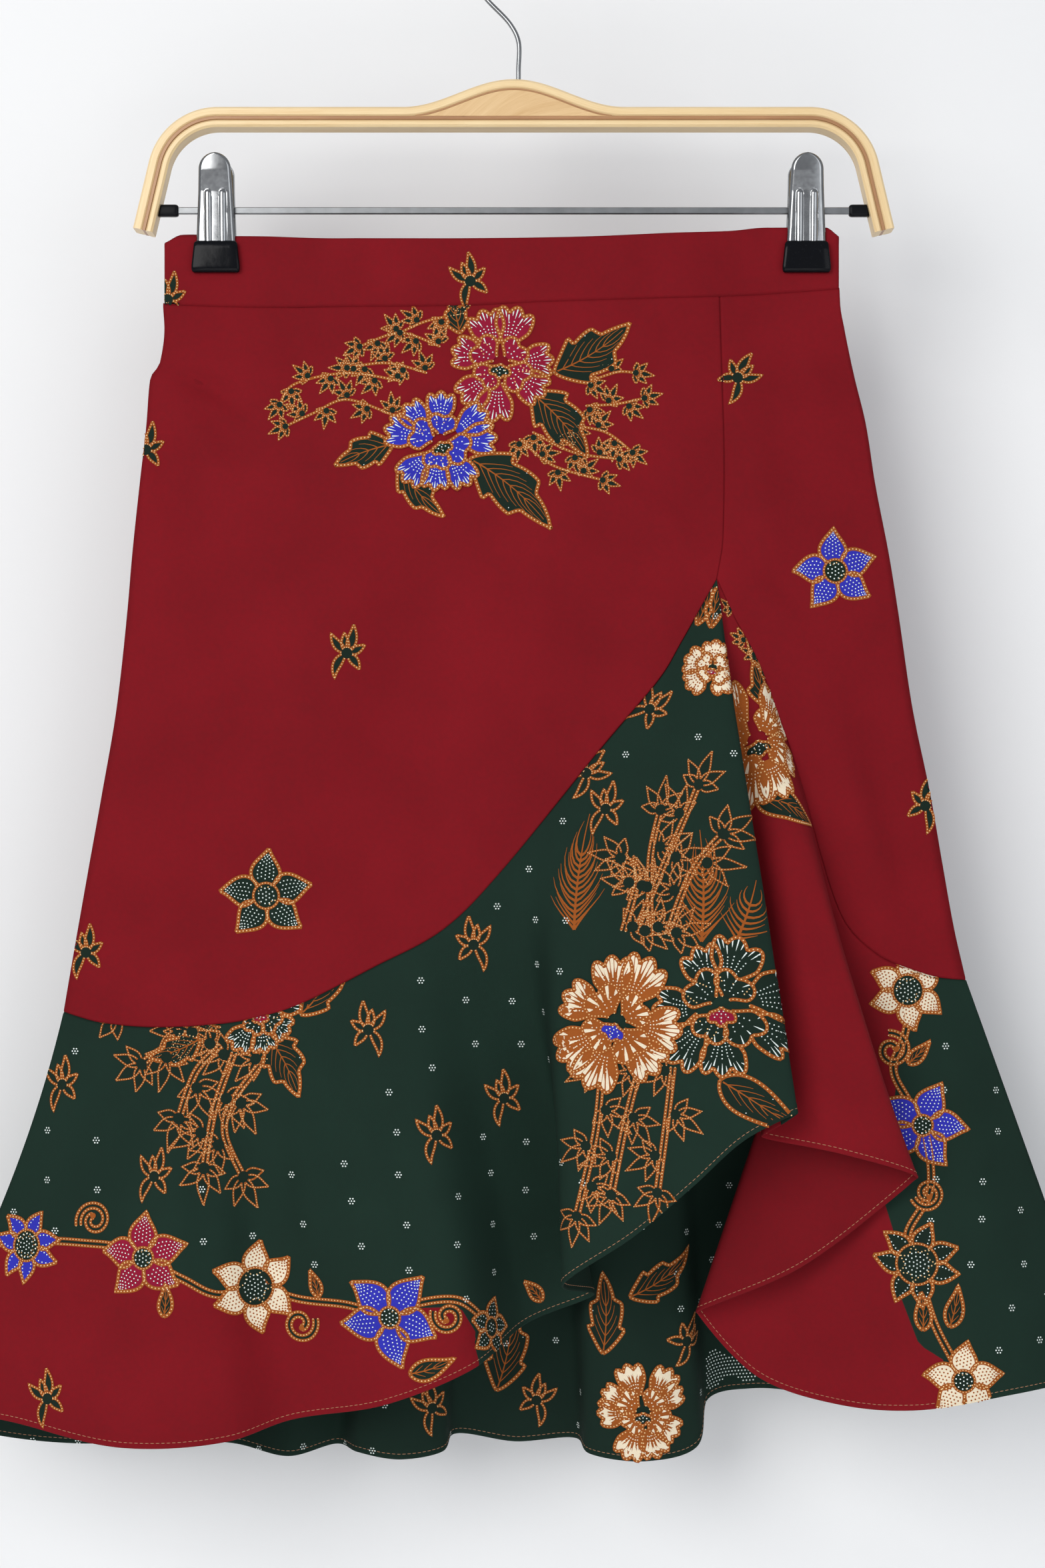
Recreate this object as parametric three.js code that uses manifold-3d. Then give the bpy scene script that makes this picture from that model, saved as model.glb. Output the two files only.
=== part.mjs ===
// A one-layer mermaid skirt with a wrap-look front, hanging from a bent-wood clip hanger.
// Millimetres. The origin is the inside top of the hook, +Z is up and the front faces -Y.
import * as THREE from 'three';
import { mergeVertices } from 'three/addons/utils/BufferGeometryUtils.js';
import Module from 'manifold-3d';

const wasm = await Module();
wasm.setup();

// Cloth
const PANEL_CLOTH = 1.2; // wall of the panels and flounces
const BAND_CLOTH = 1.8; // wall of the folded waistband
const SEAM_GAP = 0.3; // space between two pieces at a seam
const BAND_BOW = 9; // how far each waistband stands off the middle between the clips
const BOW_RAMP = 0.22; // share of the way between the clips over which the bow rises
const BAND_BLEND = 70; // below the waist seam the bow turns into the hips over this height
const HIP_ROUNDNESS = 3; // power of the cross section: higher is flatter in front
const MIDDLE = 0.4; // share of a flounce's drop at which its middle depth is given
const FOLD_STEPS = 3; // columns of wall from one flounce fold to the next
const FLOUNCE_ROWS = 8;
const PANEL_ROWS = 11;
const NARROWEST_COLUMN = 0.03; // share of the seam: closer columns below the slit are left out
const BACK_PANEL_COLUMNS = 22;
const BAND_COLUMNS = 36;
const BAND_ROWS = 2;

// Waistband, from its left end as seen to its right end
const WAIST = [
  { x: -185.6, top: -166.0, seam: -197.7 },
  { x: -177.0, top: -162.4, seam: -198.2 },
  { x: -144.5, top: -162.4, seam: -199.2 },
  { x: -90.0, top: -165.5, seam: -200.5 },
  { x: -40.0, top: -165.6, seam: -200.2 },
  { x: 20.0, top: -165.0, seam: -197.8 },
  { x: 79.0, top: -162.7, seam: -196.0 },
  { x: 109.5, top: -160.6, seam: -194.2 },
  { x: 131.0, top: -158.0, seam: -192.4 },
  { x: 161.0, top: -157.8, seam: -190.2 },
  { x: 168.0, top: -162.6, seam: -189.6 },
];

// Side seams, with how far the hips stand off the middle at each height
const SIDES = [
  { z: -157, left: -185.0, right: 167.6, fullness: 5 },
  { z: -198, left: -186.5, right: 168.8, fullness: 6 },
  { z: -211, left: -185.8, right: 171.0, fullness: 7 },
  { z: -229, left: -188.2, right: 174.6, fullness: 8 },
  { z: -237, left: -193.2, right: 176.4, fullness: 9 },
  { z: -262, left: -195.3, right: 182.4, fullness: 10 },
  { z: -291, left: -198.6, right: 186.9, fullness: 11 },
  { z: -331, left: -202.8, right: 194.6, fullness: 12 },
  { z: -357, left: -205.0, right: 198.8, fullness: 13 },
  { z: -409, left: -210.7, right: 206.5, fullness: 14 },
  { z: -456, left: -218.7, right: 216.2, fullness: 14 },
  { z: -491, left: -225.0, right: 222.3, fullness: 14 },
  { z: -526, left: -231.2, right: 228.6, fullness: 14 },
  { z: -553, left: -235.9, right: 234.8, fullness: 14 },
  { z: -570, left: -238.8, right: 238.6, fullness: 14 },
];

// Seam between the two front panels, from the waistband down to the slit point
const FRONT_SEAM = [
  { z: -195, x: 105.3 },
  { z: -237, x: 106.4 },
  { z: -284, x: 107.4 },
  { z: -320, x: 106.7 },
  { z: -343, x: 103.2 },
];

// Front flounce seam, from the left side seam up to the slit point
const LEFT_FLOUNCE_SEAM = [
  { x: -238.7, z: -569.4 },
  { x: -219.4, z: -574.7 },
  { x: -189.7, z: -576.8 },
  { x: -162.0, z: -575.4 },
  { x: -136.5, z: -571.5 },
  { x: -113.4, z: -564.2 },
  { x: -75.2, z: -544.9 },
  { x: -38.8, z: -525.0 },
  { x: -7.3, z: -493.1 },
  { x: 42.7, z: -431.5 },
  { x: 72.4, z: -396.2 },
  { x: 84.7, z: -375.9 },
  { x: 103.2, z: -343.0 },
];

// and from the slit point down to the right side seam
const RIGHT_FLOUNCE_SEAM = [
  { x: 103.2, z: -343.0 },
  { x: 112.7, z: -363.6 },
  { x: 124.9, z: -386.7 },
  { x: 136.5, z: -417.5 },
  { x: 147.3, z: -449.7 },
  { x: 156.4, z: -482.6 },
  { x: 165.2, z: -510.6 },
  { x: 173.6, z: -526.4 },
  { x: 189.0, z: -539.7 },
  { x: 204.7, z: -546.3 },
  { x: 219.8, z: -551.0 },
  { x: 234.8, z: -552.6 },
];

// Front flounce folds. along: place on the seam, 0 left side seam, 1 slit point, 2 right side seam.
// x, z: where the fold meets the hem. middle, depth: y part way down and at the hem.
// bow: how far the fold's line swings sideways part way down.
const FRONT_FOLDS = [
  { along: 0, x: -324.5, z: -776.4, middle: -0.8, depth: -0.8, bow: 9 },
  { along: 0.045, x: -267.9, z: -778.0, middle: -11, depth: -20, bow: 6 },
  { along: 0.112, x: -202.5, z: -788.3, middle: -24, depth: -36, bow: 2 },
  { along: 0.175, x: -149.4, z: -785.8, middle: -24, depth: -34, bow: 0 },
  { along: 0.233, x: -117.8, z: -778.3, middle: -17, depth: -20, bow: 0 },
  { along: 0.326, x: -66.7, z: -766.4, middle: -25, depth: -34, bow: 0 },
  { along: 0.418, x: -23.4, z: -748.2, middle: -26, depth: -36, bow: 0 },
  { along: 0.49, x: 4.2, z: -733.8, middle: -9, depth: 4, bow: 0 },
  { along: 0.575, x: 38.7, z: -720.6, middle: -6, depth: 8, bow: 0 },
  { along: 0.663, x: 22.7, z: -702.6, middle: -31, depth: -46, bow: 0 },
  { along: 0.757, x: 57.6, z: -677.1, middle: -39, depth: -56, bow: 0 },
  { along: 0.861, x: 87.4, z: -651.0, middle: -43, depth: -60, bow: 0 },
  { along: 0.945, x: 113.4, z: -627.7, middle: -44, depth: -60, bow: 0 },
  { along: 0.987, x: 139.5, z: -615.2, middle: -41, depth: -56, bow: 0 },
  { along: 1.0, x: 133.0, z: -622.0, middle: -32, depth: -47, bow: 0 },
  { along: 1.02, x: 124.5, z: -627.6, middle: -27, depth: -43, bow: 0 },
  { along: 1.05, x: 125.5, z: -630.6, middle: -19, depth: -34, bow: 0 },
  { along: 1.184, x: 163.1, z: -637.1, middle: -30, depth: -43, bow: 0 },
  { along: 1.42, x: 202.5, z: -649.4, middle: -33, depth: -39, bow: 5 },
  { along: 1.465, x: 202.5, z: -653.6, middle: -24, depth: -29, bow: 5 },
  { along: 1.564, x: 146.1, z: -700.3, middle: -15, depth: -17, bow: 0 },
  { along: 1.655, x: 94.5, z: -724.5, middle: -11, depth: -9, bow: 0 },
  { along: 1.69, x: 94.5, z: -728.5, middle: -4, depth: 0, bow: 0 },
  { along: 1.765, x: 125.6, z: -761.6, middle: -3, depth: 4, bow: 0 },
  { along: 1.818, x: 164.2, z: -772.8, middle: -9, depth: -8, bow: 0 },
  { along: 1.882, x: 203.9, z: -773.0, middle: -14, depth: -22, bow: 0 },
  { along: 1.943, x: 254.3, z: -763.7, middle: -14, depth: -26, bow: 0 },
  { along: 2, x: 308.5, z: -758.9, middle: -0.8, depth: -0.8, bow: 0 },
];
const FLOUNCE_JOIN = 14; // the fold, counted from 0, where the two front ring segments are joined

// Back flounce folds along its hem, from the left side seam to the right one
const BACK_FOLDS = [
  { x: -324.5, z: -776.6, middle: 0.8, depth: 0.8, bow: 9 },
  { x: -286.1, z: -798.8, middle: 17, depth: 30, bow: 6 },
  { x: -238.5, z: -808.1, middle: 27, depth: 44, bow: 3 },
  { x: -189.0, z: -802.3, middle: 22, depth: 30, bow: 0 },
  { x: -154.3, z: -805.7, middle: 26, depth: 36, bow: 0 },
  { x: -122.9, z: -809.1, middle: 19, depth: 23, bow: 0 },
  { x: -98.0, z: -806.6, middle: 25, depth: 38, bow: 0 },
  { x: -86.0, z: -806.6, middle: 19, depth: 22, bow: 0 },
  { x: -63.1, z: -808.8, middle: 16, depth: 16, bow: 0 },
  { x: -40.7, z: -806.9, middle: 19, depth: 24, bow: 0 },
  { x: -34.8, z: -802.6, middle: 29, depth: 43, bow: 0 },
  { x: -2.0, z: -809.0, middle: 33, depth: 52, bow: 0 },
  { x: 31.0, z: -805.6, middle: 29, depth: 46, bow: 0 },
  { x: 38.0, z: -808.3, middle: 18, depth: 25, bow: 0 },
  { x: 66.9, z: -809.7, middle: 16, depth: 15, bow: 0 },
  { x: 95.5, z: -804.5, middle: 18, depth: 25, bow: 0 },
  { x: 103.0, z: -783.3, middle: 28, depth: 43, bow: 0 },
  { x: 128.0, z: -780.1, middle: 32, depth: 52, bow: 0 },
  { x: 160.0, z: -779.6, middle: 26, depth: 38, bow: 0 },
  { x: 188.0, z: -781.4, middle: 21, depth: 26, bow: 0 },
  { x: 226.0, z: -781.7, middle: 26, depth: 42, bow: 0 },
  { x: 266.0, z: -776.9, middle: 22, depth: 36, bow: 0 },
  { x: 308.5, z: -759.2, middle: 0.8, depth: 0.8, bow: 0 },
];
const BACK_SEAM_RISE = 22; // the back flounce seam is this much higher at the middle

// Hanger
const HANGER_MIDDLE = -2.5; // x of the wood's middle
const WOOD_TOP = -95.8; // z of the straight top edge
const WOOD_DEPTH = 13;
const WOOD_THICKNESS = 10.5;
const OUTER_STRIP = 5.4; // thickness of the strip that arches over the insert
const HUMP_HEIGHT = 14.5;
const HUMP_HALF = 58;
const CORNER_RADIUS = 37;
const CORNER_AT = 184; // where the top edge and the arm's outer edge would meet
const ARM_LEAN = 13.4; // degrees from upright
const ARM_END = -159; // z of the arm's outer bottom corner
const GLUE_GAP = 0.3;
const INSERT_EDGE = 1; // the lens-shaped insert stops where it would be thinner than this
const HUMP_STEPS = 12;
const CORNER_STEPS = 10;

const HOOK_RADIUS = 23.1; // to the middle of the wire
const WIRE_RADIUS = 1.25;
const HOOK_LEAVES = 225; // degrees on the hook's circle where the shank meets it
const HOOK_TIP = -38; // degrees on the hook's circle where the wire ends
const SHANK_BEND = { x: -4.2, z: -51.1 };
const SHANK_STRAIGHT = -60; // z up to which the shank stands upright
const HOOK_STEPS = 16;
const WIRE_STEPS = 48;

const BAR_Z = -148.9;
const BAR_HEIGHT = 3.6;
const BAR_DEPTH = 2;
const CAP_INNER = 176; // from the wood's middle to the cap's inner end
const CAP_HEIGHT = 6.2;
const CAP_DEPTH = 5;

// Clips
const CLIPS = [
  { name: 'left', x: -158.5 },
  { name: 'right', x: 150.8 },
];
const PLATE = 1; // sheet metal thickness
const PLATE_TOP = -120.8;
const PLATE_BOTTOM = -165.3;
const PLATE_TOP_WIDTH = 16.4;
const PLATE_BOTTOM_WIDTH = 20;
const PLATE_REACH = 20; // deeper than the bent plate, for cutting its outline
const ROUND_TOP_STEPS = 12;
const COIL_SIDES = 20;
const COIL = { inner: 2.4, outer: 3.6, length: 14 };
// Inner face of a clip plate from the lever down: distance from the middle at each height
const PLATE_PROFILE = [
  { z: PLATE_TOP, y: 8.6 },
  { z: -129, y: 7.6 },
  { z: -140, y: 4.9 },
  { z: BAR_Z, y: 4.2 },
  { z: -158, y: 3.8 },
  { z: PLATE_BOTTOM, y: 3.0 },
];
const TIP = { top: -165.6, bottom: -182, topWidth: 22.4, bottomWidth: 26, corner: 2.4, outer: 6.2 };

const COLOURS = {
  redCloth: { color: 0x7a1420, roughness: 0.85, metalness: 0 },
  greenCloth: { color: 0x1d3a2f, roughness: 0.85, metalness: 0 },
  wood: { color: 0xe3c48f, roughness: 0.4, metalness: 0 },
  paleWood: { color: 0xd8b684, roughness: 0.4, metalness: 0 },
  wire: { color: 0xc8ccd0, roughness: 0.25, metalness: 1 },
  steel: { color: 0x9a9ea3, roughness: 0.35, metalness: 1 },
  chrome: { color: 0xd5d8db, roughness: 0.12, metalness: 1 },
  vinyl: { color: 0x14161a, roughness: 0.3, metalness: 0 },
};

const skirt = new THREE.Group();
const FORWARD = new THREE.Vector3(0, -1, 0);

function place(name, geometry, finish) {
  geometry.computeVertexNormals();
  const mesh = new THREE.Mesh(geometry, new THREE.MeshStandardMaterial(COLOURS[finish]));
  mesh.name = name;
  skirt.add(mesh);
}

const clamp = THREE.MathUtils.clamp;
const smoothstep = THREE.MathUtils.smoothstep;
const lerp = THREE.MathUtils.lerp;

// A smooth curve through a table's rows: reads one column at any value of another
function column(rows, key, value) {
  const sorted = [...rows].sort((a, b) => a[key] - b[key]);
  const at = sorted.map((row) => row[key]);
  const out = sorted.map((row) => row[value]);
  const step = (i) => (out[i + 1] - out[i]) / (at[i + 1] - at[i]);
  const slope = out.map((_, i) => {
    if (i === 0) return step(0);
    if (i === out.length - 1) return step(i - 1);
    const before = step(i - 1);
    const after = step(i);
    return before * after <= 0 ? 0 : (2 * before * after) / (before + after);
  });
  return (x) => {
    const inside = clamp(x, at[0], at[at.length - 1]);
    let i = at.findIndex((edge, k) => k > 0 && inside <= edge) - 1;
    i = Math.max(i, 0);
    const width = at[i + 1] - at[i];
    const t = (inside - at[i]) / width;
    const start = (2 * t ** 3 - 3 * t ** 2 + 1) * out[i] + (t ** 3 - 2 * t ** 2 + t) * width * slope[i];
    const end = (3 * t ** 2 - 2 * t ** 3) * out[i + 1] + (t ** 3 - t ** 2) * width * slope[i + 1];
    return start + end;
  };
}

const waistTop = column(WAIST, 'x', 'top');
const waistSeam = column(WAIST, 'x', 'seam');
const leftSide = column(SIDES, 'z', 'left');
const rightSide = column(SIDES, 'z', 'right');
const fullness = column(SIDES, 'z', 'fullness');
const frontSeam = column(FRONT_SEAM, 'z', 'x');

function seamCurve(rows) {
  const curve = new THREE.SplineCurve(rows.map((row) => new THREE.Vector2(row.x, row.z)));
  return (share) => curve.getPointAt(clamp(share, 0, 1));
}

const leftFlounceSeam = seamCurve(LEFT_FLOUNCE_SEAM);
const rightFlounceSeam = seamCurve(RIGHT_FLOUNCE_SEAM);

function backFlounceSeam(share) {
  const left = LEFT_FLOUNCE_SEAM[0];
  const right = RIGHT_FLOUNCE_SEAM[RIGHT_FLOUNCE_SEAM.length - 1];
  const rise = BACK_SEAM_RISE * Math.sin(Math.PI * share);
  return new THREE.Vector2(lerp(left.x, right.x, share), lerp(left.z, right.z, share) + rise);
}

// How far the waistband stands off the middle: nothing under and outside the clips
function bandBow(x) {
  const from = CLIPS[0].x + TIP.bottomWidth / 2 + 1;
  const to = CLIPS[1].x - TIP.bottomWidth / 2 - 1;
  const share = clamp((x - from) / (to - from), 0, 1);
  return BAND_BOW * smoothstep(share, 0, BOW_RAMP) * smoothstep(1 - share, 0, BOW_RAMP);
}

// How far a panel stands off the middle, the bow of the band turning into the round of the hips
function panelDepth(x, z) {
  const left = leftSide(z);
  const right = rightSide(z);
  const share = clamp((2 * (x - left)) / (right - left) - 1, -1, 1);
  const round = fullness(z) * (1 - Math.abs(share) ** HIP_ROUNDNESS);
  const below = smoothstep(waistSeam(x) - z, 0, BAND_BLEND);
  return (PANEL_CLOTH + SEAM_GAP) / 2 + lerp(bandBow(x), round, below);
}

// The mid-surface of a wall as rows of points, pointAt being given shares across and down
function grid(across, down, pointAt) {
  return down.map((v) => across.map((u) => pointAt(u, v)));
}

function shares(count) {
  return Array.from({ length: count + 1 }, (_, i) => i / count);
}

// Draws a wall's seam edges back by half the seam gap, square to the edge
function drawBack(points, edges) {
  const rows = points.length;
  const columns = points[0].length;
  const draw = (edge, inner, before, after) => {
    const tangent = after.clone().sub(before).normalize();
    const inward = inner.clone().sub(edge);
    inward.addScaledVector(tangent, -inward.dot(tangent)).normalize();
    return edge.clone().addScaledVector(inward, SEAM_GAP / 2);
  };
  for (const side of ['top', 'bottom'].filter((name) => edges.includes(name))) {
    const row = side === 'top' ? 0 : rows - 1;
    const next = side === 'top' ? 1 : rows - 2;
    points[row] = points[row].map((point, j, line) =>
      draw(point, points[next][j], line[Math.max(j - 1, 0)], line[Math.min(j + 1, columns - 1)]));
  }
  for (const side of ['left', 'right'].filter((name) => edges.includes(name))) {
    const j = side === 'left' ? 0 : columns - 1;
    const next = side === 'left' ? 1 : columns - 2;
    const line = points.map((row) => row[j]);
    points.forEach((row, i) => {
      row[j] = draw(line[i], row[next], line[Math.max(i - 1, 0)], line[Math.min(i + 1, rows - 1)]);
    });
  }
  return points;
}

// A closed wall of even thickness about a mid-surface. A wall that swings out from its seam
// meets it square, its top edge facing straight forward and back like the panel above.
function wall(points, thickness, squareTop = false) {
  const rows = points.length;
  const columns = points[0].length;
  const positions = [];
  const index = [];
  const vertex = (side, i, j) => side * rows * columns + i * columns + j;
  for (const side of [1, -1]) {
    for (let i = 0; i < rows; i++) {
      for (let j = 0; j < columns; j++) {
        const across = points[i][Math.min(j + 1, columns - 1)].clone();
        across.sub(points[i][Math.max(j - 1, 0)]);
        const down = points[Math.min(i + 1, rows - 1)][j].clone();
        down.sub(points[Math.max(i - 1, 0)][j]);
        const out = squareTop && i === 0 ? FORWARD : down.cross(across).normalize();
        const place = points[i][j].clone().addScaledVector(out, (side * thickness) / 2);
        positions.push(place.x, place.y, place.z);
      }
    }
  }
  const quad = (a, b, c, d) => index.push(a, b, c, a, c, d);
  for (let i = 0; i < rows - 1; i++) {
    for (let j = 0; j < columns - 1; j++) {
      quad(vertex(0, i, j), vertex(0, i + 1, j), vertex(0, i + 1, j + 1), vertex(0, i, j + 1));
      quad(vertex(1, i, j), vertex(1, i, j + 1), vertex(1, i + 1, j + 1), vertex(1, i + 1, j));
    }
  }
  for (let j = 0; j < columns - 1; j++) {
    const last = rows - 1;
    quad(vertex(0, 0, j), vertex(0, 0, j + 1), vertex(1, 0, j + 1), vertex(1, 0, j));
    quad(vertex(0, last, j + 1), vertex(0, last, j), vertex(1, last, j), vertex(1, last, j + 1));
  }
  for (let i = 0; i < rows - 1; i++) {
    const last = columns - 1;
    quad(vertex(0, i + 1, 0), vertex(0, i, 0), vertex(1, i, 0), vertex(1, i + 1, 0));
    quad(vertex(0, i, last), vertex(0, i + 1, last), vertex(1, i + 1, last), vertex(1, i, last));
  }
  const geometry = new THREE.BufferGeometry();
  geometry.setAttribute('position', new THREE.Float32BufferAttribute(positions, 3));
  geometry.setIndex(index);
  return geometry;
}

// Waistbands: the front one at -Y, the back one its mirror at +Y
function waistband(name, side) {
  const ends = [WAIST[0].x, WAIST[WAIST.length - 1].x];
  const points = grid(shares(BAND_COLUMNS), shares(BAND_ROWS), (u, v) => {
    const x = lerp(ends[0], ends[1], u);
    const stand = (BAND_CLOTH + SEAM_GAP) / 2 + bandBow(x);
    return new THREE.Vector3(x, side * stand, lerp(waistTop(x), waistSeam(x), v));
  });
  place(name, wall(drawBack(points, ['bottom']), BAND_CLOTH), 'redCloth');
}

// A panel spread between its four edges, each given as a curve of x and z
function panel(name, side, across, edges, drawn) {
  const corner = (u, v) => (v === 0 ? edges.top(u) : edges.bottom(u));
  const points = grid(across, shares(PANEL_ROWS), (u, v) => {
    const flat = edges.top(u).clone().multiplyScalar(1 - v).addScaledVector(edges.bottom(u), v);
    flat.addScaledVector(edges.left(v), 1 - u).addScaledVector(edges.right(v), u);
    flat.addScaledVector(corner(0, 0), -(1 - u) * (1 - v)).addScaledVector(corner(1, 0), -u * (1 - v));
    flat.addScaledVector(corner(0, 1), -(1 - u) * v).addScaledVector(corner(1, 1), -u * v);
    return new THREE.Vector3(flat.x, side * panelDepth(flat.x, flat.y), flat.y);
  });
  place(name, wall(drawBack(points, drawn), PANEL_CLOTH), 'redCloth');
}

function alongWaist(from, to) {
  return (u) => {
    const x = lerp(from, to, u);
    return new THREE.Vector2(x, waistSeam(x));
  };
}

// An upright edge whose x is read from a table, between two heights
function upright(edgeAt, from, to) {
  return (v) => {
    const z = lerp(from, to, v);
    return new THREE.Vector2(edgeAt(z), z);
  };
}

function numbered(folds) {
  return folds.map((fold, i) => ({ i, along: fold.along }));
}

// Fold numbers of a flounce's columns: a few from each fold to the next
function foldShares(from, to) {
  return shares((to - from) * FOLD_STEPS).map((share) => lerp(from, to, share));
}

// The front panels take their columns from the flounce below, so their seam edges match
function panels() {
  const left = leftSide(WAIST[0].seam);
  const right = rightSide(WAIST[WAIST.length - 1].seam);
  const seamTop = frontSeam(FRONT_SEAM[0].z);
  const slit = FRONT_SEAM[FRONT_SEAM.length - 1];
  const leftHeights = [waistSeam(left), LEFT_FLOUNCE_SEAM[0].z];
  const rightHeights = [waistSeam(right), RIGHT_FLOUNCE_SEAM[RIGHT_FLOUNCE_SEAM.length - 1].z];
  const joinHeights = [waistSeam(seamTop), slit.z];
  const seamShares = foldShares(0, FRONT_FOLDS.length - 1).map(column(numbered(FRONT_FOLDS), 'i', 'along'));
  const leftShares = seamShares.filter((along) => along <= 1);
  const rightShares = seamShares
    .map((along) => along - 1)
    .filter((share) => share === 0 || share > NARROWEST_COLUMN);
  panel('front_left_panel', -1, leftShares, {
    top: alongWaist(left, seamTop),
    bottom: leftFlounceSeam,
    left: upright(leftSide, ...leftHeights),
    right: upright(frontSeam, ...joinHeights),
  }, ['top', 'bottom', 'right']);
  panel('front_right_panel', -1, rightShares, {
    top: alongWaist(seamTop, right),
    bottom: rightFlounceSeam,
    left: upright(frontSeam, ...joinHeights),
    right: upright(rightSide, ...rightHeights),
  }, ['top', 'bottom', 'left']);
  panel('back_panel', 1, shares(BACK_PANEL_COLUMNS), {
    top: alongWaist(left, right),
    bottom: backFlounceSeam,
    left: upright(leftSide, ...leftHeights),
    right: upright(rightSide, ...rightHeights),
  }, ['top', 'bottom']);
}

// A flounce hangs from its seam to its hem through the folds of a table.
// It gives the point of a fold number (a fraction lies between two folds) at a share of the drop.
function flounceSurface(folds, side, seamAt) {
  const alongAt = column(numbered(folds), 'i', 'along');
  const topOf = (i) => {
    const seam = seamAt(alongAt(i));
    return new THREE.Vector3(seam.x, side * panelDepth(seam.x, seam.y), seam.y);
  };
  const hem = folds.map((fold) => new THREE.Vector3(fold.x, fold.depth, fold.z));
  const middle = folds.map((fold, i) => {
    const point = topOf(i).lerp(hem[i], MIDDLE);
    return point.setY(fold.middle).setX(point.x + (i < folds.length / 2 ? fold.bow : -fold.bow));
  });
  const hemCurve = new THREE.CatmullRomCurve3(hem, false, 'centripetal');
  const middleCurve = new THREE.CatmullRomCurve3(middle, false, 'centripetal');
  return (i, v) => {
    const share = clamp(i / (folds.length - 1), 0, 1);
    const point = topOf(i).multiplyScalar(((v - MIDDLE) * (v - 1)) / MIDDLE);
    point.addScaledVector(middleCurve.getPoint(share), (v * (v - 1)) / (MIDDLE * (MIDDLE - 1)));
    return point.addScaledVector(hemCurve.getPoint(share), (v * (v - MIDDLE)) / (1 - MIDDLE));
  };
}

function flounce(name, surface, from, to, drawn, finish) {
  const points = grid(foldShares(from, to), shares(FLOUNCE_ROWS), surface);
  place(name, wall(drawBack(points, drawn), PANEL_CLOTH, true), finish);
}

function frontFlounces() {
  const seamAt = (along) => (along <= 1 ? leftFlounceSeam(along) : rightFlounceSeam(along - 1));
  const surface = flounceSurface(FRONT_FOLDS, -1, seamAt);
  const last = FRONT_FOLDS.length - 1;
  flounce('front_left_flounce', surface, 0, FLOUNCE_JOIN, ['top', 'right'], 'greenCloth');
  flounce('front_right_flounce', surface, FLOUNCE_JOIN, last, ['top', 'left'], 'redCloth');
}

// The back flounce's folds share out its seam by their distance along the hem
function backFlounce() {
  const hem = BACK_FOLDS.map((fold) => new THREE.Vector3(fold.x, fold.depth, fold.z));
  const run = hem.map((_, i) => hem.slice(1, i + 1).reduce((sum, p, k) => sum + p.distanceTo(hem[k]), 0));
  const folds = BACK_FOLDS.map((fold, i) => ({ ...fold, along: run[i] / run[run.length - 1] }));
  const surface = flounceSurface(folds, 1, backFlounceSeam);
  flounce('back_flounce', surface, 0, folds.length - 1, ['top'], 'greenCloth');
}

// An outline of x and z given a depth from one y to another
function slab(outline, nearY, farY) {
  const shape = new THREE.Shape(outline);
  const geometry = new THREE.ExtrudeGeometry(shape, {
    depth: farY - nearY,
    bevelEnabled: false,
    curveSegments: 8,
  });
  geometry.rotateX(Math.PI / 2);
  geometry.translate(0, farY, 0);
  return geometry;
}

// The wood's edge at a distance in from its outer edge, from the left arm's end to the right one's
function woodEdge(inset, hump) {
  const lean = THREE.MathUtils.degToRad(ARM_LEAN);
  const turn = Math.PI / 2 - lean;
  const arcStart = CORNER_AT - CORNER_RADIUS * Math.tan(turn / 2);
  const centre = new THREE.Vector2(arcStart, WOOD_TOP - CORNER_RADIUS);
  const half = [];
  if (hump) {
    for (const share of shares(HUMP_STEPS)) {
      const x = share * HUMP_HALF;
      const rise = (HUMP_HEIGHT / 2) * (1 + Math.cos(Math.PI * share));
      const slope = (-HUMP_HEIGHT / 2) * (Math.PI / HUMP_HALF) * Math.sin(Math.PI * share);
      const inward = new THREE.Vector2(slope, -1).normalize().multiplyScalar(inset);
      half.push(new THREE.Vector2(x + inward.x, WOOD_TOP + rise + inward.y));
    }
  } else {
    half.push(new THREE.Vector2(0, WOOD_TOP - inset));
  }
  for (const share of shares(CORNER_STEPS)) {
    const angle = Math.PI / 2 - share * turn;
    const radius = CORNER_RADIUS - inset;
    half.push(new THREE.Vector2(Math.cos(angle), Math.sin(angle)).multiplyScalar(radius).add(centre));
  }
  const down = new THREE.Vector2(Math.sin(lean), -Math.cos(lean));
  const arcEnd = half[half.length - 1];
  const endAtOuter = (ARM_END - (centre.y + CORNER_RADIUS * Math.sin(lean))) / down.y;
  half.push(arcEnd.clone().addScaledVector(down, endAtOuter));
  const mirrored = half.slice(1).reverse().map((point) => new THREE.Vector2(-point.x, point.y));
  return [...mirrored, ...half].map((point) => new THREE.Vector2(point.x + HANGER_MIDDLE, point.y));
}

function wood() {
  const near = -WOOD_DEPTH / 2;
  const far = WOOD_DEPTH / 2;
  const lowerTop = OUTER_STRIP + GLUE_GAP;
  const outer = [...woodEdge(0, true), ...woodEdge(OUTER_STRIP, true).reverse()];
  const inner = [...woodEdge(lowerTop, false), ...woodEdge(WOOD_THICKNESS, false).reverse()];
  place('hanger_outer_strip', slab(outer, near, far), 'wood');
  place('hanger_inner_strip', slab(inner, near, far), 'wood');
  const floor = WOOD_TOP - OUTER_STRIP;
  const arch = woodEdge(lowerTop, true).filter((point) => {
    const inHump = Math.abs(point.x - HANGER_MIDDLE) < HUMP_HALF;
    return inHump && point.y > floor + INSERT_EDGE;
  });
  const last = arch.length - 1;
  arch.push(new THREE.Vector2(arch[last].x, floor), new THREE.Vector2(arch[0].x, floor));
  place('hanger_insert', slab(arch, near, far), 'paleWood');
}

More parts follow.
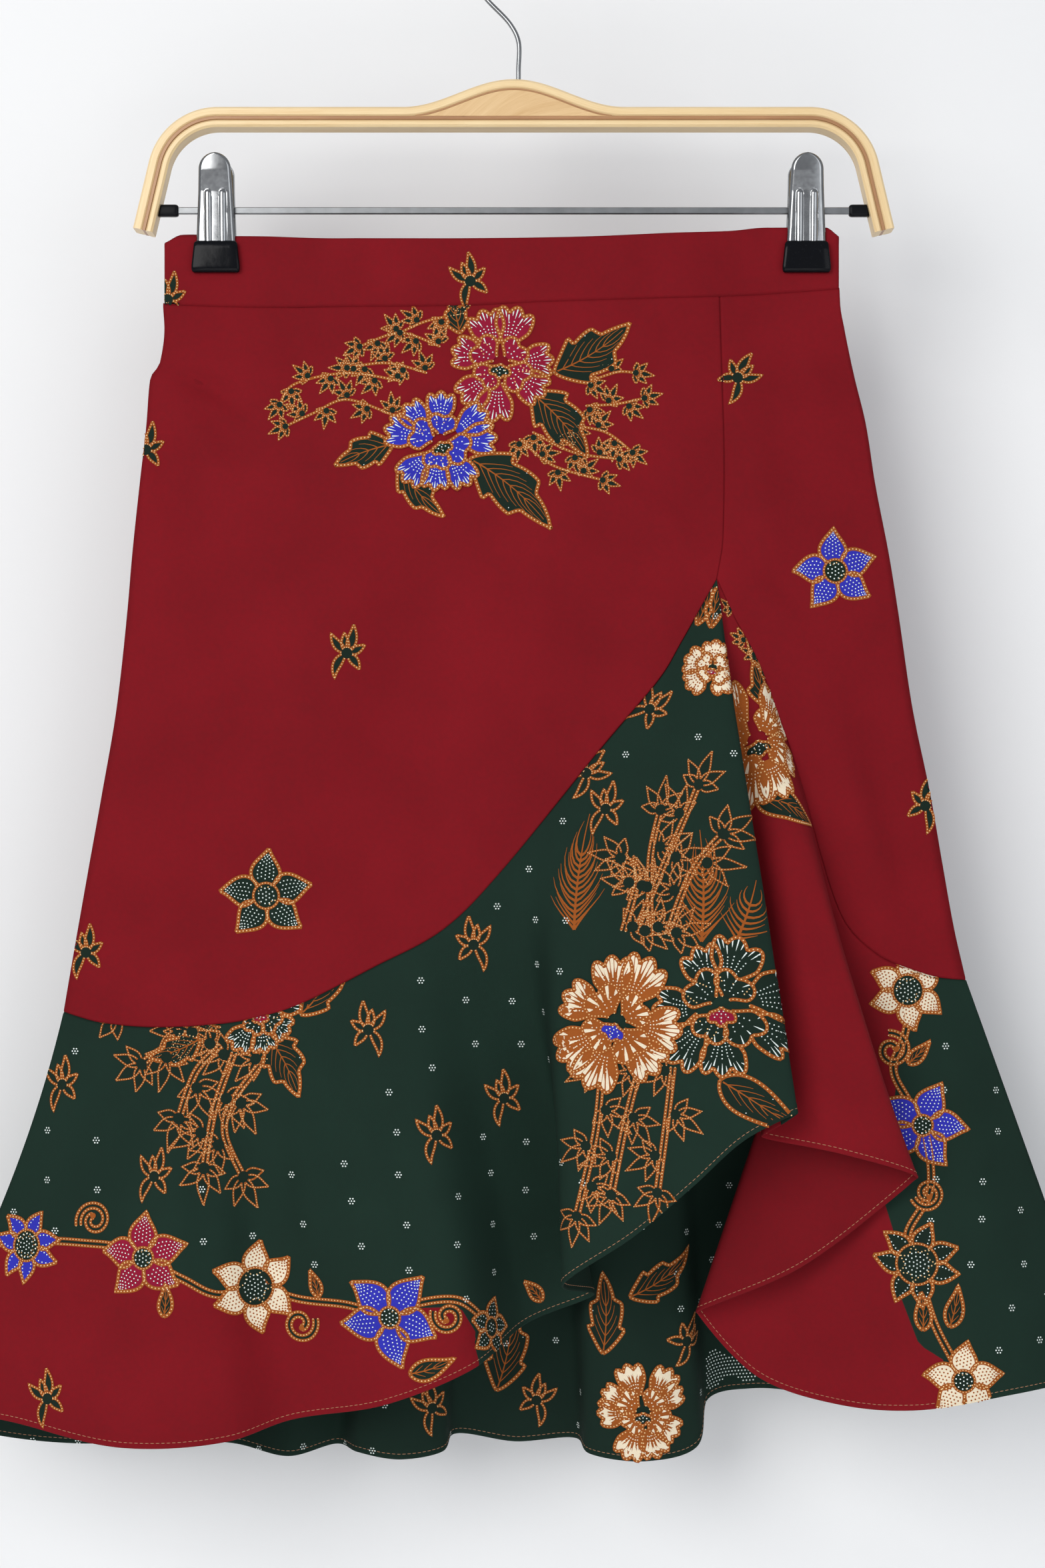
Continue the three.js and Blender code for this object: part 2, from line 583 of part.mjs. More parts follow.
// The wire rises from the hump, swings out to the left and curls over to the right
function hook() {
  const centre = new THREE.Vector3(0, 0, WIRE_RADIUS - HOOK_RADIUS);
  const shankFoot = WOOD_TOP + HUMP_HEIGHT + GLUE_GAP;
  const path = [
    new THREE.Vector3(0, 0, shankFoot),
    new THREE.Vector3(0, 0, SHANK_STRAIGHT),
    new THREE.Vector3(SHANK_BEND.x, 0, SHANK_BEND.z),
  ];
  for (const share of shares(HOOK_STEPS)) {
    const angle = THREE.MathUtils.degToRad(lerp(HOOK_LEAVES, HOOK_TIP, share));
    const spoke = new THREE.Vector3(Math.cos(angle), 0, Math.sin(angle)).multiplyScalar(HOOK_RADIUS);
    path.push(spoke.add(centre));
  }
  const section = new THREE.Shape().absarc(0, 0, WIRE_RADIUS, 0, 2 * Math.PI, false);
  const geometry = new THREE.ExtrudeGeometry(section, {
    steps: WIRE_STEPS,
    curveSegments: 4,
    bevelEnabled: false,
    extrudePath: new THREE.CatmullRomCurve3(path, false, 'centripetal'),
  });
  place('hanger_hook', geometry, 'wire');
}

function bar() {
  const end = CAP_INNER - SEAM_GAP;
  const geometry = new THREE.BoxGeometry(2 * end, BAR_DEPTH, BAR_HEIGHT);
  geometry.translate(HANGER_MIDDLE, 0, BAR_Z);
  place('hanger_bar', geometry, 'steel');
}

// x, from the wood's middle, of the arm's inner face at a height
function armInnerFace(z) {
  const lean = THREE.MathUtils.degToRad(ARM_LEAN);
  return CORNER_AT + (WOOD_TOP - z) * Math.tan(lean) - WOOD_THICKNESS / Math.cos(lean);
}

// A cap closes each end of the bar and bears on the arm's slanting inner face
function barCap(name, side) {
  const top = BAR_Z + CAP_HEIGHT / 2;
  const bottom = BAR_Z - CAP_HEIGHT / 2;
  const corners = [
    [CAP_INNER, bottom],
    [armInnerFace(bottom) - SEAM_GAP, bottom],
    [armInnerFace(top) - SEAM_GAP, top],
    [CAP_INNER, top],
  ];
  const outline = corners.map(([x, z]) => new THREE.Vector2(HANGER_MIDDLE + side * x, z));
  place(name, slab(outline, -CAP_DEPTH / 2, CAP_DEPTH / 2), 'vinyl');
}

function manifoldOf(geometry) {
  const bare = geometry.clone();
  bare.deleteAttribute('normal');
  bare.deleteAttribute('uv');
  const merged = mergeVertices(bare, 1e-4);
  return new wasm.Manifold(new wasm.Mesh({
    numProp: 3,
    vertProperties: merged.attributes.position.array,
    triVerts: new Uint32Array(merged.index.array),
  }));
}

function geometryOf(solid) {
  const mesh = solid.getMesh();
  const geometry = new THREE.BufferGeometry();
  geometry.setAttribute('position', new THREE.BufferAttribute(mesh.vertProperties, 3));
  geometry.setIndex(new THREE.BufferAttribute(mesh.triVerts, 1));
  return geometry;
}

// A clip plate: its bent side profile cut to its round-topped front outline
function clipPlate(name, x, side) {
  const inner = PLATE_PROFILE.map((row) => new THREE.Vector2(row.y, row.z));
  const outer = PLATE_PROFILE.map((row) => new THREE.Vector2(row.y + PLATE, row.z)).reverse();
  const profile = new THREE.ExtrudeGeometry(new THREE.Shape([...inner, ...outer]), {
    depth: 2 * PLATE_BOTTOM_WIDTH,
    bevelEnabled: false,
  });
  const turned = new THREE.Matrix4().makeBasis(
    new THREE.Vector3(0, 1, 0),
    new THREE.Vector3(0, 0, 1),
    new THREE.Vector3(1, 0, 0),
  );
  profile.applyMatrix4(turned);
  profile.translate(-PLATE_BOTTOM_WIDTH, 0, 0);
  const radius = PLATE_TOP_WIDTH / 2;
  const outline = [
    new THREE.Vector2(-PLATE_BOTTOM_WIDTH / 2, PLATE_BOTTOM - PLATE),
    new THREE.Vector2(PLATE_BOTTOM_WIDTH / 2, PLATE_BOTTOM - PLATE),
  ];
  for (const share of shares(ROUND_TOP_STEPS)) {
    const angle = share * Math.PI;
    const height = PLATE_TOP - radius + radius * Math.sin(angle);
    outline.push(new THREE.Vector2(radius * Math.cos(angle), height));
  }
  const blank = slab(outline, 0, PLATE_REACH);
  const geometry = geometryOf(manifoldOf(profile).intersect(manifoldOf(blank)));
  if (side < 0) geometry.rotateZ(Math.PI);
  geometry.translate(x, 0, 0);
  place(name, geometry, 'chrome');
}

// A vinyl tip that presses on the waistband
function clipTip(name, x, side) {
  const shape = new THREE.Shape();
  const top = TIP.topWidth / 2;
  const bottom = TIP.bottomWidth / 2;
  shape.moveTo(-top + TIP.corner, TIP.top);
  shape.lineTo(-bottom, TIP.bottom + TIP.corner);
  shape.quadraticCurveTo(-bottom, TIP.bottom, -bottom + TIP.corner, TIP.bottom);
  shape.lineTo(bottom - TIP.corner, TIP.bottom);
  shape.quadraticCurveTo(bottom, TIP.bottom, bottom, TIP.bottom + TIP.corner);
  shape.lineTo(top - TIP.corner, TIP.top);
  const inner = BAND_CLOTH + SEAM_GAP / 2 + SEAM_GAP;
  const geometry = slab(shape.getPoints(6), inner, TIP.outer);
  if (side < 0) geometry.rotateZ(Math.PI);
  geometry.translate(x, 0, 0);
  place(name, geometry, 'vinyl');
}

// The spring's coil goes round the bar and carries both plates
function clipCoil(name, x) {
  const half = COIL.length / 2;
  const ring = [
    [COIL.inner, -half],
    [COIL.outer, -half],
    [COIL.outer, half],
    [COIL.inner, half],
    [COIL.inner, -half],
  ].map(([radius, height]) => new THREE.Vector2(radius, height));
  const geometry = new THREE.LatheGeometry(ring, COIL_SIDES);
  geometry.rotateZ(Math.PI / 2);
  geometry.translate(x, 0, BAR_Z);
  place(name, geometry, 'steel');
}

waistband('front_waistband', -1);
waistband('back_waistband', 1);
panels();
frontFlounces();
backFlounce();
wood();
hook();
bar();
barCap('bar_cap_left', -1);
barCap('bar_cap_right', 1);
for (const clip of CLIPS) {
  clipPlate(`clip_${clip.name}_front_plate`, clip.x, -1);
  clipPlate(`clip_${clip.name}_back_plate`, clip.x, 1);
  clipTip(`clip_${clip.name}_front_tip`, clip.x, -1);
  clipTip(`clip_${clip.name}_back_tip`, clip.x, 1);
  clipCoil(`clip_${clip.name}_coil`, clip.x);
}

export default skirt;
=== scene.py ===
import logging
import math
from collections.abc import Callable, Sequence
from dataclasses import dataclass, field
from enum import Enum
from functools import partial
from typing import NamedTuple

import bmesh
import bpy
import numpy as np
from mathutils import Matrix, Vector
from mathutils.bvhtree import BVHTree


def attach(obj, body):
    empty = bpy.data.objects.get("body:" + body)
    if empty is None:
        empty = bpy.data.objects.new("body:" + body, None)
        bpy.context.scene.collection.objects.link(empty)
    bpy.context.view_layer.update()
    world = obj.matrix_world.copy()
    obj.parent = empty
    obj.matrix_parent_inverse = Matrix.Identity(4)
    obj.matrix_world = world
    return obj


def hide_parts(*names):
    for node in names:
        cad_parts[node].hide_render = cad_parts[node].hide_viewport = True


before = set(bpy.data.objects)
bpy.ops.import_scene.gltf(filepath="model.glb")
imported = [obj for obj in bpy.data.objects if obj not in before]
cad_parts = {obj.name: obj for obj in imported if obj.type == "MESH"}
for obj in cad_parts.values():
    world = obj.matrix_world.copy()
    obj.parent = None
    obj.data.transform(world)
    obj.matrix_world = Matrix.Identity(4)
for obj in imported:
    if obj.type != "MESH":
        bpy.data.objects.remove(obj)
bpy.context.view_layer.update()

logging.basicConfig(level=logging.INFO, format="%(message)s")
LOG = logging.getLogger("skirt")

Array = np.ndarray
Colour = tuple[float, float, float]
MM = 0.001
BODY = "root"


# Measures, in millimetres


class WaistRow(NamedTuple):
    """The waistband's top edge and lower seam at one place across it."""

    x: float
    top: float
    seam: float


class SideRow(NamedTuple):
    """The side seams and how far the hips stand off the middle at one height."""

    z: float
    left: float
    right: float
    fullness: float


class FoldRow(NamedTuple):
    """One fold of a flounce: its place on the seam, at the hem and part way down."""

    along: float
    x: float
    z: float
    middle: float
    depth: float
    bow: float


WAIST = [
    WaistRow(*row)
    for row in (
        (-185.6, -166.0, -197.7), (-177.0, -162.4, -198.2), (-144.5, -162.4, -199.2),
        (-90.0, -165.5, -200.5), (-40.0, -165.6, -200.2), (20.0, -165.0, -197.8),
        (79.0, -162.7, -196.0), (109.5, -160.6, -194.2), (131.0, -158.0, -192.4),
        (161.0, -157.8, -190.2), (168.0, -162.6, -189.6),
    )
]
SIDES = [
    SideRow(*row)
    for row in (
        (-157, -185.0, 167.6, 5), (-198, -186.5, 168.8, 6), (-211, -185.8, 171.0, 7),
        (-229, -188.2, 174.6, 8), (-237, -193.2, 176.4, 9), (-262, -195.3, 182.4, 10),
        (-291, -198.6, 186.9, 11), (-331, -202.8, 194.6, 12), (-357, -205.0, 198.8, 13),
        (-409, -210.7, 206.5, 14), (-456, -218.7, 216.2, 14), (-491, -225.0, 222.3, 14),
        (-526, -231.2, 228.6, 14), (-553, -235.9, 234.8, 14), (-570, -238.8, 238.6, 14),
    )
]
FRONT_SEAM = ((-195, 105.3), (-237, 106.4), (-284, 107.4), (-320, 106.7), (-343, 103.2))
LEFT_FLOUNCE_SEAM = (
    (-238.7, -569.4), (-219.4, -574.7), (-189.7, -576.8), (-162.0, -575.4), (-136.5, -571.5),
    (-113.4, -564.2), (-75.2, -544.9), (-38.8, -525.0), (-7.3, -493.1), (42.7, -431.5), (72.4, -396.2),
    (84.7, -375.9), (103.2, -343.0),
)
RIGHT_FLOUNCE_SEAM = (
    (103.2, -343.0), (112.7, -363.6), (124.9, -386.7), (136.5, -417.5), (147.3, -449.7),
    (156.4, -482.6), (165.2, -510.6), (173.6, -526.4), (189.0, -539.7), (204.7, -546.3),
    (219.8, -551.0), (234.8, -552.6),
)
FRONT_FOLDS = [
    FoldRow(*row)
    for row in (
        (0, -324.5, -776.4, -0.8, -0.8, 9), (0.045, -267.9, -778.0, -11, -20, 6),
        (0.112, -202.5, -788.3, -24, -36, 2), (0.175, -149.4, -785.8, -24, -34, 0),
        (0.233, -117.8, -778.3, -17, -20, 0), (0.326, -66.7, -766.4, -25, -34, 0),
        (0.418, -23.4, -748.2, -26, -36, 0), (0.49, 4.2, -733.8, -9, 4, 0),
        (0.575, 38.7, -720.6, -6, 8, 0), (0.663, 22.7, -702.6, -31, -46, 0),
        (0.757, 57.6, -677.1, -39, -56, 0), (0.861, 87.4, -651.0, -43, -60, 0),
        (0.945, 113.4, -627.7, -44, -60, 0), (0.987, 139.5, -615.2, -41, -56, 0),
        (1.0, 133.0, -622.0, -32, -47, 0), (1.02, 124.5, -627.6, -27, -43, 0),
        (1.05, 125.5, -630.6, -19, -34, 0), (1.184, 163.1, -637.1, -30, -43, 0),
        (1.42, 202.5, -649.4, -33, -39, 5), (1.465, 202.5, -653.6, -24, -29, 5),
        (1.564, 146.1, -700.3, -15, -17, 0), (1.655, 94.5, -724.5, -11, -9, 0),
        (1.69, 94.5, -728.5, -4, 0, 0), (1.765, 125.6, -761.6, -3, 4, 0),
        (1.818, 164.2, -772.8, -9, -8, 0), (1.882, 203.9, -773.0, -14, -22, 0),
        (1.943, 254.3, -763.7, -14, -26, 0), (2, 308.5, -758.9, -0.8, -0.8, 0),
    )
]
BACK_FOLDS = [
    FoldRow(0, *row)
    for row in (
        (-324.5, -776.6, 0.8, 0.8, 9), (-286.1, -798.8, 17, 30, 6), (-238.5, -808.1, 27, 44, 3),
        (-189.0, -802.3, 22, 30, 0), (-154.3, -805.7, 26, 36, 0), (-122.9, -809.1, 19, 23, 0),
        (-98.0, -806.6, 25, 38, 0), (-86.0, -806.6, 19, 22, 0), (-63.1, -808.8, 16, 16, 0),
        (-40.7, -806.9, 19, 24, 0), (-34.8, -802.6, 29, 43, 0), (-2.0, -809.0, 33, 52, 0),
        (31.0, -805.6, 29, 46, 0), (38.0, -808.3, 18, 25, 0), (66.9, -809.7, 16, 15, 0),
        (95.5, -804.5, 18, 25, 0), (103.0, -783.3, 28, 43, 0), (128.0, -780.1, 32, 52, 0),
        (160.0, -779.6, 26, 38, 0), (188.0, -781.4, 21, 26, 0), (226.0, -781.7, 26, 42, 0),
        (266.0, -776.9, 22, 36, 0), (308.5, -759.2, 0.8, 0.8, 0),
    )
]
FLOUNCE_JOIN = 14  # the fold where the two front ring segments are joined
MIDDLE = 0.4  # share of a flounce's drop at which its middle depth is given
BACK_SEAM_RISE = 22
FAR = 99.0  # stands for well inside the green, and below 0 for well inside the red
PANEL_STAND = 0.75  # half of the wall and the seam gap of the panels
BAND_STAND = 1.05
BAND_BOW = 9
BOW_START, BOW_SPAN = -144.5, 281.3  # from clip to clip
BOW_RAMP = 0.22
BAND_BLEND = 70
HIP_ROUNDNESS = 3


# Curves


def column(rows: Sequence[NamedTuple], key: str, value: str) -> Callable[[Array], Array]:
    """Makes a smooth curve through a table's rows.

    Args:
        rows: The table.
        key: The column that the curve is read at.
        value: The column that it gives.

    Returns:
        A function of the key column, which takes arrays.
    """
    ordered = sorted(rows, key=lambda row: getattr(row, key))
    at = np.array([getattr(row, key) for row in ordered], float)
    out = np.array([getattr(row, value) for row in ordered], float)
    step = np.diff(out) / np.diff(at)
    before, after = step[:-1], step[1:]
    same = before * after > 0
    total = np.where(same, before + after, 1)
    inner = np.where(same, 2 * before * after / total, 0)
    slope = np.concatenate([step[:1], inner, step[-1:]])

    def read(x: Array) -> Array:
        """The value at x.

        Args:
            x: Places in the key column.

        Returns:
            The values.
        """
        inside = np.clip(x, at[0], at[-1])
        i = np.clip(np.searchsorted(at, inside) - 1, 0, len(at) - 2)
        width = at[i + 1] - at[i]
        t = (inside - at[i]) / width
        start = (2 * t**3 - 3 * t**2 + 1) * out[i] + (t**3 - 2 * t**2 + t) * width * slope[i]
        end = (3 * t**2 - 2 * t**3) * out[i + 1] + (t**3 - t**2) * width * slope[i + 1]
        return start + end

    return read


def even_curve(points: Sequence[Sequence[float]]) -> Callable[[Array], Array]:
    """Makes a smooth curve through points, read by its share of the length.

    Args:
        points: The points that it passes through.

    Returns:
        A function of a share from 0 to 1, which takes arrays.
    """
    inner = np.array(points, float)
    padded = np.vstack([inner[:1], inner, inner[-1:]])

    def at(t: Array) -> Array:
        """The curve at steps along its knots.

        Args:
            t: 0 at its first point to 1 at its last.

        Returns:
            The places.
        """
        place = np.clip(t, 0, 1) * (len(inner) - 1)
        i = np.minimum(place.astype(int), len(inner) - 2)
        w = (place - i)[..., None]
        p0, p1, p2, p3 = (padded[i + k] for k in range(4))
        v0, v1 = (p2 - p0) / 2, (p3 - p1) / 2
        cubic = (2 * p1 - 2 * p2 + v0 + v1) * w**3
        return cubic + (-3 * p1 + 3 * p2 - 2 * v0 - v1) * w**2 + v0 * w + p1

    steps = np.linspace(0, 1, 201)
    line = at(steps)
    run = np.concatenate([[0], np.cumsum(np.linalg.norm(np.diff(line, axis=0), axis=1))])

    def read(share: Array) -> Array:
        """The curve's point at a share of its length."""
        return at(np.interp(np.clip(share, 0, 1) * run[-1], run, steps))

    return read


def fold_curve(points: Array) -> Callable[[Array], Array]:
    """Makes the curve of a hem through its folds, with an equal share for each fold.

    Args:
        points: One point for each fold.

    Returns:
        A function of a share from 0 to 1, which takes arrays.
    """
    padded = np.vstack([2 * points[0] - points[1], points, 2 * points[-1] - points[-2]])
    last = len(points) - 2

    def at(share: Array) -> Array:
        """The fold line at a share of its folds.

        Args:
            share: 0 at the first fold to 1 at the last.

        Returns:
            The places.
        """
        place = np.clip(share, 0, 1) * (last + 1)
        i = np.minimum(place.astype(int), last)
        w = (place - i)[..., None]
        p0, p1, p2, p3 = (padded[i + k] for k in range(4))
        d0, d1, d2 = (
            np.sqrt(np.linalg.norm(b - a, axis=-1))[..., None]
            for a, b in ((p0, p1), (p1, p2), (p2, p3))
        )
        t1 = ((p1 - p0) / d0 - (p2 - p0) / (d0 + d1) + (p2 - p1) / d1) * d1
        t2 = ((p2 - p1) / d1 - (p3 - p1) / (d1 + d2) + (p3 - p2) / d2) * d1
        curve = (-3 * p1 + 3 * p2 - 2 * t1 - t2) * w**2 + (2 * p1 - 2 * p2 + t1 + t2) * w**3
        return p1 + t1 * w + curve

    return at


def unit(heading: float) -> Array:
    """A step of length 1 in a direction given in degrees."""
    return np.array([math.cos(math.radians(heading)), math.sin(math.radians(heading))])


def smoothstep(x: Array, low: float, high: float) -> Array:
    """Rises smoothly from 0 at low to 1 at high."""
    t = np.clip((x - low) / (high - low), 0, 1)
    return t * t * (3 - 2 * t)


waist_top = column(WAIST, "x", "top")
waist_seam = column(WAIST, "x", "seam")
left_side = column(SIDES, "z", "left")
right_side = column(SIDES, "z", "right")
fullness = column(SIDES, "z", "fullness")


class SeamRow(NamedTuple):
    """A place on the seam between the two front panels."""

    z: float
    x: float


front_seam = column([SeamRow(*row) for row in FRONT_SEAM], "z", "x")
left_flounce_seam = even_curve(LEFT_FLOUNCE_SEAM)
right_flounce_seam = even_curve(RIGHT_FLOUNCE_SEAM)


def back_flounce_seam(share: Array) -> Array:
    """The back flounce's seam as x and z at a share of its length.

    Args:
        share: 0 at the left end to 1 at the right one.

    Returns:
        The places.
    """
    left, right = LEFT_FLOUNCE_SEAM[0], RIGHT_FLOUNCE_SEAM[-1]
    x = left[0] + (right[0] - left[0]) * share
    z = left[1] + (right[1] - left[1]) * share + BACK_SEAM_RISE * np.sin(np.pi * share)
    return np.stack([x, z], axis=-1)


def band_bow(x: Array) -> Array:
    """How far the waistband stands off the middle between the clips."""
    share = np.clip((x - BOW_START) / BOW_SPAN, 0, 1)
    return BAND_BOW * smoothstep(share, 0, BOW_RAMP) * smoothstep(1 - share, 0, BOW_RAMP)


def panel_depth(x: Array, z: Array) -> Array:
    """How far a panel stands off the middle at x and z.

    Args:
        x: Places across.
        z: Heights.

    Returns:
        The distances in millimetres.
    """
    left, right = left_side(z), right_side(z)
    share = np.clip(2 * (x - left) / (right - left) - 1, -1, 1)
    hips = fullness(z) * (1 - np.abs(share) ** HIP_ROUNDNESS)
    below = smoothstep(waist_seam(x) - z, 0, BAND_BLEND)
    bow = band_bow(x)
    return PANEL_STAND + bow + (hips - bow) * below


# Shader maths


class Sock:
    """Wraps one output socket, so that shader maths reads as an expression."""

    def __init__(self, tree: bpy.types.NodeTree, socket: bpy.types.NodeSocket) -> None:
        """Keeps the tree and the socket."""
        self.tree = tree
        self.socket = socket

    def _math(self, operation: str, *values: "Sock | float") -> "Sock":
        """Adds one Math node and returns its output."""
        return Shader(self.tree).node("ShaderNodeMath", {"operation": operation}, dict(enumerate(values)))

    def __add__(self, other: "Sock | float") -> "Sock":
        """Adds."""
        return self._math("ADD", self, other)

    __radd__ = __add__

    def __mul__(self, other: "Sock | float") -> "Sock":
        """Multiplies."""
        return self._math("MULTIPLY", self, other)

    __rmul__ = __mul__

    def sine(self) -> "Sock":
        """The sine of an angle in radians."""
        return self._math("SINE", self)

    def ramp(self, low: float, high: float) -> "Sock":
        """Goes from 0 at low to 1 at high, and stays between them."""
        values = {"Value": self, "From Min": low, "From Max": high, "To Min": 0.0, "To Max": 1.0}
        return Shader(self.tree).node("ShaderNodeMapRange", {"clamp": True}, values)


class Shader:
    """Adds nodes to a material's tree."""

    def __init__(self, tree: bpy.types.NodeTree) -> None:
        """Keeps the tree."""
        self.tree = tree

    def node(
        self,
        kind: str,
        settings: dict[str, object] | None = None,
        values: dict[str | int, object] | None = None,
        output: str | int = 0,
    ) -> Sock:
        """Adds one node.

        Args:
            kind: The node's type.
            settings: Its properties, set before its sockets. A ramp's stops go under "stops".
            values: Values or links for its input sockets, by name or number.
            output: The output to return.

        Returns:
            The output, wrapped.
        """
        made = self.tree.nodes.new(kind)
        for name, value in (settings or {}).items():
            if name == "stops":
                self._stops(made.color_ramp, value)
            else:
                setattr(made, name, value)
        for name, value in (values or {}).items():
            socket = made.inputs[name]
            if isinstance(value, Sock):
                self.tree.links.new(value.socket, socket)
            else:
                socket.default_value = value
        return Sock(self.tree, made.outputs[output])

    @staticmethod
    def _stops(ramp: bpy.types.ColorRamp, stops: Sequence[tuple[float, Colour]]) -> None:
        """Sets a colour ramp's stops.

        Args:
            ramp: The colour ramp.
            stops: Places with their colours.
        """
        while len(ramp.elements) < len(stops):
            ramp.elements.new(0.5)
        for element, (place, colour) in zip(ramp.elements, stops):
            element.position = place
            element.color = (*colour, 1)

    def blend(self, share: Sock | float, first: Sock | Colour, second: Sock | Colour) -> Sock:
        """Mixes two colours by a share of the second.

        Args:
            share: The share.
            first: One colour.
            second: The other.

        Returns:
            The mix.
        """
        ends = {6: first, 7: second}
        sockets = {k: v if isinstance(v, Sock) else (*v, 1) for k, v in ends.items()}
        return self.node("ShaderNodeMix", {"data_type": "RGBA"}, {0: share, **sockets}, 2)

    def noise(self, vector: Sock, scale: float, detail: float = 3.0) -> Sock:
        """Noise from 0 to 1 over a vector."""
        return self.node("ShaderNodeTexNoise", None, {"Vector": vector, "Scale": scale, "Detail": detail})

    def place(self) -> Sock:
        """Object coordinates, in metres."""
        return self.node("ShaderNodeTexCoord", output="Object")

    def stretched(self, vector: Sock, scale: tuple[float, float, float]) -> Sock:
        """A vector scaled along its axes."""
        return self.node("ShaderNodeMapping", None, {"Vector": vector, "Scale": scale})

    def axes(self, vector: Sock) -> tuple[Sock, Sock, Sock]:
        """A vector's three parts.

        Args:
            vector: The vector.

        Returns:
            Its x, y and z.
        """
        node = self.tree.nodes.new("ShaderNodeSeparateXYZ")
        self.tree.links.new(vector.socket, node.inputs[0])
        return tuple(Sock(self.tree, out) for out in node.outputs)

    def attribute(self, name: str) -> Sock:
        """A number stored on the mesh."""
        return self.node("ShaderNodeAttribute", {"attribute_name": name}, output="Fac")

    def bump(self, height: Sock, strength: float, distance: float) -> Sock:
        """A normal bent by a height."""
        values = {"Strength": strength, "Distance": distance, "Height": height}
        return self.node("ShaderNodeBump", None, values, "Normal")


def srgb(red: int, green: int, blue: int) -> Colour:
    """A colour of the photograph's scale, 0 to 255, as scene-linear values.

    Args:
        red: Red.
        green: Green.
        blue: Blue.

    Returns:
        The colour.
    """

    def linear(value: int) -> float:
        """One channel as a linear value."""
        v = value / 255
        return v / 12.92 if v <= 0.04045 else ((v + 0.055) / 1.055) ** 2.4

    return linear(red), linear(green), linear(blue)


@dataclass(frozen=True)
class Finish:
    """A surface finish, made as one material."""

    name: str

    def surface(self, shader: Shader) -> dict[str, object]:
        """Gives the values and links of the main shader's sockets."""
        raise NotImplementedError

    def material(self) -> bpy.types.Material:
        """Makes the material, or finds it where it is made already.

        Returns:
            The material.
        """
        found = bpy.data.materials.get(self.name)
        if found:
            return found
        made = bpy.data.materials.new(self.name)
        made.use_nodes = True
        tree = made.node_tree
        principled = tree.nodes["Principled BSDF"]
        for name, value in self.surface(Shader(tree)).items():
            if isinstance(value, Sock):
                tree.links.new(value.socket, principled.inputs[name])
            else:
                socket = principled.inputs[name]
                is_colour = socket.type == "RGBA"
                socket.default_value = (*value, 1) if is_colour else value
        return made


RED_GROUND = srgb(117, 14, 24)
GREEN_GROUND = srgb(22, 42, 34)
THREAD_PITCH = 0.00042


def weave_height(shader: Shader) -> Sock:
    """The height of a plain weave over the cloth's own flat coordinates, from 0 to 1.

    Args:
        shader: The nodes of the material.

    Returns:
        The height.
    """
    flat = shader.node("ShaderNodeUVMap", {"uv_map": "flat"})
    slub = shader.noise(shader.stretched(flat, (900.0, 160.0, 1.0)), 1.0, 2.0)
    across, down, _ = shader.axes(flat)
    turn = 2 * math.pi / THREAD_PITCH
    crossing = (across * turn).sine() * (down * turn).sine()
    return crossing * 0.3 + slub * 0.5


@dataclass(frozen=True)
class PrintedCotton(Finish):
    """Fine plain-woven cotton, dyed red with a green border."""

    # Scales the cloth's whole colour; below 1 it paints shade.
    shade: float = 1.0

    def surface(self, shader: Shader) -> dict[str, object]:
        """Red or green by the stored border, with a soft mottle and a fine weave.

        Args:
            shader: The nodes of the material.

        Returns:
            The shader's inputs by name.
        """
        green = shader.attribute("border").ramp(-0.25, 0.25)
        place = shader.place()
        mottle = shader.noise(place, 22.0, 4.0)
        fine = shader.noise(place, 420.0, 2.0)
        share = mottle.ramp(0.3, 0.7) * 0.6 + fine.ramp(0.3, 0.7) * 0.4
        dark, light = 0.86 * self.shade, 1.12 * self.shade
        red = shader.blend(share, *(tuple(c * k for c in RED_GROUND) for k in (dark, light)))
        leaf = shader.blend(share, *(tuple(c * k for c in GREEN_GROUND) for k in (dark, light)))
        return {
            "Base Color": shader.blend(green, red, leaf),
            "Roughness": 0.78 + fine * 0.16,
            "Specular IOR Level": 0.14,
            "Normal": shader.bump(weave_height(shader), 0.35, 0.0001),
        }


@dataclass(frozen=True)
class Wood(Finish):
    """Lacquered bent wood with its grain along the strip."""

    pale: Colour
    deep: Colour
    slant: float = 0.0

    def surface(self, shader: Shader) -> dict[str, object]:
        """Long grain over the strip's own coordinates, under a thin lacquer.

        Args:
            shader: The nodes of the material.

        Returns:
            The shader's inputs by name.
        """
        flat = shader.node("ShaderNodeUVMap", {"uv_map": "flat"})
        turned = shader.node(
            "ShaderNodeMapping", None, {"Vector": flat, "Rotation": (0.0, 0.0, self.slant)}
        )
        broad = shader.noise(shader.stretched(turned, (9.0, 210.0, 1.0)), 1.0, 4.0)
        fine = shader.noise(shader.stretched(turned, (60.0, 1900.0, 1.0)), 1.0, 3.0)
        pore = shader.noise(shader.stretched(turned, (130.0, 2600.0, 1.0)), 1.0, 1.0).ramp(0.62, 0.75)
        tone = broad.ramp(0.3, 0.72) * 0.6 + fine.ramp(0.3, 0.7) * 0.3 + pore * 0.35
        return {
            "Base Color": shader.blend(tone, self.pale, self.deep),
            "Roughness": 0.34 + fine * 0.14,
            "Specular IOR Level": 0.45,
            "Coat Weight": 0.25,
            "Coat Roughness": 0.18,
            "Normal": shader.bump(fine + pore * -1.0, 0.12, 0.0002),
        }


